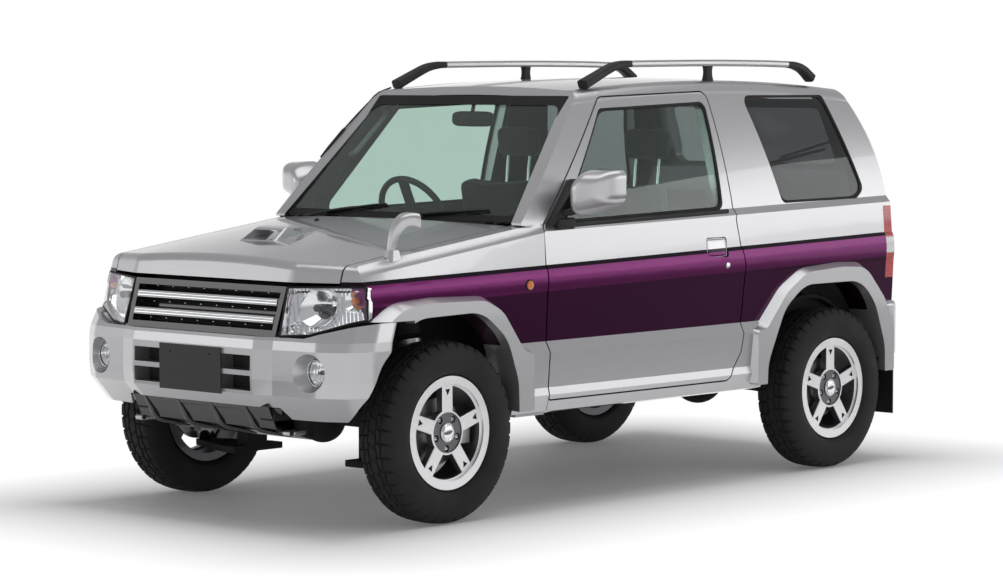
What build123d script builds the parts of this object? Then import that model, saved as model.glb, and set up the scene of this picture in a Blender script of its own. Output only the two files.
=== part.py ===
"""Small three-door off-road kei car.

Millimetres. X forward, Y left, Z up. The origin is on the ground, below the
middle of the overall length and width.
"""

import os
from math import cos, hypot, radians, sin, sqrt

from build123d import *

os.makedirs("parts", exist_ok=True)

# Overall sizes
WHEELBASE = 2280.0
FRONT_OVERHANG = 607.5
REAR_OVERHANG = 507.5
OVERALL_WIDTH = 1475.0
ROOF_Z = 1604.0

OVERALL_LENGTH = FRONT_OVERHANG + WHEELBASE + REAR_OVERHANG
FRONT_X = OVERALL_LENGTH / 2
FRONT_AXLE = FRONT_X - FRONT_OVERHANG
REAR_AXLE = FRONT_AXLE - WHEELBASE
TAIL_X = -FRONT_X
HALF_WIDTH = OVERALL_WIDTH / 2

# Wheels, 175/80R15 on 15 x 5 rims
TYRE_RADIUS = 330.5
TYRE_WIDTH = 175.0
RIM_RADIUS = 190.0
RIM_FLANGE = 206.0
RIM_WIDTH = 140.0
FRONT_TRACK = 1295.0
REAR_TRACK = 1295.0
AXLE_Z = TYRE_RADIUS
LUG_CIRCLE = 114.3
LUG_COUNT = 5
LUG_HOLE_R = 13.0

# Shut lines and fits
SHUT_GAP = 6.0
SEAT_GAP = 0.3
PIN_R = 6.0
PIN_PLAY = 0.3
DOOR_OPEN_X = FRONT_AXLE - 539.0
CABIN_HALF = HALF_WIDTH - 147.5
PLATE_BOLT_SPACING = 210.0
PLATE_BOLT_R = 3.5


def rear(dx):
    """X of a place given from the rear axle, positive forward."""
    return REAR_AXLE + dx


def front(dx):
    """X of a place given from the front axle, positive forward."""
    return FRONT_AXLE + dx


def side_prism(points, y_low, y_high, radii=0.0, grow=0.0):
    """Solid with a rounded outline drawn in the side view, between two Y planes."""
    with BuildPart() as tool:
        with BuildSketch(Plane.XZ.offset(-y_high)):
            with BuildLine():
                if radii:
                    FilletPolyline(*points, radius=radii, close=True)
                else:
                    Polyline(*points, close=True)
            make_face()
            if grow:
                offset(amount=grow)
        extrude(amount=y_high - y_low)
    return tool.part


def front_prism(points, x_low, x_high, radii=0.0, grow=0.0):
    """Solid with a rounded outline drawn in the front view, between two X planes."""
    with BuildPart() as tool:
        with BuildSketch(Plane.YZ.offset(x_low)):
            with BuildLine():
                if radii:
                    FilletPolyline(*points, radius=radii, close=True)
                else:
                    Polyline(*points, close=True)
            make_face()
            if grow:
                offset(amount=grow)
        extrude(amount=x_high - x_low)
    return tool.part


def plan_prism(points, z_low, z_high, radii=0.0, lean=0.0):
    """Solid with a rounded outline drawn in plan; lean is its X shift for each mm of rise."""
    with BuildPart() as tool:
        with BuildSketch(Plane.XY.offset(z_low)):
            with BuildLine():
                if radii:
                    FilletPolyline(*points, radius=radii, close=True)
                else:
                    Polyline(*points, close=True)
            make_face()
        rise = z_high - z_low
        extrude(amount=rise * sqrt(1 + lean * lean), dir=(lean, 0, 1))
    return tool.part


def block(x_low, x_high, y_low, y_high, z_low, z_high):
    """Plain box between six planes."""
    with BuildPart() as tool:
        with Locations(((x_low + x_high) / 2, (y_low + y_high) / 2, (z_low + z_high) / 2)):
            Box(x_high - x_low, y_high - y_low, z_high - z_low)
    return tool.part


def mirrored(shape):
    """The same piece on the other side of the car."""
    with BuildPart() as other:
        add(shape)
        mirror(about=Plane.XZ, mode=Mode.REPLACE)
    return other.part


# Body side lines: name, height at the door's front edge, height at the tail, inset from half width
SIDE_LINES = (
    ("sill_bottom", 366.0, 366.0, 36.0),
    ("sill_step", 428.0, 428.0, 20.0),
    ("cladding_foot", 456.0, 456.0, 26.0),
    ("cladding_head", 587.0, 597.0, 16.0),
    ("skin_foot", 626.0, 636.0, 38.0),
    ("crease", 815.0, 842.0, 28.0),
    ("bulge_head", 896.0, 945.0, 30.0),
    ("stripe_head", 911.0, 960.0, 38.0),
    ("belt", 1035.0, 1085.0, 48.0),
)
BARREL_X = -200.0
BARREL_R = 60000.0
BULGE = 5.0
GLASS_BOW = 12.0
ROOF_PANEL_HALF = HALF_WIDTH - 262.5
CANT_INSET = 190.0
PILLAR_DEPTH = 46.0
SHELL_BOTTOM = 345.0
ROOF_CROWN_X = -650.0
ROOF_CROWN_R = 9500.0
ROOF_SKIN = 30.0


def side_points(x):
    """(y, z) of each body side line at station x."""
    share = (x - DOOR_OPEN_X) / (rear(-450.0) - DOOR_OPEN_X)
    barrel = (x - BARREL_X) ** 2 / (2 * BARREL_R)
    return {
        name: (HALF_WIDTH - inset - barrel, low + (high - low) * share)
        for name, low, high, inset in SIDE_LINES
    }


def roof_z(x):
    """Height of the roof panel's edge at station x."""
    return ROOF_Z - 10.0 - (x - ROOF_CROWN_X) ** 2 / (2 * ROOF_CROWN_R)


def flank_section(x):
    """Closed section of one body side, from sill to roof edge."""
    p = side_points(x)
    belt_y, belt_z = p["belt"]
    edge_z = roof_z(x)
    cant_y = HALF_WIDTH - CANT_INSET
    with BuildSketch(Plane.YZ.offset(x)) as sketch:
        with BuildLine():
            lower = [p[name] for name, *_ in SIDE_LINES[:6]]
            Polyline(*lower)
            mid = ((p["crease"][0] + p["bulge_head"][0]) / 2 + BULGE,
                   (p["crease"][1] + p["bulge_head"][1]) / 2)
            ThreePointArc(p["crease"], mid, p["bulge_head"])
            shoulder = (belt_y - 22.0, belt_z + 26.0)
            Polyline(p["bulge_head"], p["stripe_head"], p["belt"], shoulder)
            cant = (cant_y, edge_z - 50.0)
            middle = ((shoulder[0] + cant[0]) / 2 + GLASS_BOW, (shoulder[1] + cant[1]) / 2)
            ThreePointArc(shoulder, middle, cant)
            edge = (ROOF_PANEL_HALF, edge_z)
            ThreePointArc(cant, (cant_y - 20.0, edge_z - 14.0), edge)
            Polyline(
                edge,
                (ROOF_PANEL_HALF, edge_z - ROOF_SKIN),
                (cant_y - PILLAR_DEPTH, edge_z - 72.0),
                (belt_y - 22.0 - PILLAR_DEPTH, belt_z + 20.0),
                (CABIN_HALF, belt_z - 30.0),
                (CABIN_HALF, SHELL_BOTTOM),
                p["sill_bottom"],
            )
        make_face()
    return sketch.sketch


FLANK_STATIONS = (rear(-470.0), rear(150.0), (rear(150.0) + DOOR_OPEN_X) / 2, DOOR_OPEN_X, front(-380.0))
with BuildPart() as flank_loft:
    for station in FLANK_STATIONS:
        add(flank_section(station))
    loft()
flank = flank_loft.part


# Screen, tail and openings, drawn in the side view
SCREEN_FOOT = (DOOR_OPEN_X + 99.0, 1068.0)
SCREEN_LEAN = (-445.0, 477.0)
TAIL_FACE = rear(-455.0)
TAIL_LEAN_Z = 1050.0
TAIL_LEAN_R = 823.0


def screen_x(z):
    """X of the screen's outer corner line at height z."""
    return SCREEN_FOOT[0] + SCREEN_LEAN[0] * (z - SCREEN_FOOT[1]) / SCREEN_LEAN[1]


def tail_x(z):
    """X of the tail's outer face on the middle line at height z."""
    if z <= TAIL_LEAN_Z:
        return TAIL_FACE
    return TAIL_FACE + TAIL_LEAN_R - sqrt(TAIL_LEAN_R ** 2 - (z - TAIL_LEAN_Z) ** 2)


def shell_profile(x_front, tail_back, y_low, y_high):
    """Side view of the shell between screen and tail, set in from the tail by tail_back."""
    top = ROOF_Z + 40.0
    with BuildPart() as tool:
        with BuildSketch(Plane.XZ.offset(-y_high)):
            with BuildLine():
                z_mid = (TAIL_LEAN_Z + top) / 2
                ThreePointArc(
                    (tail_x(top) + tail_back, top),
                    (tail_x(z_mid) + tail_back, z_mid),
                    (TAIL_FACE + tail_back, TAIL_LEAN_Z),
                )
                Polyline(
                    (TAIL_FACE + tail_back, TAIL_LEAN_Z),
                    (TAIL_FACE + tail_back, 250.0),
                    (x_front, 250.0),
                    (x_front, 1040.0),
                    (SCREEN_FOOT[0], SCREEN_FOOT[1] - 8.0),
                    SCREEN_FOOT,
                    (screen_x(top), top),
                    (tail_x(top) + tail_back, top),
                )
            make_face()
        extrude(amount=y_high - y_low)
    return tool.part


REACH = HALF_WIDTH + 60.0
INSIDE = CABIN_HALF - 130.0
DOOR_DRAFT = 28.0
DOOR_REAR = (("shoulder", 597.0, 1042.0), ("waist", 562.0, 849.0), ("hip", 578.0, 643.0),
             ("heel", 596.0, 516.0))
DOOR_BOTTOM_Z = 408.0
DOOR_CORNER_R = 40.0
DOOR_FOOT_R = 12.0


def door_tool(grow):
    """Plug in the shape of the door opening, its rear edge drafted inwards, grown by a gap."""
    with BuildPart() as tool:
        for y, draft in ((REACH, 0.0), (INSIDE, DOOR_DRAFT)):
            with BuildSketch(Plane.XZ.offset(-y)):
                with BuildLine():
                    FilletPolyline(
                        (DOOR_OPEN_X, DOOR_BOTTOM_Z),
                        (DOOR_OPEN_X, 1040.0),
                        (DOOR_OPEN_X - 466.0, 1532.0),
                        (rear(608.0) + draft, 1552.0),
                        (rear(588.0) + draft, 1080.0),
                        *[(rear(dx) + draft, z) for _, dx, z in DOOR_REAR],
                        (rear(673.0) + draft, DOOR_BOTTOM_Z),
                        radius=[DOOR_FOOT_R] + [DOOR_CORNER_R] * (5 + len(DOOR_REAR)),
                        close=True,
                    )
                make_face()
                offset(amount=grow)
        loft(ruled=True)
    return tool.part


DOOR_WINDOW = (
    (DOOR_OPEN_X - 110.0, 1060.0),
    (DOOR_OPEN_X - 452.0, 1488.0),
    (rear(652.0), 1512.0),
    (rear(660.0), 1084.0),
)
QUARTER_WINDOW = (
    (rear(272.0), 1098.0),
    (rear(408.0), 1535.0),
    (rear(-142.0), 1535.0),
    (rear(-297.0), 1140.0),
    (rear(-240.0), 1104.0),
)
WINDOW_R = 34.0
FRONT_ARCH = (
    (front(480.0), -100.0), (front(441.0), 442.0), (front(368.0), 596.0), (front(200.0), 752.0),
    (front(-150.0), 760.0), (front(-285.0), 655.0), (front(-345.0), 493.0), (front(-360.0), -100.0),
)
REAR_ARCH = (
    (rear(480.0), -100.0), (rear(455.0), 465.0), (rear(345.0), 680.0), (rear(215.0), 768.0),
    (rear(-175.0), 768.0), (rear(-270.0), 660.0), (rear(-335.0), 490.0), (rear(-350.0), -100.0),
)
ARCH_R = 190.0
DOOR_WINDOW_TOOL = side_prism(DOOR_WINDOW, INSIDE, REACH, WINDOW_R)
QUARTER_TOOL = side_prism(QUARTER_WINDOW, INSIDE, REACH, WINDOW_R)
GLASS_SET_BACK = 9.0
GLASS = 5.0


def pane(tool):
    """Curved side glass that fills the given opening, set back from the skin."""
    with BuildPart() as glass:
        add(flank.moved(Location((0, -GLASS_SET_BACK, 0))))
        add(flank.moved(Location((0, -GLASS_SET_BACK - GLASS, 0))), mode=Mode.SUBTRACT)
        add(tool, mode=Mode.INTERSECT)
    return glass.part


# Door hinges: L arms on the door turn on pins held by the front pillar, under the fender
HINGE_X = DOOR_OPEN_X + 67.0
HINGE_Y = HALF_WIDTH - 66.0
HINGE_Z = (540.0, 865.0)
HINGE_HALF = 26.0
BARREL_OD = 22.0
ARM = 14.0
ARM_Y = CABIN_HALF + 8.0
LUG = 12.0
LUG_PLAY = 2.0
PILLAR_OUT = ARM_Y - ARM / 2 - 6.0
PILLAR_IN = PILLAR_OUT - 40.0
PILLAR_FRONT = DOOR_OPEN_X + 99.0

SWING_CLEAR = 5.0
HANDLE_POCKET = ((rear(676.0), 897.0), (rear(676.0), 978.0), (rear(804.0), 978.0), (rear(804.0), 905.0))
HANDLE_DEPTH = 58.0


def swing_relief():
    """Turned body about the hinge pins that clears the fender's rear edge as the door swings out."""
    lines = side_points(DOOR_OPEN_X)
    (low_y, low_z), (high_y, high_z) = lines["crease"], lines["bulge_head"]
    lines["bulge"] = ((low_y + high_y) / 2 + BULGE, (low_z + high_z) / 2)
    edge = sorted(lines.values(), key=lambda row: row[1])
    reach = [(hypot(HINGE_X - DOOR_OPEN_X - SHUT_GAP / 2, y - HINGE_Y) + SWING_CLEAR, z) for y, z in edge]
    with BuildPart() as tool:
        with BuildSketch(Plane.XZ):
            with BuildLine():
                Polyline((0.0, reach[0][1]), *reach, (0.0, reach[-1][1]), close=True)
            make_face()
        revolve(axis=Axis.Z)
    return tool.part.moved(Location((HINGE_X, HINGE_Y, 0)))


LAMP_IN = CABIN_HALF - 5.0
TAIL_LAMP_FRONT = rear(-398.0)
TAIL_LAMP_Z = (767.0, 1069.0)
shell = shell_profile(DOOR_OPEN_X, 0.0, 0.0, REACH)
tail_lamp_tool = block(TAIL_FACE - 40.0, TAIL_LAMP_FRONT, LAMP_IN, REACH, *TAIL_LAMP_Z)

with BuildPart() as corner_tool:
    add(flank)
    add(shell, mode=Mode.INTERSECT)
side_blank = corner_tool.part

with BuildPart() as door_left:
    add(flank)
    add(door_tool(-SHUT_GAP / 2), mode=Mode.INTERSECT)
    add(DOOR_WINDOW_TOOL, mode=Mode.SUBTRACT)
    add(swing_relief(), mode=Mode.SUBTRACT)
    add(side_prism(HANDLE_POCKET, HALF_WIDTH - HANDLE_DEPTH, REACH, 14.0), mode=Mode.SUBTRACT)
    for z in HINGE_Z:
        low, high = z - HINGE_HALF, z + HINGE_HALF
        add(block(DOOR_OPEN_X - 30.0, HINGE_X + ARM / 2, ARM_Y - ARM / 2, ARM_Y + ARM / 2, low, high))
        add(block(HINGE_X - ARM / 2, HINGE_X + ARM / 2, ARM_Y - ARM / 2, HINGE_Y, low, high))
        with Locations((HINGE_X, HINGE_Y, z)):
            Cylinder(BARREL_OD / 2, 2 * HINGE_HALF)
            Cylinder(PIN_R + PIN_PLAY, 4 * HINGE_HALF, mode=Mode.SUBTRACT)

with BuildPart() as body_side:
    add(side_blank)
    add(door_tool(SHUT_GAP / 2), mode=Mode.SUBTRACT)
    add(QUARTER_TOOL, mode=Mode.SUBTRACT)
    add(side_prism(REAR_ARCH, INSIDE, REACH, ARCH_R), mode=Mode.SUBTRACT)
    add(tail_lamp_tool, mode=Mode.SUBTRACT)
    add(block(TAIL_FACE - 1.0, rear(-290.0), 0.0, REACH, 300.0, 440.0), mode=Mode.SUBTRACT)
    add(block(DOOR_OPEN_X + SHUT_GAP, PILLAR_FRONT, PILLAR_IN, PILLAR_OUT, SHELL_BOTTOM, 1040.0))
    add(block(DOOR_OPEN_X - 60.0, PILLAR_FRONT, PILLAR_IN, CABIN_HALF + 40.0, SHELL_BOTTOM,
              DOOR_BOTTOM_Z - 14.0))
    add(block(DOOR_OPEN_X + SHUT_GAP, PILLAR_FRONT - 20.0, PILLAR_IN, CABIN_HALF + 60.0, 985.0, 1040.0))
    for z in HINGE_Z:
        for side in (-1, 1):
            mid = z + side * (HINGE_HALF + LUG_PLAY + LUG / 2)
            add(block(HINGE_X - LUG, HINGE_X + 30.0, PILLAR_OUT - 10.0, HINGE_Y + LUG, mid - LUG / 2,
                      mid + LUG / 2))
        with Locations((HINGE_X, HINGE_Y, z)):
            Cylinder(PIN_R, 2 * (HINGE_HALF + LUG_PLAY + LUG / 2))


# Roof
ROOF_CROWN = 14.0
with BuildPart() as roof_panel:
    for station in FLANK_STATIONS[:-1]:
        z = roof_z(station)
        with BuildSketch(Plane.YZ.offset(station)):
            with BuildLine():
                ThreePointArc((-ROOF_PANEL_HALF, z), (0.0, z + ROOF_CROWN), (ROOF_PANEL_HALF, z))
                Line((ROOF_PANEL_HALF, z), (ROOF_PANEL_HALF, z - ROOF_SKIN))
                ThreePointArc(
                    (ROOF_PANEL_HALF, z - ROOF_SKIN), (0.0, z + ROOF_CROWN - ROOF_SKIN),
                    (-ROOF_PANEL_HALF, z - ROOF_SKIN)
                )
                Line((-ROOF_PANEL_HALF, z - ROOF_SKIN), (-ROOF_PANEL_HALF, z))
            make_face()
    loft()
    add(shell_profile(DOOR_OPEN_X, 0.0, -REACH, REACH), mode=Mode.INTERSECT)

# Screen: a bowed pane between the pillars, and its header under the roof's front edge
SCREEN_BOW = 30.0
SCREEN_GLASS = 6.0
SCREEN_SET_BACK = 14.0
lean_length = sqrt(SCREEN_LEAN[0] ** 2 + SCREEN_LEAN[1] ** 2)
screen_plane = Plane(
    origin=(SCREEN_FOOT[0], 0, SCREEN_FOOT[1]),
    x_dir=(0, 1, 0),
    z_dir=(SCREEN_LEAN[0], 0, SCREEN_LEAN[1]),
)
SCREEN_HALF = HALF_WIDTH - 70.0


def screen_slab(outer, inner):
    """Bowed slab along the screen; outer and inner are depths behind the pillar line at the ends."""
    with BuildPart() as tool:
        with BuildSketch(screen_plane.offset(-40.0)):
            with BuildLine():
                ThreePointArc((-SCREEN_HALF, outer), (0.0, outer - SCREEN_BOW), (SCREEN_HALF, outer))
                Line((SCREEN_HALF, outer), (SCREEN_HALF, inner))
                ThreePointArc((SCREEN_HALF, inner), (0.0, inner - SCREEN_BOW), (-SCREEN_HALF, inner))
                Line((-SCREEN_HALF, inner), (-SCREEN_HALF, outer))
            make_face()
        extrude(amount=lean_length + 20.0)
    return tool.part


SCREEN_TOP_Z = roof_z(screen_x(1545.0)) - ROOF_SKIN
SCREEN_LOW_Z = 1066.0
SCREEN_OUTLINE = (
    (HALF_WIDTH - 94.0, SCREEN_LOW_Z), (HALF_WIDTH - 214.0, SCREEN_TOP_Z - 2.0),
    (214.0 - HALF_WIDTH, SCREEN_TOP_Z - 2.0), (94.0 - HALF_WIDTH, SCREEN_LOW_Z),
)
with BuildPart() as windscreen:
    add(screen_slab(SCREEN_SET_BACK, SCREEN_SET_BACK + SCREEN_GLASS))
    add(front_prism(SCREEN_OUTLINE, -FRONT_X, FRONT_X), mode=Mode.INTERSECT)
    for shape in (side_blank, mirrored(side_blank), roof_panel.part):
        add(shape, mode=Mode.SUBTRACT)

# Nose: plan outline at the grille's foot, leaning back as it rises
NOSE_Z = 690.0
NOSE_LEAN = -0.297
NOSE_PLAN = ((front(-900.0), HALF_WIDTH + 20.0), (front(330.0), HALF_WIDTH - 6.0),
             (front(462.0), HALF_WIDTH - 50.0),
             (front(562.0), 420.0))
NOSE_R = 85.0


def nose_tool(back, z_low, z_high):
    """Leaning nose envelope, set back by a distance, between two heights."""
    shift = NOSE_LEAN * (z_low - NOSE_Z) - back
    half = [(x + shift, y) for x, y in NOSE_PLAN]
    return plan_prism([(x, -y) for x, y in half] + [(x, y) for x, y in reversed(half)], z_low, z_high,
                      radii=NOSE_R, lean=NOSE_LEAN)


# Bonnet line at the fender gap, in the side view
BONNET_REAR = (DOOR_OPEN_X + 69.0, 1066.0)
BONNET_FRONT = (front(340.0), 958.0)
BONNET_HALF = HALF_WIDTH - 138.0
BONNET_CROWN = 26.0
BONNET_SKIN = 22.0
BONNET_LIP_Z = 884.0
BONNET_EDGE_R = 40.0
BONNET_SLOPE = (BONNET_FRONT[1] - BONNET_REAR[1]) / (BONNET_FRONT[0] - BONNET_REAR[0])
COWL_X = DOOR_OPEN_X + 115.0
COWL_BOW = 90.0
COWL_DROP = 16.0


def bonnet_z(x):
    """Height of the bonnet's edge beside the fender at station x."""
    return BONNET_REAR[1] + BONNET_SLOPE * (x - BONNET_REAR[0])


def bonnet_top(x, y):
    """Height of the crowned bonnet over a place in plan."""
    return bonnet_z(x) + BONNET_CROWN * (1 - 2 * (y / REACH) ** 2)


with BuildPart() as bonnet_blank:
    with BuildSketch(Plane.YZ.offset(front(-620.0))):
        z = bonnet_z(front(-620.0))
        with BuildLine():
            ThreePointArc((-REACH, z - BONNET_CROWN), (0.0, z + BONNET_CROWN), (REACH, z - BONNET_CROWN))
            Polyline((REACH, z - BONNET_CROWN), (REACH, z - 900.0), (-REACH, z - 900.0),
                     (-REACH, z - BONNET_CROWN))
        make_face()
    extrude(amount=1300.0, dir=(1, 0, BONNET_SLOPE))
    add(nose_tool(0.0, 200.0, 1300.0), mode=Mode.INTERSECT)
    ahead = [e for e in bonnet_blank.edges() if e.center().X > front(380.0)]
    brow = [e for e in ahead if e.center().Z > BONNET_LIP_Z + 20.0 and abs(e.center().Y) < HALF_WIDTH - 20.0]
    fillet(brow, radius=BONNET_EDGE_R)
bonnet_form = bonnet_blank.part


def bonnet_outline(gap):
    """Prism over the bonnet in plan, its rear edge bowed, grown by a gap."""
    x, half = COWL_X - gap, BONNET_HALF + gap
    with BuildPart() as tool:
        with BuildSketch(Plane.XY.offset(700.0)):
            with BuildLine():
                ThreePointArc((x, -half), (x + COWL_BOW, 0.0), (x, half))
                Polyline((x, half), (FRONT_X, half), (FRONT_X, -half), (x, -half))
            make_face()
        extrude(amount=600.0)
    return tool.part


# Bonnet hinges: arms behind the rear corners turn on pins that stand on the cowl
BONNET_PIN = (COWL_X - 20.0, BONNET_REAR[1] - 26.0)
BONNET_HINGE_Y = BONNET_HALF - 92.0
BONNET_ARM = 30.0

# Scoop: a hump on the driver's side, its mouth open between two cheeks
SCOOP = (front(117.0), -86.0)
SCOOP_RISE = 36.0
SCOOP_LIP = 6.0
SCOOP_MOUTH_HALF = 76.0
SCOOP_FOOT = ((103.0, 100.0), (-230.0, 62.0))
SCOOP_ROOF = ((8.0, 85.0), (-34.0, 70.0))
scoop_origin = (SCOOP[0], SCOOP[1], bonnet_top(*SCOOP))
scoop_plane = Plane(origin=scoop_origin, x_dir=(1, 0, BONNET_SLOPE), z_dir=(-BONNET_SLOPE, 0, 1))
with BuildPart() as scoop:
    for outline, lift in ((SCOOP_FOOT, -8.0), (SCOOP_ROOF, SCOOP_RISE)):
        with BuildSketch(scoop_plane.offset(lift)):
            with BuildLine():
                FilletPolyline(*[(x, -y) for x, y in outline], *reversed(outline), radius=16.0,
                               close=True)
            make_face()
    loft(ruled=True)
with BuildPart() as scoop_mouth:
    with BuildSketch(Plane(origin=scoop_origin, x_dir=(1, 0, BONNET_SLOPE), z_dir=(0, -1, 0))):
        with BuildLine():
            roof = SCOOP_RISE - SCOOP_LIP
            Polyline((-90.0, 3.0), (-90.0, roof - 8.0), (10.0, roof), (60.0, roof), (130.0, 3.0),
                     close=True)
        make_face()
    extrude(amount=SCOOP_MOUTH_HALF, both=True)
with BuildPart() as bonnet:
    add(bonnet_form)
    add(bonnet_form.moved(Location((-BONNET_SKIN, 0, -BONNET_SKIN))), mode=Mode.SUBTRACT)
    add(bonnet_outline(0.0), mode=Mode.INTERSECT)
    add(block(0.0, FRONT_X, -REACH, REACH, BONNET_LIP_Z, 1400.0), mode=Mode.INTERSECT)
    add(scoop.part)
    add(scoop_mouth.part, mode=Mode.SUBTRACT)
    for y in (-BONNET_HINGE_Y, BONNET_HINGE_Y):
        pts = ((BONNET_PIN[0], BONNET_PIN[1] - 11.0), (BONNET_PIN[0], BONNET_PIN[1] + 8.0),
               (COWL_X + 40.0, bonnet_z(COWL_X + 40.0) - 12.0),
               (COWL_X + 90.0, bonnet_z(COWL_X + 90.0) - 12.0),
               (COWL_X + 60.0, BONNET_PIN[1] - 11.0))
        add(side_prism(pts, y - BONNET_ARM / 2, y + BONNET_ARM / 2))
        with Locations(Plane.XZ.offset(-y) * Location((BONNET_PIN[0], BONNET_PIN[1], 0))):
            Cylinder(11.0, BONNET_ARM)
        with Locations(Plane.XZ.offset(-y) * Location((BONNET_PIN[0], BONNET_PIN[1], 0))):
            Cylinder(PIN_R + PIN_PLAY, 2 * BONNET_ARM, mode=Mode.SUBTRACT)


def fender_section(x):
    """Closed section of the left fender at station x, solid from the bonnet gap outwards."""
    p = side_points(x)
    inner = BONNET_HALF + SHUT_GAP
    top = bonnet_z(x)
    with BuildSketch(Plane.YZ.offset(x)) as sketch:
        with BuildLine():
            lower = [p[name] for name, *_ in SIDE_LINES[:6]]
            Polyline(*lower)
            mid = ((p["crease"][0] + p["bulge_head"][0]) / 2 + BULGE,
                   (p["crease"][1] + p["bulge_head"][1]) / 2)
            ThreePointArc(p["crease"], mid, p["bulge_head"])
            shoulder = (p["stripe_head"][0] - 6.0, top - 44.0)
            Polyline(p["bulge_head"], p["stripe_head"], shoulder)
            ThreePointArc(shoulder, (shoulder[0] - 22.0, top - 14.0), (inner, top))
            Polyline((inner, top), (inner, p["sill_bottom"][1]), p["sill_bottom"])
        make_face()
    return sketch.sketch


BUMPER_TOP = 748.0
LAMP_OUTLINE = ((404.0, 871.0), (HALF_WIDTH - 42.0, 878.0), (HALF_WIDTH - 30.0, 752.0), (530.0, 696.0),
                (412.0, 690.0))
LAMP_R = 14.0
LAMP_BACK = front(396.0)
headlamp_tool = front_prism(LAMP_OUTLINE, LAMP_BACK, FRONT_X, LAMP_R)
HOLLOW_OUT = HALF_WIDTH - 54.0
with BuildPart() as fender_loft:
    for station in (DOOR_OPEN_X, front(-150.0), front(200.0), front(540.0)):
        add(fender_section(station))
    loft()
fender_form = fender_loft.part

with BuildPart() as fender_left:
    add(fender_form)
    add(block(DOOR_OPEN_X + SHUT_GAP / 2, FRONT_X, 0.0, REACH, 300.0, 1200.0), mode=Mode.INTERSECT)
    add(bonnet_form, mode=Mode.INTERSECT)
    add(side_prism(FRONT_ARCH, INSIDE, REACH, ARCH_R), mode=Mode.SUBTRACT)
    add(headlamp_tool, mode=Mode.SUBTRACT)
    add(block(front(180.0), FRONT_X, 0.0, REACH, 200.0, BUMPER_TOP), mode=Mode.SUBTRACT)
    add(block(DOOR_OPEN_X, front(-372.0), 0.0, HOLLOW_OUT, 300.0, 925.0), mode=Mode.SUBTRACT)
    add(body_side.part, mode=Mode.SUBTRACT)

with BuildPart() as headlamp_left:
    add(nose_tool(0.0, 600.0, 960.0))
    add(headlamp_tool, mode=Mode.INTERSECT)


# Arch flares: a broad lip whose edge falls away to the skin
FRONT_FLARE = (
    (60.0, 520.0, 380.0, 10.0), (45.0, 395.0, 690.0, 180.0), (34.0, 258.0, 790.0, 180.0),
    (30.0, 80.0, 804.0, 500.0), (30.0, -170.0, 800.0, 150.0), (34.0, -262.0, 755.0, 150.0),
    (40.0, -375.0, 606.0, 70.0), (40.0, -430.0, 588.0, 20.0), (40.0, -430.0, 380.0, 10.0),
)
REAR_FLARE = (
    (40.0, 520.0, 380.0, 10.0), (40.0, 520.0, 596.0, 20.0), (40.0, 462.0, 604.0, 60.0),
    (42.0, 330.0, 745.0, 200.0), (36.0, 200.0, 818.0, 180.0), (34.0, -40.0, 830.0, 500.0),
    (36.0, -200.0, 822.0, 140.0), (44.0, -330.0, 690.0, 140.0), (50.0, -400.0, 560.0, 100.0),
    (50.0, -400.0, 380.0, 10.0),
)
FLARE_ROOT = HALF_WIDTH - 46.0


def flare(table, axle_x, centre_z, opening, body):
    """Flare from rows of (slope width, dx, z, bend): crest at the full width, foot outline on the skin."""
    crest = [(axle_x + dx, z) for _, dx, z, _ in table]
    bends = [bend for *_, bend in table]
    foot = []
    for width, dx, z, _ in table:
        reach = sqrt(dx * dx + (z - centre_z) ** 2)
        grow = (reach + width) / reach
        foot.append((axle_x + dx * grow, centre_z + (z - centre_z) * grow))
    with BuildPart() as lip:
        for y, outline in ((HALF_WIDTH, crest), (FLARE_ROOT - 20.0, foot)):
            with BuildSketch(Plane.XZ.offset(-y)):
                with BuildLine():
                    FilletPolyline(*outline, radius=bends, close=True)
                make_face()
        loft(ruled=True)
        add(side_prism(opening, INSIDE, REACH, ARCH_R), mode=Mode.SUBTRACT)
        for shape in body:
            add(shape, mode=Mode.SUBTRACT)
    return lip.part


# Front bumper: plan outline set back and in at each height, centre proud between two pods
BUMPER_PLAN = ((front(300.0), HALF_WIDTH), (front(400.0), HALF_WIDTH), (front(498.0), HALF_WIDTH - 40.0),
               (front(552.0), 600.0), (front(578.0), 402.0), (front(601.0), 322.0))
BUMPER_BENDS = (30.0, 60.0, 60.0, 50.0, 24.0, 16.0)
BUMPER_ROWS = ((398.0, 62.0, 34.0), (486.0, 4.0, 3.0), (540.0, 0.0, 0.0), (648.0, 2.0, 0.0),
               (680.0, 9.0, 2.0),
               (750.0, 40.0, 10.0))
BUMPER_LOW = BUMPER_ROWS[0][0]
BUMPER_CENTRE_LOW = 440.0
BUMPER_WALL = 70.0
VENT_Z = (498.0, 570.0)
VENT_H = 54.0
VENT_Y = (150.0, 312.0)
FOG_Y = 566.0
FOG_Z = 572.0
FOG_POCKET_R = 50.0
FOG_MOUTH_R = 78.0
FOG_MOUTH = 66.0
FOG_FACE = front(512.0)
PLATE_HALF = (165.0, 82.5)
PLATE_Z = 562.0
PLATE = 6.0


def loop(half):
    """Closed plan outline from its left half, listed from the rear forwards."""
    return [(x, -y) for x, y in half] + [(x, y) for x, y in reversed(half)]


def inset(half, wall):
    """Left half of a plan outline set in by a wall on its front and side."""
    return [(x - wall, y - wall * (0.9 if y > HALF_WIDTH - 60.0 else 0.4)) for x, y in half]


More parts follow.
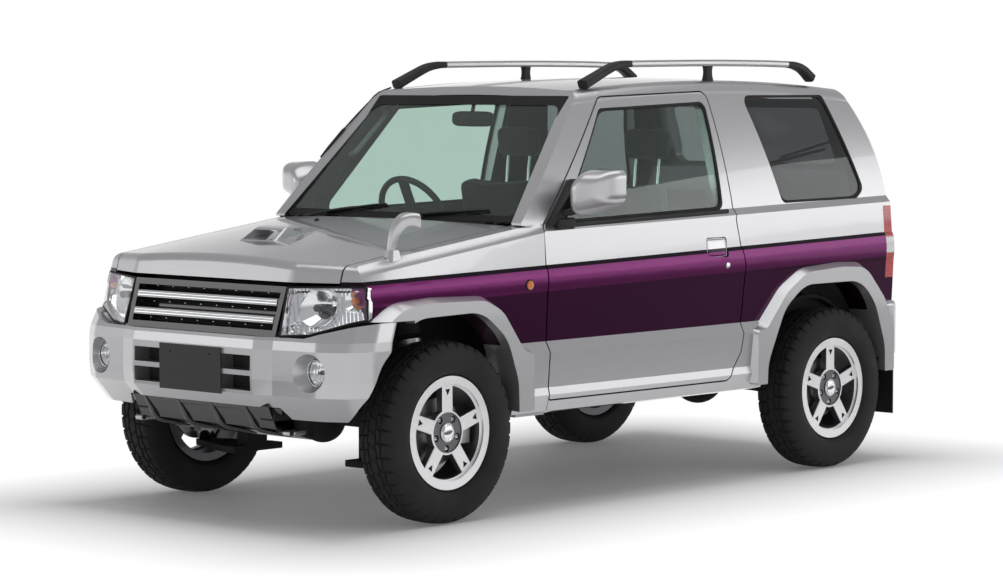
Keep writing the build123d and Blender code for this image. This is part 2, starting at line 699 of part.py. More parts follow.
bumper_front = BUMPER_PLAN[-1][0]
with BuildPart() as bumper_blank:
    for z, back, narrow in BUMPER_ROWS:
        with BuildSketch(Plane.XY.offset(z)):
            with BuildLine():
                half = [(x - back, y - narrow) for x, y in BUMPER_PLAN]
                FilletPolyline(*loop(half), radius=BUMPER_BENDS + BUMPER_BENDS[::-1], close=True)
            make_face()
    loft(ruled=True)
with BuildPart() as front_bumper:
    add(bumper_blank.part)
    add(plan_prism(loop(inset(BUMPER_PLAN, BUMPER_WALL)), BUMPER_LOW - 10.0, BUMPER_TOP + 10.0,
                   radii=20.0),
        mode=Mode.SUBTRACT)
    add(front_prism(((-446.0, BUMPER_LOW - 20.0), (-404.0, BUMPER_CENTRE_LOW), (404.0, BUMPER_CENTRE_LOW),
                     (446.0, BUMPER_LOW - 20.0)), front(200.0), FRONT_X + 50.0), mode=Mode.SUBTRACT)
    add(front_prism(((-900.0, BUMPER_TOP), (-HALF_WIDTH, BUMPER_TOP), (-530.0, 692.0), (530.0, 692.0),
                     (HALF_WIDTH, BUMPER_TOP), (900.0, BUMPER_TOP), (900.0, 1000.0), (-900.0, 1000.0)),
                    front(200.0), FRONT_X + 50.0), mode=Mode.SUBTRACT)
    add(headlamp_tool, mode=Mode.SUBTRACT)
    add(mirrored(headlamp_tool), mode=Mode.SUBTRACT)
    for side in (-1, 1):
        opening = side_prism(FRONT_ARCH, INSIDE, REACH, ARCH_R)
        add(opening if side > 0 else mirrored(opening), mode=Mode.SUBTRACT)
        for z in VENT_Z:
            vent = front_prism(((VENT_Y[0], z), (VENT_Y[1], z), (VENT_Y[1], z + VENT_H),
                                (VENT_Y[0], z + VENT_H)),
                               front(500.0), FRONT_X, 4.0)
            add(vent if side > 0 else mirrored(vent), mode=Mode.SUBTRACT)
        with Locations(Plane.YZ.offset(FOG_FACE) * Location((side * FOG_Y, FOG_Z, 0))):
            Cylinder(FOG_POCKET_R, 300.0, mode=Mode.SUBTRACT)
            Cone(FOG_POCKET_R, FOG_MOUTH_R, FOG_MOUTH, align=(Align.CENTER, Align.CENTER, Align.MIN),
                 mode=Mode.SUBTRACT)
    add(block(bumper_front - 1.0, FRONT_X, -PLATE_HALF[0], PLATE_HALF[0], PLATE_Z - PLATE_HALF[1],
              PLATE_Z + PLATE_HALF[1]))
    for y in (-PLATE_BOLT_SPACING / 2, PLATE_BOLT_SPACING / 2):
        with Locations(Plane.YZ.offset(FRONT_X) * Location((y, PLATE_Z + 55.0, 0))):
            Cylinder(PLATE_BOLT_R, 60.0, mode=Mode.SUBTRACT)

FOG_BODY = 70.0
with BuildPart() as fog_lamps:
    for side in (-1, 1):
        with Locations(Plane.YZ.offset(FOG_FACE) * Location((side * FOG_Y, FOG_Z, 0))):
            Cylinder(FOG_POCKET_R - SEAT_GAP, FOG_BODY, align=(Align.CENTER, Align.CENTER, Align.MAX))

# Grille: frame and two bars in front of a backing panel
GRILLE = ((-398.0, 692.0), (-404.0, 868.0), (404.0, 868.0), (398.0, 692.0))
GRILLE_DEPTH = 70.0
GRILLE_RIM = 22.0
GRILLE_BARS = (750.0, 812.0)
with BuildPart() as grille_hole:
    add(nose_tool(-20.0, 600.0, 960.0))
    add(front_prism(GRILLE, front(300.0), FRONT_X + 50.0, grow=-GRILLE_RIM), mode=Mode.INTERSECT)
    add(nose_tool(GRILLE_DEPTH - 8.0, 500.0, 1000.0), mode=Mode.SUBTRACT)
    for z in GRILLE_BARS:
        add(block(0.0, FRONT_X, -REACH, REACH, z - 13.0, z + 13.0), mode=Mode.SUBTRACT)
with BuildPart() as radiator_grille:
    add(nose_tool(2.0, 600.0, 960.0))
    add(front_prism(GRILLE, front(300.0), FRONT_X), mode=Mode.INTERSECT)
    add(nose_tool(GRILLE_DEPTH, 500.0, 1000.0), mode=Mode.SUBTRACT)
    add(grille_hole.part, mode=Mode.SUBTRACT)

# Lower nose
SKID_HALF = 364.0
SKID_LINE = ((front(562.0), BUMPER_CENTRE_LOW + 14.0), (front(522.0), 372.0), (front(340.0), 318.0))
SKID = 12.0
with BuildPart() as skid_plate:
    top = [(x, z) for x, z in SKID_LINE]
    low_line = [(x, z - SKID) for x, z in reversed(SKID_LINE)]
    add(side_prism(top + low_line, -SKID_HALF, SKID_HALF))
    add(front_bumper.part, mode=Mode.SUBTRACT)

# Rear bumper
REAR_PLAN = ((rear(-300.0), HALF_WIDTH - 2.0), (rear(-440.0), HALF_WIDTH - 12.0),
             (rear(-494.0), HALF_WIDTH - 95.0),
             (rear(-500.0), 400.0))
REAR_BUMPER_Z = (436.0, 672.0)
REAR_BUMPER_DROP = 495.0
REAR_BUMPER_WALL = 50.0
SPARE_Z = 862.0
SPARE_R = TYRE_RADIUS + 8.0
with BuildPart() as rear_bumper:
    add(plan_prism(loop(REAR_PLAN), *REAR_BUMPER_Z, radii=70.0))
    middle_z = sum(REAR_BUMPER_Z) / 2
    behind = [e for e in rear_bumper.edges() if e.center().X < rear(-310.0)]
    fillet([e for e in behind if abs(e.center().Z - middle_z) > 60.0], radius=22.0)
    inner_plan = [(x + REAR_BUMPER_WALL, y - REAR_BUMPER_WALL) for x, y in REAR_PLAN]
    add(plan_prism(loop(inner_plan), 400.0, 700.0, radii=40.0), mode=Mode.SUBTRACT)
    add(block(rear(-600.0), rear(-300.0), -CABIN_HALF, CABIN_HALF, REAR_BUMPER_DROP, 800.0),
        mode=Mode.SUBTRACT)
    for shape in (body_side.part, mirrored(body_side.part)):
        add(shape, mode=Mode.SUBTRACT)
    opening = side_prism(REAR_ARCH, INSIDE, REACH, ARCH_R)
    add(opening, mode=Mode.SUBTRACT)
    add(mirrored(opening), mode=Mode.SUBTRACT)

bumper_zone = block(front(200.0), FRONT_X, 0.0, REACH, 200.0, BUMPER_TOP)
front_flare = flare(FRONT_FLARE, FRONT_AXLE, AXLE_Z, FRONT_ARCH, (fender_form, bumper_zone))
rear_flare = flare(REAR_FLARE, REAR_AXLE, AXLE_Z, REAR_ARCH, (flank, rear_bumper.part))


def rod(start, end, radius):
    """Round bar between two points."""
    axis = Vector(*end) - Vector(*start)
    with BuildPart() as tool:
        with BuildSketch(Plane(origin=start, z_dir=axis)):
            Circle(radius)
        extrude(amount=axis.length)
    return tool.part


def pair(shape):
    """A left piece and its mirror image."""
    with BuildPart() as two:
        add(shape)
        mirror(about=Plane.XZ)
    return two.part


# Tailgate: side-hinged, thick below the glass so that the spare sits in a round recess
GATE_LOW = 503.0
GATE_TOP = 1516.0
GATE_DEPTH = 118.0
GATE_THIN = 46.0
GATE_STEP_Z = 1216.0
GATE_DRAFT = 45.0
GATE_HALF = LAMP_IN - SHUT_GAP
RECESS_DEPTH = 106.0
GATE_PIN = (TAIL_FACE - 16.0, -(LAMP_IN - SHUT_GAP / 2))
GATE_HINGE_Z = (722.0, 1115.0)
GATE_LEAF = 60.0
GATE_GLASS = ((-440.0, 1240.0), (-420.0, 1478.0), (420.0, 1478.0), (440.0, 1240.0))


def gate_outline(draft):
    """Rear view of the tailgate, its free side moved in by draft."""
    right = ((-GATE_HALF, GATE_LOW), (-GATE_HALF, 1080.0), (-478.0, GATE_TOP))
    return list(right) + [(-y - draft, z) for y, z in reversed(right)]


def gate_slab(back_low, back_high):
    """Slab along the tail between two depths, the lower one thick up to the step."""
    low, top = GATE_LOW - 20.0, GATE_TOP + 20.0
    z_mid = (TAIL_LEAN_Z + top) / 2
    with BuildPart() as tool:
        with BuildSketch(Plane.XZ.offset(-REACH)):
            with BuildLine():
                ThreePointArc((tail_x(top), top), (tail_x(z_mid), z_mid), (TAIL_FACE, TAIL_LEAN_Z))
                Polyline(
                    (TAIL_FACE, TAIL_LEAN_Z), (TAIL_FACE, low), (TAIL_FACE + back_low, low),
                    (TAIL_FACE + back_low, GATE_STEP_Z),
                    (tail_x(GATE_STEP_Z + 14.0) + back_high, GATE_STEP_Z + 14.0),
                    (tail_x(top) + back_high, top), (tail_x(top), top),
                )
            make_face()
        extrude(amount=2 * REACH)
    return tool.part


with BuildPart() as gate_plug:
    for x, draft in ((TAIL_FACE - 80.0, 0.0), (TAIL_FACE + 320.0, GATE_DRAFT)):
        with BuildSketch(Plane.YZ.offset(x)):
            with BuildLine():
                FilletPolyline(*gate_outline(draft), radius=30.0, close=True)
            make_face()
    loft(ruled=True)

gate_glass_tool = front_prism(GATE_GLASS, TAIL_FACE - 50.0, TAIL_FACE + 400.0, 30.0)
with BuildPart() as tailgate:
    add(gate_slab(GATE_DEPTH, GATE_THIN))
    add(gate_plug.part, mode=Mode.INTERSECT)
    add(gate_glass_tool, mode=Mode.SUBTRACT)
    with Locations(Plane.YZ.offset(TAIL_FACE) * Location((0, SPARE_Z, 0))):
        Cylinder(SPARE_R + 8.0, 2 * RECESS_DEPTH, mode=Mode.SUBTRACT)
    for z in GATE_HINGE_Z:
        leaf_y = GATE_PIN[1] + GATE_LEAF
        add(block(GATE_PIN[0] - 5.0, tail_x(z) + 8.0, GATE_PIN[1], leaf_y, z - HINGE_HALF,
                  z + HINGE_HALF))
        with Locations((GATE_PIN[0], GATE_PIN[1], z)):
            Cylinder(BARREL_OD / 2, 2 * HINGE_HALF)
            Cylinder(PIN_R + PIN_PLAY, 4 * HINGE_HALF, mode=Mode.SUBTRACT)

with BuildPart() as tailgate_glass:
    add(gate_slab(GATE_DEPTH, GATE_THIN).moved(Location((GLASS_SET_BACK, 0, 0))))
    add(gate_slab(GATE_DEPTH, GATE_THIN).moved(Location((GLASS_SET_BACK + GLASS, 0, 0))),
        mode=Mode.SUBTRACT)
    add(block(-FRONT_X, 0.0, -REACH, REACH, GATE_STEP_Z + 16.0, GATE_TOP - 4.0), mode=Mode.INTERSECT)
    add(block(TAIL_FACE, tail_x(GATE_TOP) + GATE_THIN - 4.0, -REACH, REACH, 1200.0, 1600.0),
        mode=Mode.INTERSECT)
    add(gate_glass_tool, mode=Mode.INTERSECT)

# Spare wheel in the recess, with a plain cover
SPARE_BACK = TAIL_FACE + RECESS_DEPTH - SEAT_GAP
SPARE_WIDTH = SPARE_BACK - TAIL_X
with BuildPart() as spare_wheel:
    with Locations(Plane.YZ.offset(SPARE_BACK - SPARE_WIDTH / 2) * Location((0, SPARE_Z, 0))):
        Cylinder(SPARE_R, SPARE_WIDTH)
    rims = [e for e in spare_wheel.edges().filter_by(GeomType.CIRCLE)]
    fillet(rims, radius=42.0)

# Right-hand rear corner carries the fixed halves of the tailgate hinges
with BuildPart() as gate_hinges:
    for z in GATE_HINGE_Z:
        for side in (-1, 1):
            mid = z + side * (HINGE_HALF + LUG_PLAY + LUG / 2)
            add(block(GATE_PIN[0] - 8.0, GATE_PIN[0] + 7.0, -(CABIN_HALF + 60.0), GATE_PIN[1] + 7.0,
                      mid - LUG / 2, mid + LUG / 2))
            add(block(GATE_PIN[0], tail_x(z) + 30.0, -(CABIN_HALF + 60.0), -CABIN_HALF - 1.0,
                      mid - LUG / 2, mid + LUG / 2))
        with Locations((GATE_PIN[0], GATE_PIN[1], z)):
            Cylinder(PIN_R, 2 * (HINGE_HALF + LUG_PLAY + LUG / 2))
with BuildPart() as body_side_right:
    add(mirrored(body_side.part))
    add(block(TAIL_FACE, TAIL_FACE + 30.0, -(CABIN_HALF + 60.0), -(CABIN_HALF + 1.0), 676.0, 766.0))
    add(gate_hinges.part)

with BuildPart() as tail_lamp:
    add(side_blank)
    add(block(TAIL_FACE - 40.0, TAIL_LAMP_FRONT - SEAT_GAP, LAMP_IN, REACH, TAIL_LAMP_Z[0] + SEAT_GAP,
              TAIL_LAMP_Z[1] - SEAT_GAP),
        mode=Mode.INTERSECT)

# Floor
FLOOR = 14.0
FLOOR_Z = 400.0
KICK_X = rear(300.0)
REAR_FLOOR_Z = 590.0
FIREWALL_X = DOOR_OPEN_X + 52.0
FLOOR_END = TAIL_FACE + GATE_DEPTH + SHUT_GAP + 2.0
TUNNEL_HALF = 120.0
TUNNEL_Z = 580.0
HOUSE_R = 346.0
HOUSE_Z_UP = 20.0
HOUSE_IN = CABIN_HALF - 52.0
RAIL_Y = (300.0, 360.0)
with BuildPart() as floor_pan:
    add(block(KICK_X - FLOOR, DOOR_OPEN_X - 61.0, -CABIN_HALF, CABIN_HALF, FLOOR_Z, FLOOR_Z + FLOOR))
    add(block(DOOR_OPEN_X - 62.0, FIREWALL_X, -PILLAR_IN, PILLAR_IN, FLOOR_Z, FLOOR_Z + FLOOR))
    add(block(KICK_X - FLOOR, KICK_X, -CABIN_HALF, CABIN_HALF, FLOOR_Z, REAR_FLOOR_Z))
    add(block(FLOOR_END, KICK_X, -CABIN_HALF, CABIN_HALF, REAR_FLOOR_Z - FLOOR, REAR_FLOOR_Z))
    add(block(FLOOR_END, FLOOR_END + FLOOR, -CABIN_HALF, CABIN_HALF, FLOOR_Z, REAR_FLOOR_Z))
    add(block(TAIL_FACE + 14.0, FLOOR_END + FLOOR, -CABIN_HALF, CABIN_HALF, FLOOR_Z + 30.0,
              GATE_LOW - SHUT_GAP))
    add(block(KICK_X, FIREWALL_X, -TUNNEL_HALF, TUNNEL_HALF, FLOOR_Z, TUNNEL_Z))
    add(block(KICK_X - 30.0, FIREWALL_X + 10.0, FLOOR - TUNNEL_HALF, TUNNEL_HALF - FLOOR, FLOOR_Z - 10.0,
              TUNNEL_Z - FLOOR),
        mode=Mode.SUBTRACT)
    for side in (-1, 1):
        for x_low, x_high, z_low in ((KICK_X - 60.0, FIREWALL_X, FLOOR_Z - 70.0),
                                     (FLOOR_END, KICK_X - 60.0, REAR_FLOOR_Z - 90.0)):
            z_high = FLOOR_Z if x_high > 0 else REAR_FLOOR_Z - FLOOR
            y_low, y_high = sorted((side * RAIL_Y[0], side * RAIL_Y[1]))
            add(block(x_low, x_high, y_low, y_high, z_low, z_high))
        y_low, y_high = sorted((side * RAIL_Y[0], side * RAIL_Y[1]))
        add(block(KICK_X - 60.0, KICK_X, y_low, y_high, FLOOR_Z - 70.0, REAR_FLOOR_Z - FLOOR))
        y_mid = side * (HOUSE_IN + CABIN_HALF) / 2
        centre = Location((REAR_AXLE, AXLE_Z + HOUSE_Z_UP, 0))
        with Locations(Plane.XZ.offset(-y_mid) * centre):
            Cylinder(HOUSE_R + FLOOR, CABIN_HALF - HOUSE_IN)
        with Locations(Plane.XZ.offset(-y_mid - side * FLOOR) * centre):
            Cylinder(HOUSE_R, CABIN_HALF - HOUSE_IN, mode=Mode.SUBTRACT)
        y_low, y_high = sorted((side * (HOUSE_IN - 1.0), side * (CABIN_HALF + 1.0)))
        add(block(rear(-HOUSE_R - FLOOR), rear(HOUSE_R + FLOOR), y_low, y_high, -200.0,
                  REAR_FLOOR_Z - FLOOR - 60.0), mode=Mode.SUBTRACT)
        add(block(rear(-HOUSE_R + 60.0), rear(HOUSE_R - 60.0), y_low + (FLOOR if side > 0 else 0.0),
                  y_high - (0.0 if side > 0 else FLOOR),
                  -200.0, REAR_FLOOR_Z + 10.0), mode=Mode.SUBTRACT)


# Front structure: firewall, cowl, inner wings, rails, radiator panel and tow hooks
KING_LOW = (FRONT_AXLE, FRONT_TRACK / 2 - 47.5, AXLE_Z - 105.0)
KING_TOP = (FRONT_AXLE, FRONT_TRACK / 2 - 165.5, AXLE_Z + 460.0)
KING_SLOPE = (KING_TOP[1] - KING_LOW[1]) / (KING_TOP[2] - KING_LOW[2])
WING_Y = 361.0
HOUSE_Z = 750.0
WALL = 14.0
FENDER_IN = BONNET_HALF + SHUT_GAP
RADIATOR_X = front(400.0)
CRASH_Z = (390.0, 460.0)
HOOK_Y = 398.0
HOOK_Z = 346.0
HOOK_R = 8.0


def king_y(z):
    """Y of the left kingpin line at height z."""
    return KING_LOW[1] + KING_SLOPE * (z - KING_LOW[2])


with BuildPart() as front_half:
    add(block(FIREWALL_X, FIREWALL_X + WALL, 0.0, PILLAR_IN, FLOOR_Z, 1046.0))
    add(block(FIREWALL_X, front(440.0), WING_Y, WING_Y + WALL, CRASH_Z[0], HOUSE_Z))
    add(block(FIREWALL_X, LAMP_BACK, WING_Y, FENDER_IN, HOUSE_Z, HOUSE_Z + WALL))
    add(block(front(-370.0), front(385.0), FENDER_IN - 30.0, FENDER_IN, HOUSE_Z, 896.0))
    add(block(FIREWALL_X, front(-330.0), PILLAR_IN - 1.0, FENDER_IN, 930.0, 1000.0))
    add(block(front(-90.0), front(90.0), WING_Y, FENDER_IN - 30.0, HOUSE_Z, HOUSE_Z + 70.0))
    add(block(FIREWALL_X, front(540.0), RAIL_Y[0], RAIL_Y[1] + WALL, *CRASH_Z))
    add(block(RADIATOR_X, RADIATOR_X + 34.0, 0.0, WING_Y + WALL, CRASH_Z[0], 872.0))
    add(block(front(335.0), front(375.0), 0.0, RAIL_Y[1], 318.0, CRASH_Z[0] + 4.0))
    add(block(front(425.0), front(440.0), SKID_HALF + 4.0, HOOK_Y + 28.0, HOOK_Z - 14.0,
              CRASH_Z[0] + 4.0))
    for y in (HOOK_Y - 20.0, HOOK_Y + 20.0):
        add(rod((front(430.0), y, HOOK_Z), (front(500.0), y, HOOK_Z), HOOK_R))
        with Locations((front(500.0), y, HOOK_Z)):
            Sphere(HOOK_R)
    add(rod((front(500.0), HOOK_Y - 20.0, HOOK_Z), (front(500.0), HOOK_Y + 20.0, HOOK_Z), HOOK_R))
    add(rod((FRONT_AXLE, king_y(700.0), 700.0), (FRONT_AXLE, king_y(806.0), 806.0), 46.0),
        mode=Mode.SUBTRACT)
    for side in (-1, 1):
        y = BONNET_HINGE_Y + side * (BONNET_ARM / 2 + LUG_PLAY + LUG / 2)
        add(block(FIREWALL_X, BONNET_PIN[0] + 14.0, y - LUG / 2, y + LUG / 2, 985.0,
                  BONNET_PIN[1] + 10.0))
    add(rod((BONNET_PIN[0], BONNET_HINGE_Y - 30.0, BONNET_PIN[1]),
            (BONNET_PIN[0], BONNET_HINGE_Y + 30.0, BONNET_PIN[1]), PIN_R))
with BuildPart() as cowl:
    add(screen_slab(8.0, 70.0))
    with BuildPart(mode=Mode.ADD):
        add(bonnet_form.moved(Location((0, 0, -COWL_DROP))))
        add(screen_slab(8.0, 400.0), mode=Mode.SUBTRACT)
        add(block(FIREWALL_X, front(0.0), -REACH, REACH, 900.0, 1200.0), mode=Mode.INTERSECT)
    add(block(0.0, FRONT_X, -PILLAR_IN, PILLAR_IN, 1010.0, SCREEN_LOW_Z), mode=Mode.INTERSECT)
    add(bonnet_outline(SHUT_GAP), mode=Mode.SUBTRACT)
    for side in (-1, 1):
        low, high = sorted((side * (BONNET_HINGE_Y - 17.0), side * (BONNET_HINGE_Y + 17.0)))
        add(block(FIREWALL_X + WALL, FRONT_X, low, high, 900.0, SCREEN_LOW_Z + 10.0), mode=Mode.SUBTRACT)
with BuildPart() as front_structure:
    add(front_half.part)
    mirror(about=Plane.XZ)
    add(cowl.part)
    for shape in (front_bumper.part, body_side.part, mirrored(body_side.part)):
        add(shape, mode=Mode.SUBTRACT)
with BuildPart() as skid_seated:
    add(skid_plate.part)
    add(front_structure.part, mode=Mode.SUBTRACT)

# Engine and gearbox as one plain block on mounts
ENGINE_X = (front(-360.0), front(240.0))
ENGINE_HALF = 180.0
ENGINE_Z = (430.0, 880.0)
GEARBOX_R = 92.0
GEARBOX_Z = 450.0
GEARBOX_END = front(-1020.0)
with BuildPart() as engine:
    add(block(*ENGINE_X, -ENGINE_HALF, ENGINE_HALF, *ENGINE_Z))
    fillet(engine.edges().filter_by(Axis.X), radius=30.0)
    add(rod((ENGINE_X[0] + 20.0, 0, GEARBOX_Z), (GEARBOX_END, 0, GEARBOX_Z), GEARBOX_R))
    add(block(front(-60.0), front(40.0), -RAIL_Y[0], RAIL_Y[0], ENGINE_Z[0], ENGINE_Z[0] + 30.0))
    add(front_structure.part, mode=Mode.SUBTRACT)

# Rear axle: tube, differential, links and springs between axle and floor rails
AXLE_TUBE_R = 38.0
AXLE_END = REAR_TRACK / 2 - 60.0
DIFF_R = 112.0
SPRING_R = 52.0
SPRING_Y = (RAIL_Y[0] + RAIL_Y[1]) / 2
STUB_R = 18.0
STUB_PLAY = 0.5
RAIL_UNDER = REAR_FLOOR_Z - 90.0
with BuildPart() as rear_axle:
    add(rod((REAR_AXLE, -AXLE_END, AXLE_Z), (REAR_AXLE, AXLE_END, AXLE_Z), AXLE_TUBE_R))
    add(rod((REAR_AXLE, -AXLE_END - 70.0, AXLE_Z), (REAR_AXLE, AXLE_END + 70.0, AXLE_Z), STUB_R))
    with Locations((REAR_AXLE, 0, AXLE_Z)):
        Sphere(DIFF_R)
    add(rod((REAR_AXLE, 0, AXLE_Z + 20.0), (REAR_AXLE + 190.0, 0, AXLE_Z + 20.0), 50.0))
    for side in (-1, 1):
        y = side * SPRING_Y
        add(rod((REAR_AXLE, y, AXLE_Z + 20.0), (REAR_AXLE, y, RAIL_UNDER), SPRING_R))
        arm_y = side * (RAIL_Y[1] + 40.0)
        add(rod((REAR_AXLE, arm_y, AXLE_Z - 30.0), (KICK_X + 30.0, arm_y, FLOOR_Z - 40.0), 16.0))
        low, high = sorted((side * (RAIL_Y[1]), side * (RAIL_Y[1] + 62.0)))
        add(block(KICK_X + 4.0, KICK_X + 56.0, low, high, FLOOR_Z - 60.0, FLOOR_Z))

with BuildPart() as propeller_shaft:
    add(rod((GEARBOX_END - SEAT_GAP, 0, GEARBOX_Z), (REAR_AXLE + 190.0 + SEAT_GAP, 0, AXLE_Z + 20.0),
            30.0))
    for shape in (engine.part, rear_axle.part, floor_pan.part):
        add(shape, mode=Mode.SUBTRACT)

with BuildPart() as fuel_tank:
    add(block(FLOOR_END + 40.0, rear(-135.0), -140.0, RAIL_Y[0] - 10.0, 405.0, REAR_FLOOR_Z - FLOOR))
    fillet(fuel_tank.edges().filter_by(Axis.Z), radius=30.0)

# Exhaust: pipe and silencer hung from the floor
PIPE_R = 22.0
PIPE_Y = -205.0
PIPE_RUN = ((front(-250.0), -195.0, 470.0), (front(-400.0), PIPE_Y, 340.0), (rear(560.0), PIPE_Y, 340.0),
            (rear(330.0), PIPE_Y, 340.0),
            (rear(170.0), PIPE_Y, 455.0), (rear(-200.0), PIPE_Y, 455.0), (rear(-300.0), PIPE_Y, 400.0),
            (rear(-430.0), PIPE_Y, 385.0))
with BuildPart() as exhaust:
    for a, b in zip(PIPE_RUN[:-1], PIPE_RUN[1:]):
        add(rod(a, b, PIPE_R))
        with Locations(b):
            Sphere(PIPE_R)
    add(block(rear(450.0), rear(800.0), PIPE_Y - 75.0, PIPE_Y + 75.0, 295.0, 385.0))
    fillet(exhaust.edges().filter_by(Axis.X).filter_by(lambda e: e.length > 300.0), radius=30.0)
    add(block(rear(600.0), rear(640.0), PIPE_Y - 20.0, PIPE_Y + 20.0, 380.0, FLOOR_Z))
    for shape in (engine.part, floor_pan.part, front_structure.part):
        add(shape, mode=Mode.SUBTRACT)

# Front suspension: cross-beam, lower arms, springs, differential with half shafts, steering rack
ARM_Z = KING_LOW[2] - 16.0
HUB_IN = FRONT_TRACK / 2 - 60.0
with BuildPart() as suspension_half:
    add(block(front(-60.0), front(60.0), 0.0, RAIL_Y[1], 330.0, CRASH_Z[0]))
    add(plan_prism(((front(-130.0), RAIL_Y[1] - 60.0), (front(120.0), RAIL_Y[1] - 60.0),
                    (front(120.0), RAIL_Y[1]),
                    (front(26.0), KING_LOW[1] + 22.0), (front(-26.0), KING_LOW[1] + 22.0),
                    (front(-130.0), RAIL_Y[1])),
                   ARM_Z - 24.0, ARM_Z))
    add(block(front(-50.0), front(50.0), RAIL_Y[1] - 60.0, RAIL_Y[1], ARM_Z - 20.0, 340.0))
    add(rod((FRONT_AXLE, 0, AXLE_Z), (FRONT_AXLE, HUB_IN - 60.0, AXLE_Z), 14.0))
    add(rod((FRONT_AXLE, HUB_IN - 120.0, AXLE_Z), (FRONT_AXLE, HUB_IN - 60.0, AXLE_Z), 40.0))
    add(rod((FRONT_AXLE, king_y(672.0), 672.0), (FRONT_AXLE, king_y(806.0), 806.0), 45.7))
    add(rod((FRONT_AXLE, king_y(600.0), 600.0), (FRONT_AXLE, king_y(900.0), 900.0), 24.0),
        mode=Mode.SUBTRACT)
    add(rod((front(-120.0), 0, 355.0), (front(-120.0), 330.0, 355.0), 22.0))
    add(block(front(-140.0), front(-50.0), 250.0, 330.0, 345.0, 380.0))
with BuildPart() as front_suspension:
    add(suspension_half.part)
    mirror(about=Plane.XZ)
    with Locations((FRONT_AXLE, 60.0, AXLE_Z)):
        Sphere(85.0)
    add(front_structure.part, mode=Mode.SUBTRACT)
    add(engine.part, mode=Mode.SUBTRACT)

# Left knuckle with strut and caliper, turning on the kingpin line
DISC_R = 122.0
HUB_Y = FRONT_TRACK / 2
HUB_FACE = 28.0
with BuildPart() as left_knuckle:
    add(block(front(-34.0), front(34.0), HUB_Y - 62.0, HUB_Y - 24.0, KING_LOW[2] + 18.0, AXLE_Z + 105.0))
    add(block(front(-30.0), front(30.0), king_y(420.0) - 30.0, HUB_Y - 24.0, AXLE_Z + 50.0,
              AXLE_Z + 105.0))
    add(rod((FRONT_AXLE, HUB_Y - 62.0, AXLE_Z), (FRONT_AXLE, HUB_Y + HUB_FACE - 4.0, AXLE_Z), STUB_R))
    add(rod((FRONT_AXLE, king_y(390.0), 390.0), (FRONT_AXLE, king_y(655.0), 655.0), 25.0))
    add(rod((FRONT_AXLE, king_y(650.0), 650.0), (FRONT_AXLE, king_y(800.0), 800.0), 12.0))
    add(rod((FRONT_AXLE, king_y(640.0), 640.0), (FRONT_AXLE, king_y(655.0), 655.0), 46.0))
    add(block(front(-150.0), front(-30.0), HUB_Y - 40.0, HUB_Y - 22.0, AXLE_Z - 35.0, AXLE_Z + 35.0))
    add(block(front(-150.0), front(-92.0), HUB_Y - 40.0, HUB_Y + 24.0, AXLE_Z - 50.0, AXLE_Z + 50.0))
    add(block(front(-DISC_R - 6.0), front(-85.0), HUB_Y - 16.0, HUB_Y + 4.0, AXLE_Z - 60.0,
              AXLE_Z + 60.0), mode=Mode.SUBTRACT)


# Wheels, built about the origin with the outer side towards +Y
def ring(points):
    """Body of revolution about Y from (radius, y) points."""
    with BuildPart() as turned:
        with BuildSketch(Plane.XY):
            with BuildLine():
                Polyline(*points, close=True)
            make_face()
        revolve(axis=Axis.Y)
    return turned.part


TYRE_HALF = TYRE_WIDTH / 2
BEAD_HALF = RIM_WIDTH / 2 - 9.0
HUB_R = 82.0
SPOKE = 54.0
SPOKE_COUNT = 5
tyre_form = ring(((RIM_RADIUS, -BEAD_HALF), (RIM_FLANGE + 2.0, -BEAD_HALF),
                  (RIM_FLANGE + 14.0, -BEAD_HALF - 18.0), (RIM_RADIUS + 62.0, -TYRE_HALF),
                  (TYRE_RADIUS - 34.0, -TYRE_HALF + 5.0), (TYRE_RADIUS - 9.0, -TYRE_HALF + 20.0),
                  (TYRE_RADIUS, -TYRE_HALF + 38.0),
                  (TYRE_RADIUS, TYRE_HALF - 38.0), (TYRE_RADIUS - 9.0, TYRE_HALF - 20.0),
                  (TYRE_RADIUS - 34.0, TYRE_HALF - 5.0),
                  (RIM_RADIUS + 62.0, TYRE_HALF), (RIM_FLANGE + 14.0, BEAD_HALF + 18.0),
                  (RIM_FLANGE + 2.0, BEAD_HALF), (RIM_RADIUS, BEAD_HALF)))
SPOKE_DEPTH = 30.0
SPOKE_BEVEL = 2.5
HUB_WELL = 5.0
CAP_R = 34.0
NOTCH_R = 15.0
NOTCH_DEPTH = 9.0
face_plane = Plane.XZ.offset(-HUB_FACE - SPOKE_DEPTH)
with BuildPart() as wheel_face:
    with BuildSketch(face_plane):
        Circle(RIM_RADIUS - 8.0)
        with BuildSketch(face_plane, mode=Mode.SUBTRACT):
            Circle(RIM_RADIUS - 22.0)
            Circle(HUB_R, mode=Mode.SUBTRACT)
            with PolarLocations(RIM_RADIUS / 2, SPOKE_COUNT, start_angle=90.0):
                Rectangle(RIM_RADIUS, SPOKE, mode=Mode.SUBTRACT)
    extrude(amount=SPOKE_DEPTH)
    chamfer(wheel_face.faces().sort_by(Axis.Y)[-1].edges(), length=SPOKE_BEVEL)
    with BuildSketch(face_plane):
        Circle(HUB_R - 8.0)
        Circle(CAP_R, mode=Mode.SUBTRACT)
    extrude(amount=HUB_WELL, mode=Mode.SUBTRACT)
    with BuildSketch(face_plane):
        with PolarLocations(RIM_RADIUS - 40.0, SPOKE_COUNT, start_angle=90.0):
            RegularPolygon(NOTCH_R, 3, rotation=180.0)
    extrude(amount=NOTCH_DEPTH, mode=Mode.SUBTRACT)
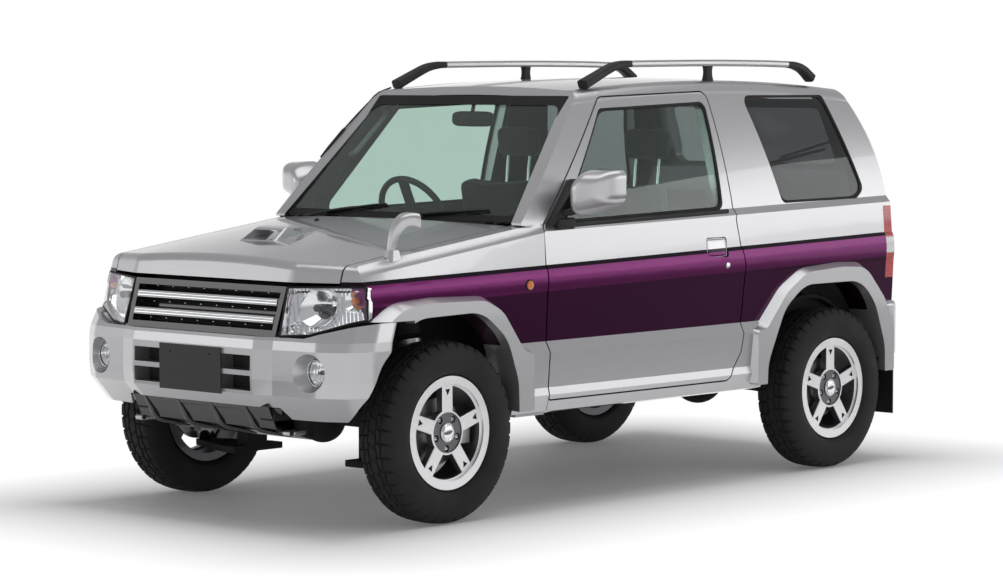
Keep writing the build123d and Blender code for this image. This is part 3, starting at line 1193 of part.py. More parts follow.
with BuildPart() as rim:
    half = RIM_WIDTH / 2
    bead = RIM_RADIUS - SEAT_GAP
    add(ring(((bead - 14.0, -half), (RIM_FLANGE, -half), (RIM_FLANGE, -half + 8.0), (bead, -half + 8.0),
              (bead, half - 8.0),
              (RIM_FLANGE, half - 8.0), (RIM_FLANGE, half), (bead - 14.0, half))))
    add(wheel_face.part)
    with BuildSketch(Plane.XZ.offset(-HUB_FACE - 60.0)):
        with PolarLocations(LUG_CIRCLE / 2, LUG_COUNT, start_angle=90.0 + 180.0 / LUG_COUNT):
            Circle(LUG_HOLE_R)
    extrude(amount=48.0, mode=Mode.SUBTRACT)
rim_form = rim.part
disc_form = ring(((STUB_R + STUB_PLAY, -12.0), (DISC_R, -12.0), (DISC_R, 0.0), (70.0, 0.0),
                  (70.0, HUB_FACE), (STUB_R + STUB_PLAY, HUB_FACE)))
drum_form = ring(((STUB_R + STUB_PLAY, -40.0), (118.0, -40.0), (118.0, 14.0), (70.0, 14.0),
                  (70.0, HUB_FACE), (STUB_R + STUB_PLAY, HUB_FACE)))


def placed(shape, x, y):
    """A wheel piece at one corner of the car, outer side outwards."""
    turn = 0.0 if y > 0 else 180.0
    return shape.moved(Location((x, y, AXLE_Z), (0, 0, turn)))


# Cabin
SEAT_IN = TUNNEL_HALF + 14.0
SEAT_OUT = CABIN_HALF - 28.0
SEAT_MID = (SEAT_IN + SEAT_OUT) / 2
SEAT_X = DOOR_OPEN_X - 921.0
CUSHION = ((0.0, 476.0), (480.0, 500.0), (505.0, 640.0), (450.0, 690.0), (30.0, 640.0))
BACKREST = ((20.0, 560.0), (140.0, 600.0), (10.0, 1180.0), (-30.0, 1230.0), (-90.0, 1220.0),
            (-100.0, 1170.0))
HEADREST = ((-40.0, 1270.0), (-20.0, 1340.0), (-40.0, 1410.0), (-110.0, 1415.0), (-120.0, 1280.0))
with BuildPart() as seat_left:
    for outline, y_low, y_high, radius in (
        (CUSHION, SEAT_IN, SEAT_OUT, 40.0),
        (BACKREST, SEAT_IN, SEAT_OUT, 34.0),
        (HEADREST, SEAT_MID - 120.0, SEAT_MID + 120.0, 22.0),
    ):
        add(side_prism([(SEAT_X + dx, z) for dx, z in outline], y_low, y_high, radius))
    for y in (SEAT_MID - 60.0, SEAT_MID + 60.0):
        add(rod((SEAT_X - 60.0, y, 1180.0), (SEAT_X - 78.0, y, 1300.0), 7.0))
    add(block(SEAT_X + 60.0, SEAT_X + 420.0, SEAT_IN + 60.0, SEAT_OUT - 60.0, FLOOR_Z + FLOOR, 500.0))

BENCH_HALF = HOUSE_IN - 18.0
BENCH = ((KICK_X + 2.0, FLOOR_Z + FLOOR), (KICK_X + 370.0, FLOOR_Z + FLOOR), (KICK_X + 390.0, 650.0),
         (KICK_X + 340.0, 690.0),
         (KICK_X + 2.0, 640.0))
BENCH_BACK = ((KICK_X - 130.0, REAR_FLOOR_Z), (KICK_X + 60.0, REAR_FLOOR_Z + 20.0),
              (KICK_X + 80.0, 680.0), (KICK_X - 60.0, 1190.0),
              (KICK_X - 150.0, 1195.0))
with BuildPart() as rear_seat:
    add(side_prism(BENCH, -BENCH_HALF, BENCH_HALF))
    add(block(KICK_X - FLOOR - 1.0, FIREWALL_X, -TUNNEL_HALF - 4.0, TUNNEL_HALF + 4.0, FLOOR_Z,
              TUNNEL_Z + 4.0), mode=Mode.SUBTRACT)
    add(side_prism(BENCH_BACK, -BENCH_HALF, BENCH_HALF))
    add(floor_pan.part, mode=Mode.SUBTRACT)

DASH_HALF = PILLAR_IN - 2.0
DASH = ((FIREWALL_X, 690.0), (FIREWALL_X, 1012.0), (FIREWALL_X - 190.0, 1016.0),
        (FIREWALL_X - 280.0, 985.0), (FIREWALL_X - 270.0, 780.0),
        (FIREWALL_X - 150.0, 690.0))
WHEEL_POS = (DOOR_OPEN_X - 375.0, -SEAT_MID, 1040.0)
COLUMN_TILT = 25.0
COLUMN_R = 30.0
SHAFT_R = 11.0
SHAFT_PLAY = 0.4
STEER_R = 176.0
STEER_GRIP = 13.0
column_dir = (-cos(radians(COLUMN_TILT)), 0.0, sin(radians(COLUMN_TILT)))


def on_column(distance):
    """Point on the steering axis, measured from the wheel's centre towards the driver."""
    return tuple(c + distance * d for c, d in zip(WHEEL_POS, column_dir))


with BuildPart() as dashboard:
    add(side_prism(DASH, -DASH_HALF, DASH_HALF))
    add(rod(on_column(-300.0), on_column(-62.0), COLUMN_R))
    add(rod(on_column(-70.0), on_column(-8.0), SHAFT_R))
    add(block(FIREWALL_X - 330.0, FIREWALL_X - 100.0, -90.0, 90.0, TUNNEL_Z, 800.0))
    add(block(FIREWALL_X - 520.0, FIREWALL_X - 320.0, -90.0, 90.0, TUNNEL_Z, 640.0))
    add(rod((FIREWALL_X - 440.0, 0.0, 630.0), (FIREWALL_X - 470.0, 0.0, 780.0), 9.0))
    with Locations((FIREWALL_X - 472.0, 0.0, 788.0)):
        Sphere(24.0)

wheel_plane = Plane(origin=WHEEL_POS, x_dir=(0, 1, 0), z_dir=column_dir)
with BuildPart() as steering_wheel:
    with Locations(wheel_plane):
        Torus(STEER_R, STEER_GRIP)
    add(rod(on_column(-56.0), on_column(4.0), 46.0))
    with BuildSketch(wheel_plane.offset(-7.0)):
        Rectangle(2 * STEER_R, 44.0)
        with Locations((0.0, -STEER_R / 2)):
            Rectangle(44.0, STEER_R)
    extrude(amount=14.0)
    add(rod(on_column(-80.0), on_column(-7.0), SHAFT_R + SHAFT_PLAY), mode=Mode.SUBTRACT)

# Trim outside
SAIL = ((DOOR_OPEN_X - 22.0, 1052.0), (DOOR_OPEN_X - 115.0, 1062.0), (DOOR_OPEN_X - 222.0, 1225.0),
        (DOOR_OPEN_X - 192.0, 1225.0))
MIRROR_PLAN = (
    (DOOR_OPEN_X - 225.0, HALF_WIDTH - 14.0), (DOOR_OPEN_X - 225.0, HALF_WIDTH + 156.0),
    (DOOR_OPEN_X - 172.0, HALF_WIDTH + 156.0), (DOOR_OPEN_X - 96.0, HALF_WIDTH + 78.0),
    (DOOR_OPEN_X - 88.0, HALF_WIDTH - 14.0),
)
MIRROR_Z = (1098.0, 1268.0)
MIRROR_EDGE_R = 24.0
with BuildPart() as door_mirror_left:
    add(plan_prism(MIRROR_PLAN, *MIRROR_Z, radii=26.0))
    ends = door_mirror_left.faces().filter_by(Axis.Z)
    fillet(ends.edges(), radius=MIRROR_EDGE_R)
    add(side_prism(SAIL, HALF_WIDTH - 110.0, HALF_WIDTH - 48.0))
    add(rod((DOOR_OPEN_X - 118.0, HALF_WIDTH - 62.0, 1100.0),
            (DOOR_OPEN_X - 180.0, HALF_WIDTH + 40.0, 1142.0), 17.0))
    add(door_left.part, mode=Mode.SUBTRACT)
    add(pane(DOOR_WINDOW_TOOL), mode=Mode.SUBTRACT)

RAIL_TUBE_Y = ROOF_PANEL_HALF + 20.0
RAIL_TOP = ((DOOR_OPEN_X - 425.0, 1580.0), (DOOR_OPEN_X - 640.0, 1658.0), (DOOR_OPEN_X - 1200.0, 1668.0),
            (rear(20.0), 1680.0),
            (rear(-135.0), 1604.0))
with BuildPart() as roof_rail:
    add(side_prism(list(RAIL_TOP) + [(x, z - 30.0) for x, z in reversed(RAIL_TOP)],
                   RAIL_TUBE_Y - 13.0, RAIL_TUBE_Y + 13.0, 9.0))
    for x_low, x_high, z_high in ((DOOR_OPEN_X - 620.0, DOOR_OPEN_X - 470.0, 1590.0),
                                  (DOOR_OPEN_X - 1190.0, DOOR_OPEN_X - 1120.0, 1650.0),
                                  (rear(-120.0), rear(20.0), 1600.0)):
        foot_z = roof_z((x_low + x_high) / 2) - ROOF_SKIN / 2
        add(block(x_low, x_high, RAIL_TUBE_Y - 13.0, RAIL_TUBE_Y + 13.0, foot_z, z_high))
    for shape in (flank, roof_panel.part, side_blank):
        add(shape, mode=Mode.SUBTRACT)

screen_up = (SCREEN_LEAN[0] / lean_length, SCREEN_LEAN[1] / lean_length)


def on_screen(y, along, lift):
    """Point over the screen: side place, distance up from its foot, lift off the glass."""
    depth = SCREEN_SET_BACK - SCREEN_BOW * (1 - (y / SCREEN_HALF) ** 2)
    out = lift - depth
    return (SCREEN_FOOT[0] + along * screen_up[0] + out * screen_up[1], y,
            SCREEN_FOOT[1] + along * screen_up[1] - out * screen_up[0])


WIPERS = ((60.0, 470.0), (-470.0, -60.0))
WIPER_R = 5.0
with BuildPart() as windscreen_wipers:
    for pivot_y, tip_y in WIPERS:
        foot, top = on_screen(pivot_y, -16.0, -4.0), on_screen(pivot_y, -16.0, 14.0)
        tip = on_screen(tip_y, 52.0, 10.0)
        add(rod(foot, top, 7.0))
        add(rod(top, tip, WIPER_R))
        with Locations(top):
            Sphere(7.0)
    add(front_structure.part, mode=Mode.SUBTRACT)
    add(windscreen.part, mode=Mode.SUBTRACT)

# Fender mirror: a horn lofted from its foot, turning back into the mirror's head
STALK = (front(208.0), BONNET_HALF + 34.0)
STALK_SIDE = (0.35, 1.0, 0.0)
STALK_ROWS = (
    (0.0, 0.0, -40.0, (0.0, 0.0, 1.0), 34.0, 42.0, 12.0),
    (-4.0, 2.0, 66.0, (-0.2, 0.07, 1.0), 30.0, 36.0, 12.0),
    (-28.0, 12.0, 110.0, (-0.75, 0.26, 0.6), 58.0, 48.0, 18.0),
    (-78.0, 34.0, 118.0, (-1.0, 0.35, 0.0), 104.0, 62.0, 24.0),
)
STALK_FOOT = ((-40.0, 84.0, 56.0), (18.0, 46.0, 36.0))
with BuildPart() as fender_mirror:
    stalk_z = bonnet_z(STALK[0])
    for dx, dy, dz, way, width, height, radius in STALK_ROWS:
        with BuildSketch(Plane(origin=(STALK[0] + dx, STALK[1] + dy, stalk_z + dz), x_dir=STALK_SIDE,
                               z_dir=way)):
            RectangleRounded(width, height, radius)
    loft()
    with BuildPart():
        for dz, length, width in STALK_FOOT:
            with BuildSketch(Plane.XY.offset(stalk_z + dz)):
                with Locations(STALK):
                    RectangleRounded(length, width, width / 3)
        loft(ruled=True)
    add(fender_form, mode=Mode.SUBTRACT)

FLAP_X = rear(-396.0)
with BuildPart() as mud_flap:
    add(block(FLAP_X - 6.0, FLAP_X, CABIN_HALF - 20.0, HALF_WIDTH - 4.0, 196.0, 470.0))
    add(rear_bumper.part, mode=Mode.SUBTRACT)
    add(body_side.part, mode=Mode.SUBTRACT)
    add(rear_flare, mode=Mode.SUBTRACT)
    add(floor_pan.part, mode=Mode.SUBTRACT)

with BuildPart() as rear_view_mirror:
    glass_x = screen_x(1470.0) - 70.0
    add(block(glass_x - 12.0, glass_x + 12.0, -110.0, 110.0, 1412.0, 1472.0))
    fillet(rear_view_mirror.edges(), radius=8.0)
    add(rod((glass_x, 0.0, 1450.0), (screen_x(1545.0) - 30.0, 0.0, roof_z(screen_x(1545.0)) - 6.0), 8.0))
    add(roof_panel.part, mode=Mode.SUBTRACT)
    add(windscreen.part, mode=Mode.SUBTRACT)

door_glass_left = pane(DOOR_WINDOW_TOOL)
nodes = {
    "floor_pan": floor_pan.part,
    "front_structure": front_structure.part,
    "body_side_left": body_side.part,
    "body_side_right": body_side_right.part,
    "roof_panel": roof_panel.part,
    "front_fenders": pair(fender_left.part),
    "arch_flares_front": pair(front_flare),
    "arch_flares_rear": pair(rear_flare),
    "front_bumper": front_bumper.part,
    "radiator_grille": radiator_grille.part,
    "headlamps": pair(headlamp_left.part),
    "fog_lamps": fog_lamps.part,
    "skid_plate": skid_seated.part,
    "windscreen": windscreen.part,
    "windscreen_wipers": windscreen_wipers.part,
    "quarter_windows": pair(pane(QUARTER_TOOL)),
    "rear_bumper": rear_bumper.part,
    "tail_lamps": pair(tail_lamp.part),
    "mud_flaps": pair(mud_flap.part),
    "roof_rails": pair(roof_rail.part),
    "fender_mirror": fender_mirror.part,
    "rear_view_mirror": rear_view_mirror.part,
    "front_seats": pair(seat_left.part),
    "rear_seat": rear_seat.part,
    "dashboard": dashboard.part,
    "engine": engine.part,
    "propeller_shaft": propeller_shaft.part,
    "fuel_tank": fuel_tank.part,
    "exhaust": exhaust.part,
    "front_suspension": front_suspension.part,
    "rear_axle": rear_axle.part,
    "steering_wheel": steering_wheel.part,
    "bonnet": bonnet.part,
    "tailgate": tailgate.part,
    "tailgate_glass": tailgate_glass.part,
    "spare_wheel": spare_wheel.part,
    "left_door": door_left.part,
    "left_door_glass": door_glass_left,
    "left_door_mirror": door_mirror_left.part,
    "left_knuckle": left_knuckle.part,
    "right_door": mirrored(door_left.part),
    "right_door_glass": mirrored(door_glass_left),
    "right_door_mirror": mirrored(door_mirror_left.part),
    "right_knuckle": mirrored(left_knuckle.part),
}
for corner, x, y, brake in (("front_left", FRONT_AXLE, HUB_Y, disc_form),
                            ("front_right", FRONT_AXLE, -HUB_Y, disc_form),
                            ("rear_left", REAR_AXLE, REAR_TRACK / 2, drum_form),
                            ("rear_right", REAR_AXLE, -REAR_TRACK / 2, drum_form)):
    nodes[f"{corner}_tyre"] = placed(tyre_form, x, y)
    nodes[f"{corner}_rim"] = placed(rim_form, x, y)
    nodes[f"{corner}_brake"] = placed(brake, x, y)

for name, shape in nodes.items():
    shape.label = name
    export_step(shape, f"parts/{name}.step")
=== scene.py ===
"""Looks of a small three-door off-road kei car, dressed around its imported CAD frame.

Metres, in the CAD frame: X forward, Y to the car's left, Z up, the ground at Z 0.
"""

from __future__ import annotations

import logging
import math
from dataclasses import dataclass, field, replace
from enum import Enum

import bmesh
import bpy
import numpy as np
from bpy.types import ID, Material, Mesh, Node, NodeTree, Object, Scene
from bpy.types import NodeSocket as Socket
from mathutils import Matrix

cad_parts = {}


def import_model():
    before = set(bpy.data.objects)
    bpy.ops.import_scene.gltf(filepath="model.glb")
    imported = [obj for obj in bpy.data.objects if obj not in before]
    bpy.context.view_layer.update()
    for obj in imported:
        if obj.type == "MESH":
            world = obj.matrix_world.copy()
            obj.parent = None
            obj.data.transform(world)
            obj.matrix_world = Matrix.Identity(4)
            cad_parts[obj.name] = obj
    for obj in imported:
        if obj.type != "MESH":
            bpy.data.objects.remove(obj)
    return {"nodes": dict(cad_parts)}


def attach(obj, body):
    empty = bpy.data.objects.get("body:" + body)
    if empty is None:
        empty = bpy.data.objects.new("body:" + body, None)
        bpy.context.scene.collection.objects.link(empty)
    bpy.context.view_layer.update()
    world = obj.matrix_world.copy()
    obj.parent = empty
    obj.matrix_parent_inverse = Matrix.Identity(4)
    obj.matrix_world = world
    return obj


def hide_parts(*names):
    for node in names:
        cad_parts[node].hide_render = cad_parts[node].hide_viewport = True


LOG = logging.getLogger("kei_car")
Array = np.ndarray
Colour = tuple[float, float, float]
Point = tuple[float, float, float]
Pair = tuple[float, float]
Outline = tuple[Pair, ...]
FRONT_AXLE_X = 1.09
REAR_AXLE_X = -1.19
AXLE_Z = 0.3305
DOWN = (0.0, 0.0, -1.0)
UP = (0.0, 0.0, 1.0)
FORWARD = (1.0, 0.0, 0.0)
BACKWARD = (-1.0, 0.0, 0.0)
OUTWARD = (0.0, 1.0, 0.0)
MIRROR = np.array([1.0, -1.0, 1.0])
AHEAD_X, BEHIND_X, BESIDE_Y, ABOVE_Z = 1.9, -2.0, 1.2, 2.0


class Side(Enum):
    """Side of the car, as the sign of Y."""

    LEFT = 1
    RIGHT = -1


class Corner(Enum):
    """One wheel: its name's first half, its axle's X and the sign of Y."""

    FRONT_LEFT = ("front_left", FRONT_AXLE_X, 1)
    FRONT_RIGHT = ("front_right", FRONT_AXLE_X, -1)
    REAR_LEFT = ("rear_left", REAR_AXLE_X, 1)
    REAR_RIGHT = ("rear_right", REAR_AXLE_X, -1)


# Shapes


@dataclass
class Shape:
    """Points and rows of polygon corners that become one mesh."""

    points: Array
    faces: list[Array]

    @staticmethod
    def grid(points: Array, wrap_u: bool = False, wrap_v: bool = False) -> Shape:
        """Quads between the neighbours of a grid of points.

        Args:
            points: Array of shape (u, v, 3).
            wrap_u: Whether the last row joins the first.
            wrap_v: Whether the last column joins the first.

        Returns:
            The surface through the points.
        """
        nu, nv = points.shape[:2]
        index = np.arange(nu * nv).reshape(nu, nv)
        if wrap_u:
            index = np.vstack([index, index[:1]])
        if wrap_v:
            index = np.hstack([index, index[:, :1]])
        quads = np.stack([index[:-1, :-1], index[1:, :-1], index[1:, 1:], index[:-1, 1:]], axis=-1)
        return Shape(points.reshape(-1, 3), [quads.reshape(-1, 4)])

    @staticmethod
    def join(shapes: list[Shape]) -> Shape:
        """Several shapes as one, their corner numbers moved up in turn.

        Args:
            shapes: The shapes to put together.

        Returns:
            One shape that holds them all.
        """
        starts = np.cumsum([0] + [len(s.points) for s in shapes])
        faces = [f + start for s, start in zip(shapes, starts) for f in s.faces]
        return Shape(np.vstack([s.points for s in shapes]), faces)

    def moved(self, shift: Point) -> Shape:
        """The shape carried along a vector."""
        return Shape(self.points + np.asarray(shift), self.faces)

    def turned(self, axis: Point, angle: float, about: Point = (0.0, 0.0, 0.0)) -> Shape:
        """The shape turned about an axis.

        Args:
            axis: Direction of the axis.
            angle: Turn in radians, by the right hand.
            about: A point of the axis.

        Returns:
            The turned shape.
        """
        about = np.asarray(about)
        return Shape((self.points - about) @ rotation(axis, angle).T + about, self.faces)

    def mirrored(self) -> Shape:
        """The shape on the other side of the car, its faces turned round again."""
        return Shape(self.points * MIRROR, [f[:, ::-1] for f in self.faces])

    def on(self, side: Side) -> Shape:
        """A shape made for the left, on the given side."""
        return self if side is Side.LEFT else self.mirrored()

    def mesh(self, name: str) -> Mesh:
        """A new mesh of the shape.

        Args:
            name: The mesh's name.

        Returns:
            The mesh, not yet welded.
        """
        mesh = bpy.data.meshes.new(name)
        corners = np.concatenate([np.full(len(f), f.shape[1]) for f in self.faces])
        loops = np.concatenate([f.ravel() for f in self.faces]).astype(np.int32)
        mesh.vertices.add(len(self.points))
        mesh.vertices.foreach_set("co", self.points.astype(np.float32).ravel())
        mesh.loops.add(len(loops))
        mesh.loops.foreach_set("vertex_index", loops)
        mesh.polygons.add(len(corners))
        mesh.polygons.foreach_set("loop_start", (np.cumsum(corners) - corners).astype(np.int32))
        mesh.update(calc_edges=True)
        return mesh

    def build(self, name: str, finish: Finish, body: str, crease: float = 32.0) -> Object:
        """Makes the mesh, welds its seams, points its faces outwards and rides it on a body.

        Args:
            name: The piece's name.
            finish: What it is made of.
            body: The CAD body that it moves with.
            crease: Angle in degrees past which an edge stays sharp.

        Returns:
            The finished object, at the origin.
        """
        mesh = self.mesh(name)
        weld(mesh)
        mesh.shade_smooth()
        mesh.set_sharp_from_angle(angle=math.radians(crease))
        piece = placed(name, mesh)
        mesh.materials.append(finish.material())
        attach(piece, body)
        LOG.info("%s: %d faces on %s", name, len(mesh.polygons), body)
        return piece


def build_rows(side: Side, body: str, *rows: tuple) -> dict[str, Object]:
    """Builds shapes made for the left on the given side.

    Args:
        side: The side of the car.
        body: The CAD body that the pieces move with.
        *rows: Name without the side, shape, finish and if need be the crease of each piece.

    Returns:
        The pieces, by their names without the side.
    """
    made = {}
    for name, shape, finish, *crease in rows:
        made[name] = shape.on(side).build(f"{side.name.lower()}_{name}", finish, body, *crease)
    return made


def placed(name: str, data: ID) -> Object:
    """A new object in the scene, at the origin."""
    thing = bpy.data.objects.new(name, data)
    bpy.context.scene.collection.objects.link(thing)
    return thing


def mesh_points(mesh: Mesh) -> Array:
    """A mesh's points, as an array of shape (n, 3)."""
    points = np.empty(len(mesh.vertices) * 3)
    mesh.vertices.foreach_get("co", points)
    return points.reshape(-1, 3)


def weld(mesh: Mesh, reach: float = 1e-6) -> None:
    """Merges points that coincide, drops faces with no area and points the rest outwards.

    Args:
        mesh: The mesh to mend.
        reach: Distance under which two points are one.
    """
    work = bmesh.new()
    work.from_mesh(mesh)
    bmesh.ops.remove_doubles(work, verts=work.verts, dist=reach)
    bmesh.ops.dissolve_degenerate(work, edges=work.edges, dist=reach)
    bmesh.ops.recalc_face_normals(work, faces=work.faces)
    work.to_mesh(mesh)
    work.free()


def rotation(axis: Point, angle: float) -> Array:
    """Matrix of a turn about an axis through the origin, by Rodrigues' formula."""
    x, y, z = np.asarray(axis, float) / np.linalg.norm(axis)
    cross = np.array([[0, -z, y], [z, 0, -x], [-y, x, 0]])
    return np.eye(3) + math.sin(angle) * cross + (1 - math.cos(angle)) * cross @ cross


def xyz(x: Array | float, y: Array | float, z: Array | float) -> Array:
    """Points from their coordinates, where one number stands for all the points."""
    return np.stack(np.broadcast_arrays(x, y, z), axis=-1)


def unit(vectors: Array) -> Array:
    """Vectors at length one."""
    return vectors / np.maximum(np.linalg.norm(vectors, axis=-1, keepdims=True), 1e-12)


def smooth_path(knots: Array, count: int) -> Array:
    """Points evenly numbered along a Catmull-Rom curve through the knots.

    Each stretch is the cubic whose end slopes are half the step between the knots either side.

    Args:
        knots: Array of shape (n, d).
        count: How many points to give.

    Returns:
        Array of shape (count, d).
    """
    knots = np.asarray(knots, float)
    padded = np.vstack([2 * knots[0] - knots[1], knots, 2 * knots[-1] - knots[-2]])
    place = np.linspace(0, len(knots) - 1, count)
    start = np.minimum(place.astype(int), len(knots) - 2)
    t = (place - start)[:, None]
    a, b, c, d = (padded[start + k] for k in range(4))
    return 0.5 * (2 * b + (c - a) * t + (2 * a - 5 * b + 4 * c - d) * t**2 + (3 * b - a - 3 * c + d) * t**3)


def circle(radius: float, sides: int) -> Array:
    """Points of a circle about the origin of a profile's plane."""
    angle = np.linspace(0, 2 * np.pi, sides, endpoint=False)
    return radius * np.stack([np.cos(angle), np.sin(angle)], axis=1)


def rounded_outline(half_w: float, half_h: float, radius: float, steps: int = 5) -> Array:
    """Rectangle with round corners: each corner is a quarter circle about its own centre.

    Args:
        half_w: Half the width.
        half_h: Half the height.
        radius: Of the corners.
        steps: Points on each corner.

    Returns:
        Array of shape (4 * steps, 2).
    """
    quarter = np.linspace(0, np.pi / 2, steps)
    turns = quarter[None, :] + np.array([0, 1, 2, 3])[:, None] * np.pi / 2
    centre = np.array([[1, 1], [-1, 1], [-1, -1], [1, -1]]) * np.array([half_w - radius, half_h - radius])
    ring = centre[:, None, :] + radius * np.stack([np.cos(turns), np.sin(turns)], axis=-1)
    return ring.reshape(-1, 2)


def sweep(path: Array, profile: Array, up: Point, closed: bool = False, scale: Array | None = None) -> Shape:
    """A closed profile carried along a path, its second axis kept near a fixed direction.

    At each point the side axis is the tangent crossed with up, and the profile's two
    coordinates run along the side axis and along the axis square to both.

    Args:
        path: Array of shape (n, 3).
        profile: Array of shape (m, 2).
        up: Direction that the profile's second coordinate leans to.
        closed: Whether the path joins its own start.
        scale: Size of the profile at each point, of shape (n,) or (n, 2).

    Returns:
        The swept surface, its ends capped if it is open.
    """
    path = np.asarray(path, float)
    if closed:
        tangent = np.roll(path, -1, axis=0) - np.roll(path, 1, axis=0)
    else:
        tangent = np.gradient(path, axis=0)
    tangent = unit(tangent)
    side = unit(np.cross(tangent, np.asarray(up, float)))
    rise = np.cross(side, tangent)
    size = np.ones((len(path), 2))
    if scale is not None:
        size = size * np.asarray(scale, float).reshape(len(path), -1)
    flat = profile[None] * size[:, None, :]
    points = path[:, None] + flat[..., :1] * side[:, None] + flat[..., 1:] * rise[:, None]
    shape = Shape.grid(points, wrap_u=closed, wrap_v=True)
    if not closed:
        m, n = len(profile), len(path)
        ring = np.arange(m)
        shape.faces += [ring[None, ::-1], (ring + (n - 1) * m)[None]]
    return shape


def tube(path: Array, radius: float, sides: int = 12, up: Point = UP) -> Shape:
    """A round bar along a path."""
    return sweep(path, circle(radius, sides), up)


def lathe(profile: Array, segments: int, centre: Point, axis: Point = OUTWARD) -> Shape:
    """A profile of (radius, height) turned about an axis; ends on the axis close to a pole.

    Args:
        profile: Array of shape (m, 2).
        segments: Steps round the axis.
        centre: Where height 0 lies.
        axis: Direction of growing height.

    Returns:
        The turned surface.
    """
    axis = unit(np.asarray(axis, float))
    first = unit(np.cross(axis, UP if abs(axis[2]) < 0.9 else FORWARD))
    second = np.cross(axis, first)
    angle = np.linspace(0, 2 * np.pi, segments, endpoint=False)
    round_ = np.cos(angle)[:, None] * first + np.sin(angle)[:, None] * second
    profile = np.asarray(profile, float)
    points = np.asarray(centre) + profile[None, :, :1] * round_[:, None] + profile[None, :, 1:] * axis
    return Shape.grid(points, wrap_u=True)


def rounded_box(centre: Point, half: Point, radius: float, steps: int = 4) -> Shape:
    """Box with round edges: each octant of a sphere moved out to its own corner.

    Args:
        centre: Middle of the box.
        half: Half its sizes.
        radius: Of its edges.
        steps: Points along a quarter of an edge's turn.

    Returns:
        The closed surface.
    """
    quarter = np.linspace(0, np.pi / 2, steps)
    around = (quarter[None] + np.arange(4)[:, None] * np.pi / 2).ravel()
    up_down = np.concatenate([quarter - np.pi / 2, quarter])
    middle = np.repeat(np.arange(4) * np.pi / 2 + np.pi / 4, steps)
    corner = np.stack([np.sign(np.cos(middle)), np.sign(np.sin(middle))], axis=1)
    lift = np.repeat([-1.0, 1.0], steps)
    normal = xyz(np.outer(np.cos(around), np.cos(up_down)), np.outer(np.sin(around), np.cos(up_down)),
                 np.outer(np.ones_like(around), np.sin(up_down)))
    sign = xyz(np.outer(corner[:, 0], np.ones_like(lift)), np.outer(corner[:, 1], np.ones_like(lift)),
               np.outer(np.ones(len(around)), lift))
    points = np.asarray(centre) + sign * (np.asarray(half) - radius) + radius * normal
    shape = Shape.grid(points, wrap_u=True)
    rows, columns = points.shape[:2]
    low = np.arange(rows) * columns
    shape.faces += [low[None, ::-1], (low + columns - 1)[None]]
    return shape


class Skin:
    """A CAD node's outer surface, on which pieces are laid."""

    def __init__(self, *nodes: str) -> None:
        """Reads the triangles of some CAD nodes."""
        self.corners = np.concatenate([self.triangles(n) for n in nodes])

    @staticmethod
    def triangles(node: str) -> Array:
        """Corner points of a node's triangles, of shape (n, 3, 3).

        Args:
            node: The CAD node's name.

        Returns:
            Array of shape (n, 3, 3).
        """
        mesh = FRAME["nodes"][node].data
        mesh.calc_loop_triangles()
        corners = np.empty(len(mesh.loop_triangles) * 3, dtype=np.int64)
        mesh.loop_triangles.foreach_get("vertices", corners)
        return mesh_points(mesh)[corners].reshape(-1, 3, 3)

    def drop(self, origins: Array, direction: Point) -> Array:
        """First points that rays from the origins meet, all in one direction.

        The ray and triangle test runs for all pairs at once: with one direction, the two
        shares along the triangle's edges and the distance are dot products of the origin.

        Args:
            origins: Array of shape (..., 3).
            direction: Where every ray goes.

        Returns:
            The points met, NaN where a ray meets nothing, in the shape of origins.
        """
        ray = unit(np.asarray(direction, float))
        start = np.asarray(origins, float).reshape(-1, 3)
        corner, first, second = self.corners[:, 0], *(self.corners[:, k] - self.corners[:, 0] for k in (1, 2))
        normals = (np.cross(ray, second), np.cross(first, ray), np.cross(first, second))
        area = np.einsum("ij,ij->i", first, normals[0])
        keep = np.abs(area) > 1e-14
        corner, area = corner[keep], area[keep]
        u, v, far = (
            (start @ n[keep].T - np.einsum("ij,ij->i", corner, n[keep])) / area for n in normals
        )
        hit = (u >= -1e-6) & (v >= -1e-6) & (u + v <= 1 + 1e-6) & (far > 0)
        nearest = np.where(hit, far, np.inf).min(axis=1)
        nearest[np.isinf(nearest)] = np.nan
        return (start + nearest[:, None] * ray).reshape(np.shape(origins))


# Finishes


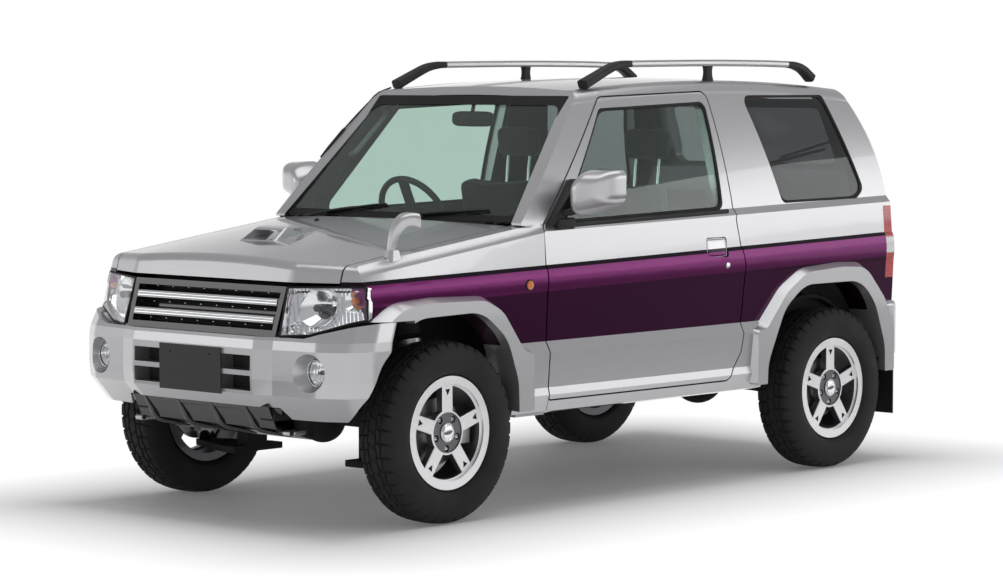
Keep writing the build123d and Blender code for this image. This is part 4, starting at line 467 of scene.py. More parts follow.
class Graph:
    """Adds linked nodes to one shader tree."""

    def __init__(self, tree: NodeTree) -> None:
        """Keeps the tree."""
        self.tree = tree

    def add(self, kind: str, settings: dict[str, object] | None = None, **feeds: object) -> Node:
        """One node.

        Args:
            kind: Its type, without the leading ShaderNode.
            settings: Its properties.
            **feeds: Values or sockets for its inputs, with _ for a space.

        Returns:
            The node.
        """
        node = self.tree.nodes.new("ShaderNode" + kind)
        for key, value in (settings or {}).items():
            setattr(node, key, value)
        for key, value in feeds.items():
            self.feed(node.inputs[key.replace("_", " ")], value)
        return node

    def feed(self, socket: Socket, value: object) -> None:
        """Links a socket, or sets its plain value.

        Args:
            socket: The input.
            value: Another node's output, or a plain value.
        """
        if isinstance(value, Socket):
            self.tree.links.new(value, socket)
        else:
            socket.default_value = value

    def math(self, operation: str, *values: object) -> Socket:
        """A Math node on up to three values.

        Args:
            operation: What the node does.
            *values: Sockets or numbers.

        Returns:
            The result.
        """
        node = self.add("Math", {"operation": operation})
        for socket, value in zip(node.inputs, values):
            self.feed(socket, value)
        return node.outputs[0]

    def mix(self, factor: object, low: object, high: object) -> Socket:
        """Colour between two, by a factor.

        Args:
            factor: From 0, the low colour, to 1, the high one.
            low: First colour.
            high: Second colour.

        Returns:
            The mixed colour.
        """
        node = self.add("Mix", {"data_type": "RGBA"})
        for index, value in ((0, factor), (6, low), (7, high)):
            plain = not isinstance(value, Socket) and index
            self.feed(node.inputs[index], (*value, 1.0) if plain and len(value) == 3 else value)
        return node.outputs[2]

    def remap(self, value: Socket, low: float, high: float, start: float = 0.0, end: float = 1.0) -> Socket:
        """A value's range stretched to another and held inside it."""
        node = self.add("MapRange", None, Value=value, From_Min=low, From_Max=high, To_Min=start, To_Max=end)
        return node.outputs[0]

    def between(self, mask: Socket, low: float, high: float) -> Socket:
        """A value that goes from low to high as a mask goes from 0 to 1."""
        return self.remap(mask, 0.0, 1.0, low, high)

    def blend(self, factor: Socket, first: Socket, second: Socket) -> Socket:
        """A mix of two shaders.

        Args:
            factor: From 0, the first shader, to 1, the second.
            first: First shader.
            second: Second shader.

        Returns:
            The mixed shader.
        """
        node = self.add("MixShader")
        for socket, value in zip(node.inputs, (factor, first, second)):
            self.feed(socket, value)
        return node.outputs[0]

    def noise(self, vector: Socket, scale: float, detail: float = 2.0) -> Socket:
        """Smooth noise from 0 to 1."""
        return self.add("TexNoise", None, Vector=vector, Scale=scale, Detail=detail).outputs[0]

    def place(self) -> Socket:
        """Object coordinates, which are the car's own metres."""
        return self.add("TexCoord").outputs["Object"]

    def axes(self, vector: Socket) -> list[Socket]:
        """X, Y and Z of a vector."""
        return list(self.add("SeparateXYZ", None, Vector=vector).outputs)

    def use(self, tree: NodeTree, **feeds: object) -> Node:
        """A shared node group, with its inputs fed.

        Args:
            tree: The group.
            **feeds: Values or sockets for its inputs, with _ for a space.

        Returns:
            The group's node.
        """
        node = self.tree.nodes.new("ShaderNodeGroup")
        node.node_tree = tree
        for key, value in feeds.items():
            self.feed(node.inputs[key.replace("_", " ")], value)
        return node


class Effect(Enum):
    """Shader node groups that several finishes share: group name, inputs and outputs."""

    GRAIN = ("surface_grain", ("Scale", "Patch Scale"), ("Shade", "Height"))
    FLAKE = ("paint_flake", ("Scale",), ("Fleck", "Peel"))
    GRIME = ("road_grime", ("Low", "High"), ("Mask",))
    # The band's Low output masks its part under the crease, where the purple is painted darker as painted
    # shade.
    BAND = ("side_band", ("Foot", "Head", "Stripe"), ("Band", "Line", "Low"))
    INWARD = ("inward_side", (), ("Mask",))
    UNDERSIDE = ("under_side", (), ("Mask",))
    TURNING = ("turning_marks", ("Scale",), ("Height",))
    PLATE = ("front_plate", (), ("Mask",))

    def tree(self) -> NodeTree:
        """The group, built at its first use.

        Returns:
            The node group, with its sockets and nodes.
        """
        name, takes, gives = self.value
        made = bpy.data.node_groups.get(name)
        if made:
            return made
        tree = bpy.data.node_groups.new(name, "ShaderNodeTree")
        tree.interface.new_socket(name="Vector", in_out="INPUT", socket_type="NodeSocketVector")
        for key in takes:
            tree.interface.new_socket(name=key, in_out="INPUT", socket_type="NodeSocketFloat")
        for key in gives:
            tree.interface.new_socket(name=key, in_out="OUTPUT", socket_type="NodeSocketFloat")
        graph = Graph(tree)
        source = tree.nodes.new("NodeGroupInput").outputs
        results = getattr(self, "make_" + name)(graph, source)
        target = tree.nodes.new("NodeGroupOutput").inputs
        for socket, value in zip(target, results):
            graph.feed(socket, value)
        return tree

    @staticmethod
    def make_surface_grain(graph: Graph, source: object) -> list[Socket]:
        """Broad patches for shade, fine cells for relief.

        Args:
            graph: The group's tree.
            source: The group's inputs.

        Returns:
            Shade and height.
        """
        patch = graph.noise(source["Vector"], source["Patch Scale"], 3.0)
        cells = graph.add("TexVoronoi", {"feature": "F1"}, Vector=source["Vector"], Scale=source["Scale"])
        fine = graph.noise(source["Vector"], source["Scale"], 4.0)
        return [patch, graph.math("MULTIPLY_ADD", cells.outputs["Distance"], 0.6, fine)]

    @staticmethod
    def make_paint_flake(graph: Graph, source: object) -> list[Socket]:
        """Metal flakes as random cells, and the long low waves of sprayed lacquer."""
        cells = graph.add("TexVoronoi", {"feature": "F1"}, Vector=source["Vector"], Scale=source["Scale"])
        fleck = graph.axes(cells.outputs["Color"])[0]
        return [fleck, graph.noise(source["Vector"], 260.0, 1.0)]

    @staticmethod
    def make_road_grime(graph: Graph, source: object) -> list[Socket]:
        """Dust that thins out from a low height to a high one, broken up by noise.

        Args:
            graph: The group's tree.
            source: The group's inputs.

        Returns:
            Mask.
        """
        height = graph.axes(source["Vector"])[2]
        rise = graph.add("MapRange", None, Value=height)
        graph.feed(rise.inputs["From Min"], source["High"])
        graph.feed(rise.inputs["From Max"], source["Low"])
        return [graph.math("MULTIPLY", rise.outputs[0], graph.noise(source["Vector"], 14.0, 5.0))]

    @staticmethod
    def make_side_band(graph: Graph, source: object) -> list[Socket]:
        """Band between two lines that climb towards the tail, with a stripe under the upper one.

        Args:
            graph: The group's tree.
            source: The group's inputs.

        Returns:
            Masks of the band, of its stripe and of its part under the crease, which takes a painted darker
            shade.
        """
        x, _, z = graph.axes(source["Vector"])
        ahead = graph.math("SUBTRACT", x, BAND_X)
        head = graph.math("MULTIPLY_ADD", ahead, BAND_HEAD_CLIMB, z)
        foot = graph.math("MULTIPLY_ADD", ahead, BAND_FOOT_CLIMB, z)
        below = graph.math("LESS_THAN", head, source["Head"])
        band = graph.math("MULTIPLY", below, graph.math("GREATER_THAN", foot, source["Foot"]))
        line = graph.math("MULTIPLY", below, graph.math("GREATER_THAN", head, source["Stripe"]))
        crease = graph.math("MULTIPLY_ADD", ahead, BAND_CREASE_CLIMB, z)
        # The last mask, under the crease, is where the band gets its painted shade.
        return [band, line, graph.remap(crease, BAND_CREASE + 0.003, BAND_CREASE - 0.003)]

    @staticmethod
    def make_inward_side(graph: Graph, source: object) -> list[Socket]:
        """One where a face looks towards the car's middle plane."""
        y = graph.axes(source["Vector"])[1]
        normal = graph.axes(graph.add("TexCoord").outputs["Normal"])[1]
        return [graph.math("LESS_THAN", graph.math("MULTIPLY", graph.math("SIGN", y), normal), -0.55)]

    @staticmethod
    def make_under_side(graph: Graph, source: object) -> list[Socket]:
        """One where a face looks down."""
        normal = graph.axes(graph.add("TexCoord").outputs["Normal"])[2]
        return [graph.math("LESS_THAN", normal, -0.5)]

    @staticmethod
    def make_front_plate(graph: Graph, source: object) -> list[Socket]:
        """One on the blank number plate that stands on the bumper.

        Args:
            graph: The group's tree.
            source: The group's inputs.

        Returns:
            Mask.
        """
        x, y, z = graph.axes(source["Vector"])
        wide = graph.math("LESS_THAN", graph.math("ABSOLUTE", y), PLATE_HALF_Y)
        rise = graph.math("ABSOLUTE", graph.math("SUBTRACT", z, PLATE_Z))
        inside = graph.math("MULTIPLY", wide, graph.math("LESS_THAN", rise, PLATE_HALF_Z))
        return [graph.math("MULTIPLY", inside, graph.math("GREATER_THAN", x, PLATE_X))]

    @staticmethod
    def make_turning_marks(graph: Graph, source: object) -> list[Socket]:
        """Fine rings round the wheel's axis, as a lathe leaves them.

        Args:
            graph: The group's tree.
            source: The group's inputs.

        Returns:
            Height.
        """
        x, _, z = graph.axes(source["Vector"])
        middle, half = (FRONT_AXLE_X + REAR_AXLE_X) / 2, (FRONT_AXLE_X - REAR_AXLE_X) / 2
        dx = graph.math("SUBTRACT", graph.math("ABSOLUTE", graph.math("SUBTRACT", x, middle)), half)
        dz = graph.math("SUBTRACT", z, AXLE_Z)
        squares = (graph.math("MULTIPLY", v, v) for v in (dx, dz))
        reach = graph.math("SQRT", graph.math("ADD", *squares))
        return [graph.math("SINE", graph.math("MULTIPLY", reach, source["Scale"]))]


class Lining(Enum):
    """Which faces of a painted panel carry the cabin's lining."""

    NONE = None
    INWARD = Effect.INWARD
    UNDERSIDE = Effect.UNDERSIDE


COAT_ROUGHNESS = 0.04
GLOSS_SPREAD = 0.18
BUMP_STRENGTH = 0.6
PLATE_HALF_Y, PLATE_HALF_Z, PLATE_Z, PLATE_X = 0.1656, 0.0831, 0.562, 1.6913
BAND_X = 0.551
BAND_HEAD_CLIMB = 0.02236
BAND_FOOT_CLIMB = 0.00456
BAND_CREASE_CLIMB = 0.0193
BAND_CREASE = 0.815


@dataclass(frozen=True)
class Finish:
    """A plain finish: colour, gloss, and a grain in its shade and relief."""

    name: str
    slot: str
    colour: Colour
    roughness: float
    metallic: float = 0.0
    coat: float = 0.0
    shade: float = 0.12
    grain: float = 900.0
    relief: float = 0.0001
    patch: float = 9.0
    specular: float = 0.5

    def material(self) -> Material:
        """The finish's material, made at its first use.

        Returns:
            The dressed material.
        """
        made = bpy.data.materials.get(self.name)
        if made:
            return made
        material = bpy.data.materials.new(self.name)
        material.use_nodes = True
        graph = Graph(material.node_tree)
        shader = material.node_tree.nodes["Principled BSDF"]
        plain = {"Metallic": self.metallic, "Roughness": self.roughness, "Coat Weight": self.coat,
                 "Coat Roughness": COAT_ROUGHNESS, "Specular IOR Level": self.specular}
        for key, value in plain.items():
            shader.inputs[key].default_value = value
        self.dress(graph, shader)
        return material

    def tones(self) -> tuple[Colour, Colour]:
        """The colour made darker and lighter by the shade."""
        dark, light = (tuple(c * (1 + k * self.shade) for c in self.colour) for k in (-1, 1))
        return dark, light

    def dress(self, graph: Graph, shader: Node) -> None:
        """Links the shade, the gloss and the relief to the shader.

        Args:
            graph: The material's tree.
            shader: Its Principled node.
        """
        grain = graph.use(Effect.GRAIN.tree(), Vector=graph.place(), Scale=self.grain, Patch_Scale=self.patch)
        graph.feed(shader.inputs["Base Color"], graph.mix(grain.outputs["Shade"], *self.tones()))
        spread = GLOSS_SPREAD * self.roughness
        low, high = self.roughness - spread, self.roughness + spread
        gloss = graph.remap(grain.outputs["Shade"], 0.2, 0.8, low, high)
        graph.feed(shader.inputs["Roughness"], gloss)
        self.emboss(graph, shader, grain.outputs["Height"])

    def emboss(self, graph: Graph, shader: Node, height: Socket) -> None:
        """Feeds a height to the shader's normal."""
        bump = graph.add("Bump", None, Strength=BUMP_STRENGTH, Distance=self.relief, Height=height)
        graph.feed(shader.inputs["Normal"], bump.outputs["Normal"])


@dataclass(frozen=True)
class BodyPaint(Finish):
    """Silver lacquer with metal flake; where a panel has them, band with painted shade under its crease,
    lining, plate, sill dust.

    A gloss is the metallic, the roughness and the coat of one layer.
    """

    banded: bool = False
    plated: bool = False
    lined: Lining = Lining.NONE
    band_colour: Colour = (0.165, 0.016, 0.122)
    # A darker purple painted under the crease: painted shade standing for the darker reflection there.
    band_painted_shade: Colour = (0.052, 0.004, 0.040)
    stripe_colour: Colour = (0.012, 0.004, 0.012)
    lining_colour: Colour = (0.055, 0.056, 0.058)
    lining_roughness: float = 0.62
    plate_colour: Colour = (0.016, 0.016, 0.017)
    dust_colour: Colour = (0.2, 0.19, 0.18)
    band_gloss: tuple[float, float, float] = (0.95, 0.32, 0.22)
    plate_gloss: tuple[float, float, float] = (0.0, 0.45, 0.0)
    band_z: tuple[float, float, float] = (0.6275, 0.911, 0.897)
    dust_z: Pair = (0.25, 0.55)
    flake: float = 2600.0

    def dress(self, graph: Graph, shader: Node) -> None:
        """Layers flake, band, lining and dust into one lacquer.

        Args:
            graph: The material's tree.
            shader: Its Principled node.
        """
        place = graph.place()
        flake = graph.use(Effect.FLAKE.tree(), Vector=place, Scale=self.flake)
        colour = graph.mix(flake.outputs["Fleck"], *self.tones())
        gloss = self.metallic, self.roughness, self.coat
        metal, rough, coat = gloss
        if self.banded:
            foot, head, stripe = self.band_z
            band = graph.use(Effect.BAND.tree(), Vector=place, Foot=foot, Head=head, Stripe=stripe)
            # Painted shade: under the crease the band's purple turns darker.
            purple = graph.mix(band.outputs["Low"], self.band_colour, self.band_painted_shade)
            purple = graph.mix(graph.between(flake.outputs["Fleck"], 0.0, 0.3), purple, self.stripe_colour)
            colour = graph.mix(band.outputs["Band"], colour, purple)
            colour = graph.mix(band.outputs["Line"], colour, self.stripe_colour)
            pairs = zip(gloss, self.band_gloss)
            metal, rough, coat = (graph.between(band.outputs["Band"], *pair) for pair in pairs)
        grime = graph.use(Effect.GRIME.tree(), Vector=place, Low=self.dust_z[0], High=self.dust_z[1])
        colour = graph.mix(graph.between(grime.outputs["Mask"], 0.0, 0.25), colour, self.dust_colour)
        if self.lined is not Lining.NONE:
            lining = graph.use(self.lined.value.tree(), Vector=place).outputs["Mask"]
            colour = graph.mix(lining, colour, self.lining_colour)
            outside = graph.math("SUBTRACT", 1.0, lining)
            metal = graph.math("MULTIPLY", outside, metal)
            rough = graph.math("MAXIMUM", rough, graph.math("MULTIPLY", lining, self.lining_roughness))
            coat = graph.math("MULTIPLY", outside, coat)
        if self.plated:
            plate = graph.use(Effect.PLATE.tree(), Vector=place).outputs["Mask"]
            colour = graph.mix(plate, colour, self.plate_colour)
            metal, rough, coat = (graph.between(plate, *pair) for pair in zip(gloss, self.plate_gloss))
        if isinstance(coat, Socket):
            graph.feed(shader.inputs["Coat Weight"], coat)
        graph.feed(shader.inputs["Base Color"], colour)
        graph.feed(shader.inputs["Metallic"], metal)
        graph.feed(shader.inputs["Roughness"], rough)
        self.emboss(graph, shader, flake.outputs["Peel"])


@dataclass(frozen=True)
class Glass(Finish):
    """A pane or clear lens that lets lamps light what is behind it."""

    tint: Colour = (0.9, 0.9, 0.9)
    bending: float = 1.45
    smears: float = 6.0

    def dress(self, graph: Graph, shader: Node) -> None:
        """A refracting shader, clear to rays from lamps, with faint smears in its gloss.

        Args:
            graph: The material's tree.
            shader: Its Principled node.
        """
        shader.inputs["Base Color"].default_value = (*self.colour, 1.0)
        shader.inputs["Transmission Weight"].default_value = 1.0
        shader.inputs["IOR"].default_value = self.bending
        smear = graph.noise(graph.place(), self.smears, 4.0)
        graph.feed(shader.inputs["Roughness"], graph.remap(smear, 0.3, 0.8, 0.0, self.roughness))
        path = graph.add("LightPath")
        clear = graph.add("BsdfTransparent", None, Color=(*self.tint, 1.0))
        both = graph.blend(path.outputs["Is Shadow Ray"], shader.outputs[0], clear.outputs[0])
        graph.feed(graph.tree.nodes["Material Output"].inputs["Surface"], both)


@dataclass(frozen=True)
class MachinedAlloy(Finish):
    """Bright turned alloy, with a darker paint in the pockets nearer the car than a cut."""

    pocket: Colour = (0.16, 0.16, 0.17)
    pocket_roughness: float = 0.38
    pocket_metallic: float = 0.8
    cut: float = 0.7035
    marks: float = 9000.0

    def dress(self, graph: Graph, shader: Node) -> None:
        """Masks the pockets by their place across the car and rings the rest with turning marks.

        Args:
            graph: The material's tree.
            shader: Its Principled node.
        """
        place = graph.place()
        mask = graph.math("LESS_THAN", graph.math("ABSOLUTE", graph.axes(place)[1]), self.cut)
        grain = graph.use(Effect.GRAIN.tree(), Vector=place, Scale=self.grain, Patch_Scale=self.patch)
        colour = graph.mix(grain.outputs["Shade"], *self.tones())
        graph.feed(shader.inputs["Base Color"], graph.mix(mask, colour, self.pocket))
        graph.feed(shader.inputs["Metallic"], graph.between(mask, self.metallic, self.pocket_metallic))
        graph.feed(shader.inputs["Roughness"], graph.between(mask, self.roughness, self.pocket_roughness))
        rings = graph.use(Effect.TURNING.tree(), Vector=place, Scale=self.marks)
        self.emboss(graph, shader, rings.outputs["Height"])


@dataclass(frozen=True)
class Cloth(Finish):
    """Woven cloth: two sets of crossed threads in relief, with a soft sheen."""

    thread: float = 0.0016
    sheen: float = 0.35
    sheen_roughness: float = 0.5

    def dress(self, graph: Graph, shader: Node) -> None:
        """Weaves threads from the sines of two crossed directions.

        Args:
            graph: The material's tree.
            shader: Its Principled node.
        """
        place = graph.place()
        x, y, z = graph.axes(place)
        pitch = 2 * math.pi / self.thread
        warp = graph.math("SINE", graph.math("MULTIPLY", y, pitch))
        weft = graph.math("SINE", graph.math("MULTIPLY", graph.math("ADD", x, z), pitch))
        weave = graph.math("MULTIPLY", warp, weft)
        patch = graph.noise(place, self.patch, 4.0)
        dark, light = self.tones()
        colour = graph.mix(graph.remap(weave, -1.0, 1.0), dark, light)
        worn = graph.mix(graph.remap(patch, 0.3, 0.7, 0.0, 0.3), colour, dark)
        graph.feed(shader.inputs["Base Color"], worn)
        shader.inputs["Sheen Weight"].default_value = self.sheen
        shader.inputs["Sheen Roughness"].default_value = self.sheen_roughness
        self.emboss(graph, shader, weave)


@dataclass(frozen=True)
class Glow(Finish):
    """A coloured lens with moulded flutes, painted darker in their grooves and given a faint painted glow."""

    flute: float = 0.008
    # glow: strength of a painted glow; depth: how dark the painted shade in the flute grooves goes.
    glow: float = 0.06
    depth: float = 0.55
    clear_z: Pair | None = None
    clear_colour: Colour = (0.62, 0.60, 0.60)

    def dress(self, graph: Graph, shader: Node) -> None:
        """Flutes across the lens from a sine, under a clear coat, with painted shade in their grooves and a
        painted glow.

        Args:
            graph: The material's tree.
            shader: Its Principled node.
        """
        place = graph.place()
        _, y, z = graph.axes(place)
        wave = graph.math("SINE", graph.math("MULTIPLY", z, 2 * math.pi / self.flute))
        cross = graph.math("SINE", graph.math("MULTIPLY", y, 2 * math.pi / self.flute))
        height = graph.math("ADD", wave, cross)
        # Painted shade: the colour falls to the depth share of itself in the flute grooves.
        deep = tuple(c * self.depth for c in self.colour)
        colour = graph.mix(graph.remap(height, -2.0, 2.0), deep, self.colour)
        if self.clear_z:
            above = graph.math("GREATER_THAN", z, self.clear_z[0])
            inside = graph.math("MULTIPLY", above, graph.math("LESS_THAN", z, self.clear_z[1]))
            colour = graph.mix(inside, colour, self.clear_colour)
        graph.feed(shader.inputs["Base Color"], colour)
        # Painted glow: the lens gives off a little of its own colour, though no lamp lights it.
        graph.feed(shader.inputs["Emission Color"], colour)
        shader.inputs["Emission Strength"].default_value = self.glow
        self.emboss(graph, shader, height)


SILVER = (0.52, 0.52, 0.535)
PAINT = BodyPaint("silver_lacquer", "silver_paint", SILVER, 0.34, 0.82, 1.0, shade=0.14, relief=0.00004)
PANEL_PAINT = replace(PAINT, name="silver_and_purple_lacquer", banded=True, lined=Lining.INWARD)
BUMPER_PAINT = replace(PAINT, name="silver_bumper_lacquer", plated=True)
ROOF_PAINT = replace(PAINT, name="silver_roof_lacquer", lined=Lining.UNDERSIDE,
                     lining_colour=(0.30, 0.30, 0.29))
HANDLE_PAINT = replace(PAINT, name="handle_lacquer", roughness=0.30, metallic=0.85, relief=0.00003,
                       banded=True)
GREEN_GLASS = Glass("green_window_glass", "window_glass", (0.66, 0.79, 0.73), 0.02, tint=(0.62, 0.74, 0.69))
DARK_GLASS = Glass("privacy_glass", "window_glass", (0.20, 0.21, 0.22), 0.02, tint=(0.12, 0.125, 0.13))
CLEAR_LENS = Glass("clear_lamp_lens", "lamp_clear", (0.96, 0.97, 0.98), 0.01, tint=(0.94, 0.95, 0.96))
RUBBER = Finish("tyre_rubber_black", "tyre_rubber", (0.014, 0.014, 0.015), 0.72, shade=0.25, grain=700.0,
                specular=0.3)
SEAL = Finish("seal_rubber", "black_plastic", (0.008, 0.008, 0.009), 0.55, grain=1200.0, relief=0.00003,
              specular=0.25)
WHEEL_ALLOY = MachinedAlloy("machined_alloy", "alloy", (0.84, 0.84, 0.85), 0.36, 1.0, shade=0.04,
                            relief=0.00002)
REFLECTOR = Finish("lamp_reflector", "bare_metal", (0.90, 0.90, 0.91), 0.09, 1.0, shade=0.03, grain=300.0,
                   relief=0.00001)
SHIELD = Finish("lamp_bulb_shield", "bare_metal", (0.10, 0.10, 0.105), 0.25, 0.9, shade=0.1, grain=300.0,
                relief=0.00001)
MIRROR_GLASS = Finish("mirror_silvering", "window_glass", (0.80, 0.82, 0.83), 0.03, 1.0, shade=0.02,
                      grain=200.0, relief=0.0)
CHROME = Finish("bright_chrome", "bare_metal", (0.82, 0.83, 0.84), 0.08, 1.0, shade=0.03, grain=400.0,
                relief=0.00001)
STEEL = Finish("brushed_steel", "bare_metal", (0.42, 0.41, 0.40), 0.38, 1.0, shade=0.2, grain=500.0,
               patch=30.0)
EXHAUST = Finish("heat_stained_steel", "exhaust_steel", (0.33, 0.29, 0.25), 0.42, 1.0, shade=0.35, patch=18.0)
UNDERSEAL = Finish("stone_chip_underseal", "underbody_paint", (0.018, 0.018, 0.019), 0.78, shade=0.3,
                   grain=260.0, relief=0.0006, specular=0.25)
BLACK_PLASTIC = Finish("grained_black_plastic", "black_plastic", (0.013, 0.013, 0.014), 0.5, grain=1400.0,
                       relief=0.00012, specular=0.3)
CARD_CLOTH = Finish("grey_card_cloth", "", (0.20, 0.20, 0.205), 0.9)
GLOSS_BLACK = Finish("gloss_black_plastic", "black_plastic", (0.010, 0.010, 0.011), 0.12, coat=0.6,
                     grain=300.0, relief=0.00001)
CABIN = Finish("grained_cabin_plastic", "cabin_plastic", (0.040, 0.041, 0.043), 0.58, grain=1100.0,
               relief=0.00015)
SEAT_CLOTH = Cloth("woven_seat_cloth", "seat_cloth", (0.050, 0.051, 0.055), 0.85, shade=0.45, relief=0.0004)
RED_LENS = Glow("red_lamp_lens", "lamp_red", (0.55, 0.012, 0.016), 0.12, coat=1.0, relief=0.0008)
TAIL_LENS = Glow("tail_lamp_lens", "lamp_red", (0.50, 0.012, 0.016), 0.12, coat=1.0, relief=0.0008,
                 clear_z=(0.872, 0.938))
AMBER_LENS = Glow("amber_lamp_lens", "lamp_clear", (0.85, 0.22, 0.02), 0.12, coat=1.0, relief=0.0005,
                  flute=0.005)
RAIL_SATIN = Finish("rail_satin_alloy", "alloy", (0.46, 0.46, 0.47), 0.34, 1.0, shade=0.05, grain=500.0,
                    relief=0.0)
GRAB_GREY = Finish("grab_bar_grey", "cabin_plastic", (0.30, 0.30, 0.29), 0.5, grain=1100.0, relief=0.0001)


# Studio


@dataclass
class Studio:
    """Camera at the photograph's angle, soft lamps, a white world and a pale floor."""

    camera_at: Point = (9.243, 8.524, 1.596)
    azimuth: float = 42.82
    elevation: float = 3.84
    lens: float = 113.3
    floor_radius: float = 60.0
    footprint: Pair = (1.65, 0.70)
    floor_fade: Pair = (-0.05, 0.80)
    cards: tuple[tuple[float, float, float, float], ...] = ((-9.0, 0.9, 2.0, 7.5), (2.9, 9.0, -7.0, -0.2))
    lamps: tuple[tuple[str, Point, Point, Pair, float], ...] = (
        ("overhead_box", (0.2, 0.8, 5.0), (0.0, 0.0, 0.6), (7.0, 3.4), 1.35),
        ("front_box", (6.0, -3.6, 2.2), (1.4, 0.0, 0.7), (4.0, 1.6), 1.25),
        ("side_panel", (-5.0, 5.9, 2.1), (-0.2, 0.7, 0.9), (8.0, 1.6), 1.5),
    )

    def build(self) -> None:
        """Makes the camera, the lamps, the world, the floor and the cards."""
        scene = bpy.context.scene
        scene.view_settings.view_transform = "Standard"
        camera = bpy.data.objects.new("photo_camera", bpy.data.cameras.new("photo_camera"))
        camera.data.sensor_fit = "HORIZONTAL"
        camera.data.lens = self.lens
        az, el = math.radians(self.azimuth), math.radians(self.elevation)
        back = (math.cos(el) * math.cos(az), math.cos(el) * math.sin(az), math.sin(el))
        self.aim(camera, self.camera_at, back)
        scene.camera = camera
        for name, at, target, size, level in self.lamps:
            lamp = bpy.data.lights.new(name, "AREA")
            lamp.shape = "RECTANGLE"
            lamp.size, lamp.size_y = size
            lamp.energy = level * math.pi * size[0] * size[1]
            self.aim(bpy.data.objects.new(name, lamp), at, tuple(np.subtract(at, target)))
        self.world(scene)
        self.floor()
        for number, edges in enumerate(self.cards):
            self.card(f"grey_card_{number}", edges)

    @staticmethod
    def aim(thing: Object, at: Point, back: Point) -> None:
        """Puts a camera or lamp in place with its back along a direction.

        Args:
            thing: The camera or lamp.
            at: Its place.
            back: Direction away from what it sees.
        """
        z = unit(np.array(back))
        x = unit(np.cross(UP, z)) if abs(z[2]) < 0.999 else np.array([0.0, 1.0, 0.0])
        turn = np.eye(4)
        turn[:3, :3] = np.stack([x, np.cross(z, x), z], axis=1)
        turn[:3, 3] = at
        thing.matrix_world = turn.T
        bpy.context.scene.collection.objects.link(thing)

    @staticmethod
    def world(scene: Scene) -> None:
        """White round the horizon and greyer overhead, softer for plain light than for what is seen.

        Args:
            scene: The scene that gets the world.
        """
        world = bpy.data.worlds.new("studio")
        scene.world = world
        world.use_nodes = True
        graph = Graph(world.node_tree)
        height = graph.axes(graph.add("TexCoord").outputs["Generated"])[2]
        sky = graph.mix(graph.remap(height, 0.035, 0.30), (1.0, 1.0, 1.0), (0.42, 0.42, 0.43))
        path = graph.add("LightPath")
        seen = graph.math("MAXIMUM", path.outputs["Is Camera Ray"], path.outputs["Is Glossy Ray"])
        seen = graph.math("MAXIMUM", seen, path.outputs["Is Transmission Ray"])
        back = world.node_tree.nodes["Background"]
        graph.feed(back.inputs["Color"], sky)
        graph.feed(back.inputs["Strength"], graph.between(seen, 0.5, 1.0))

    @staticmethod
    def card(name: str, edges: tuple[float, float, float, float]) -> None:
        """A grey cloth on the floor, out of the picture, whose reflection models the lower panels.

        Args:
            name: The card's name.
            edges: Lowest and highest X, then lowest and highest Y.
        """
        x, y = np.meshgrid(np.linspace(*edges[:2], 8), np.linspace(*edges[2:], 8), indexing="ij")
        sheet = Shape.grid(xyz(x, y, 0.004))
        card = placed(name, sheet.mesh(name))
        card.visible_camera = card.visible_diffuse = card.visible_shadow = False
        card.data.materials.append(CARD_CLOTH.material())

    def floor(self) -> None:
        """Pale disc that keeps the shadow near the car, is plain white further off and clear from below."""
        radius = np.concatenate([[0.0], np.geomspace(1.0, self.floor_radius, 24)])
        angle = np.linspace(0, 2 * np.pi, 64, endpoint=False)
        grid = xyz(np.outer(np.cos(angle), radius), np.outer(np.sin(angle), radius), 0.0)
        disc = Shape.grid(grid, wrap_u=True)
        mesh = disc.mesh("studio_floor")
        weld(mesh)
        if mesh.polygons[0].normal.z < 0:
            mesh.flip_normals()
        placed("studio_floor", mesh)
        material = bpy.data.materials.new("pale_floor")
        material.use_nodes = True
        graph = Graph(material.node_tree)
        shader = material.node_tree.nodes["Principled BSDF"]
        shader.inputs["Roughness"].default_value = 0.6
        place = graph.place()
        shader_colour = graph.mix(graph.noise(place, 3.0), (0.90, 0.90, 0.90), (0.92, 0.92, 0.92))
        graph.feed(shader.inputs["Base Color"], shader_colour)
        glow = graph.add("Emission", None, Color=(1.0, 1.0, 1.0, 1.0), Strength=1.0)
        x, y, _ = graph.axes(place)
        past = [graph.math("MAXIMUM", graph.math("SUBTRACT", graph.math("ABSOLUTE", v), half), 0.0)
                for v, half in zip((x, y), self.footprint)]
        reach = graph.math("SQRT", graph.math("ADD", *(graph.math("MULTIPLY", v, v) for v in past)))
        fade = graph.math("POWER", graph.remap(reach, *self.floor_fade), 0.8)
        above = graph.blend(fade, shader.outputs[0], glow.outputs[0])
        backface = graph.add("NewGeometry").outputs["Backfacing"]
        both = graph.blend(backface, above, graph.add("BsdfTransparent").outputs[0])
        graph.feed(material.node_tree.nodes["Material Output"].inputs["Surface"], both)
        mesh.materials.append(material)


# Finishes of the CAD nodes

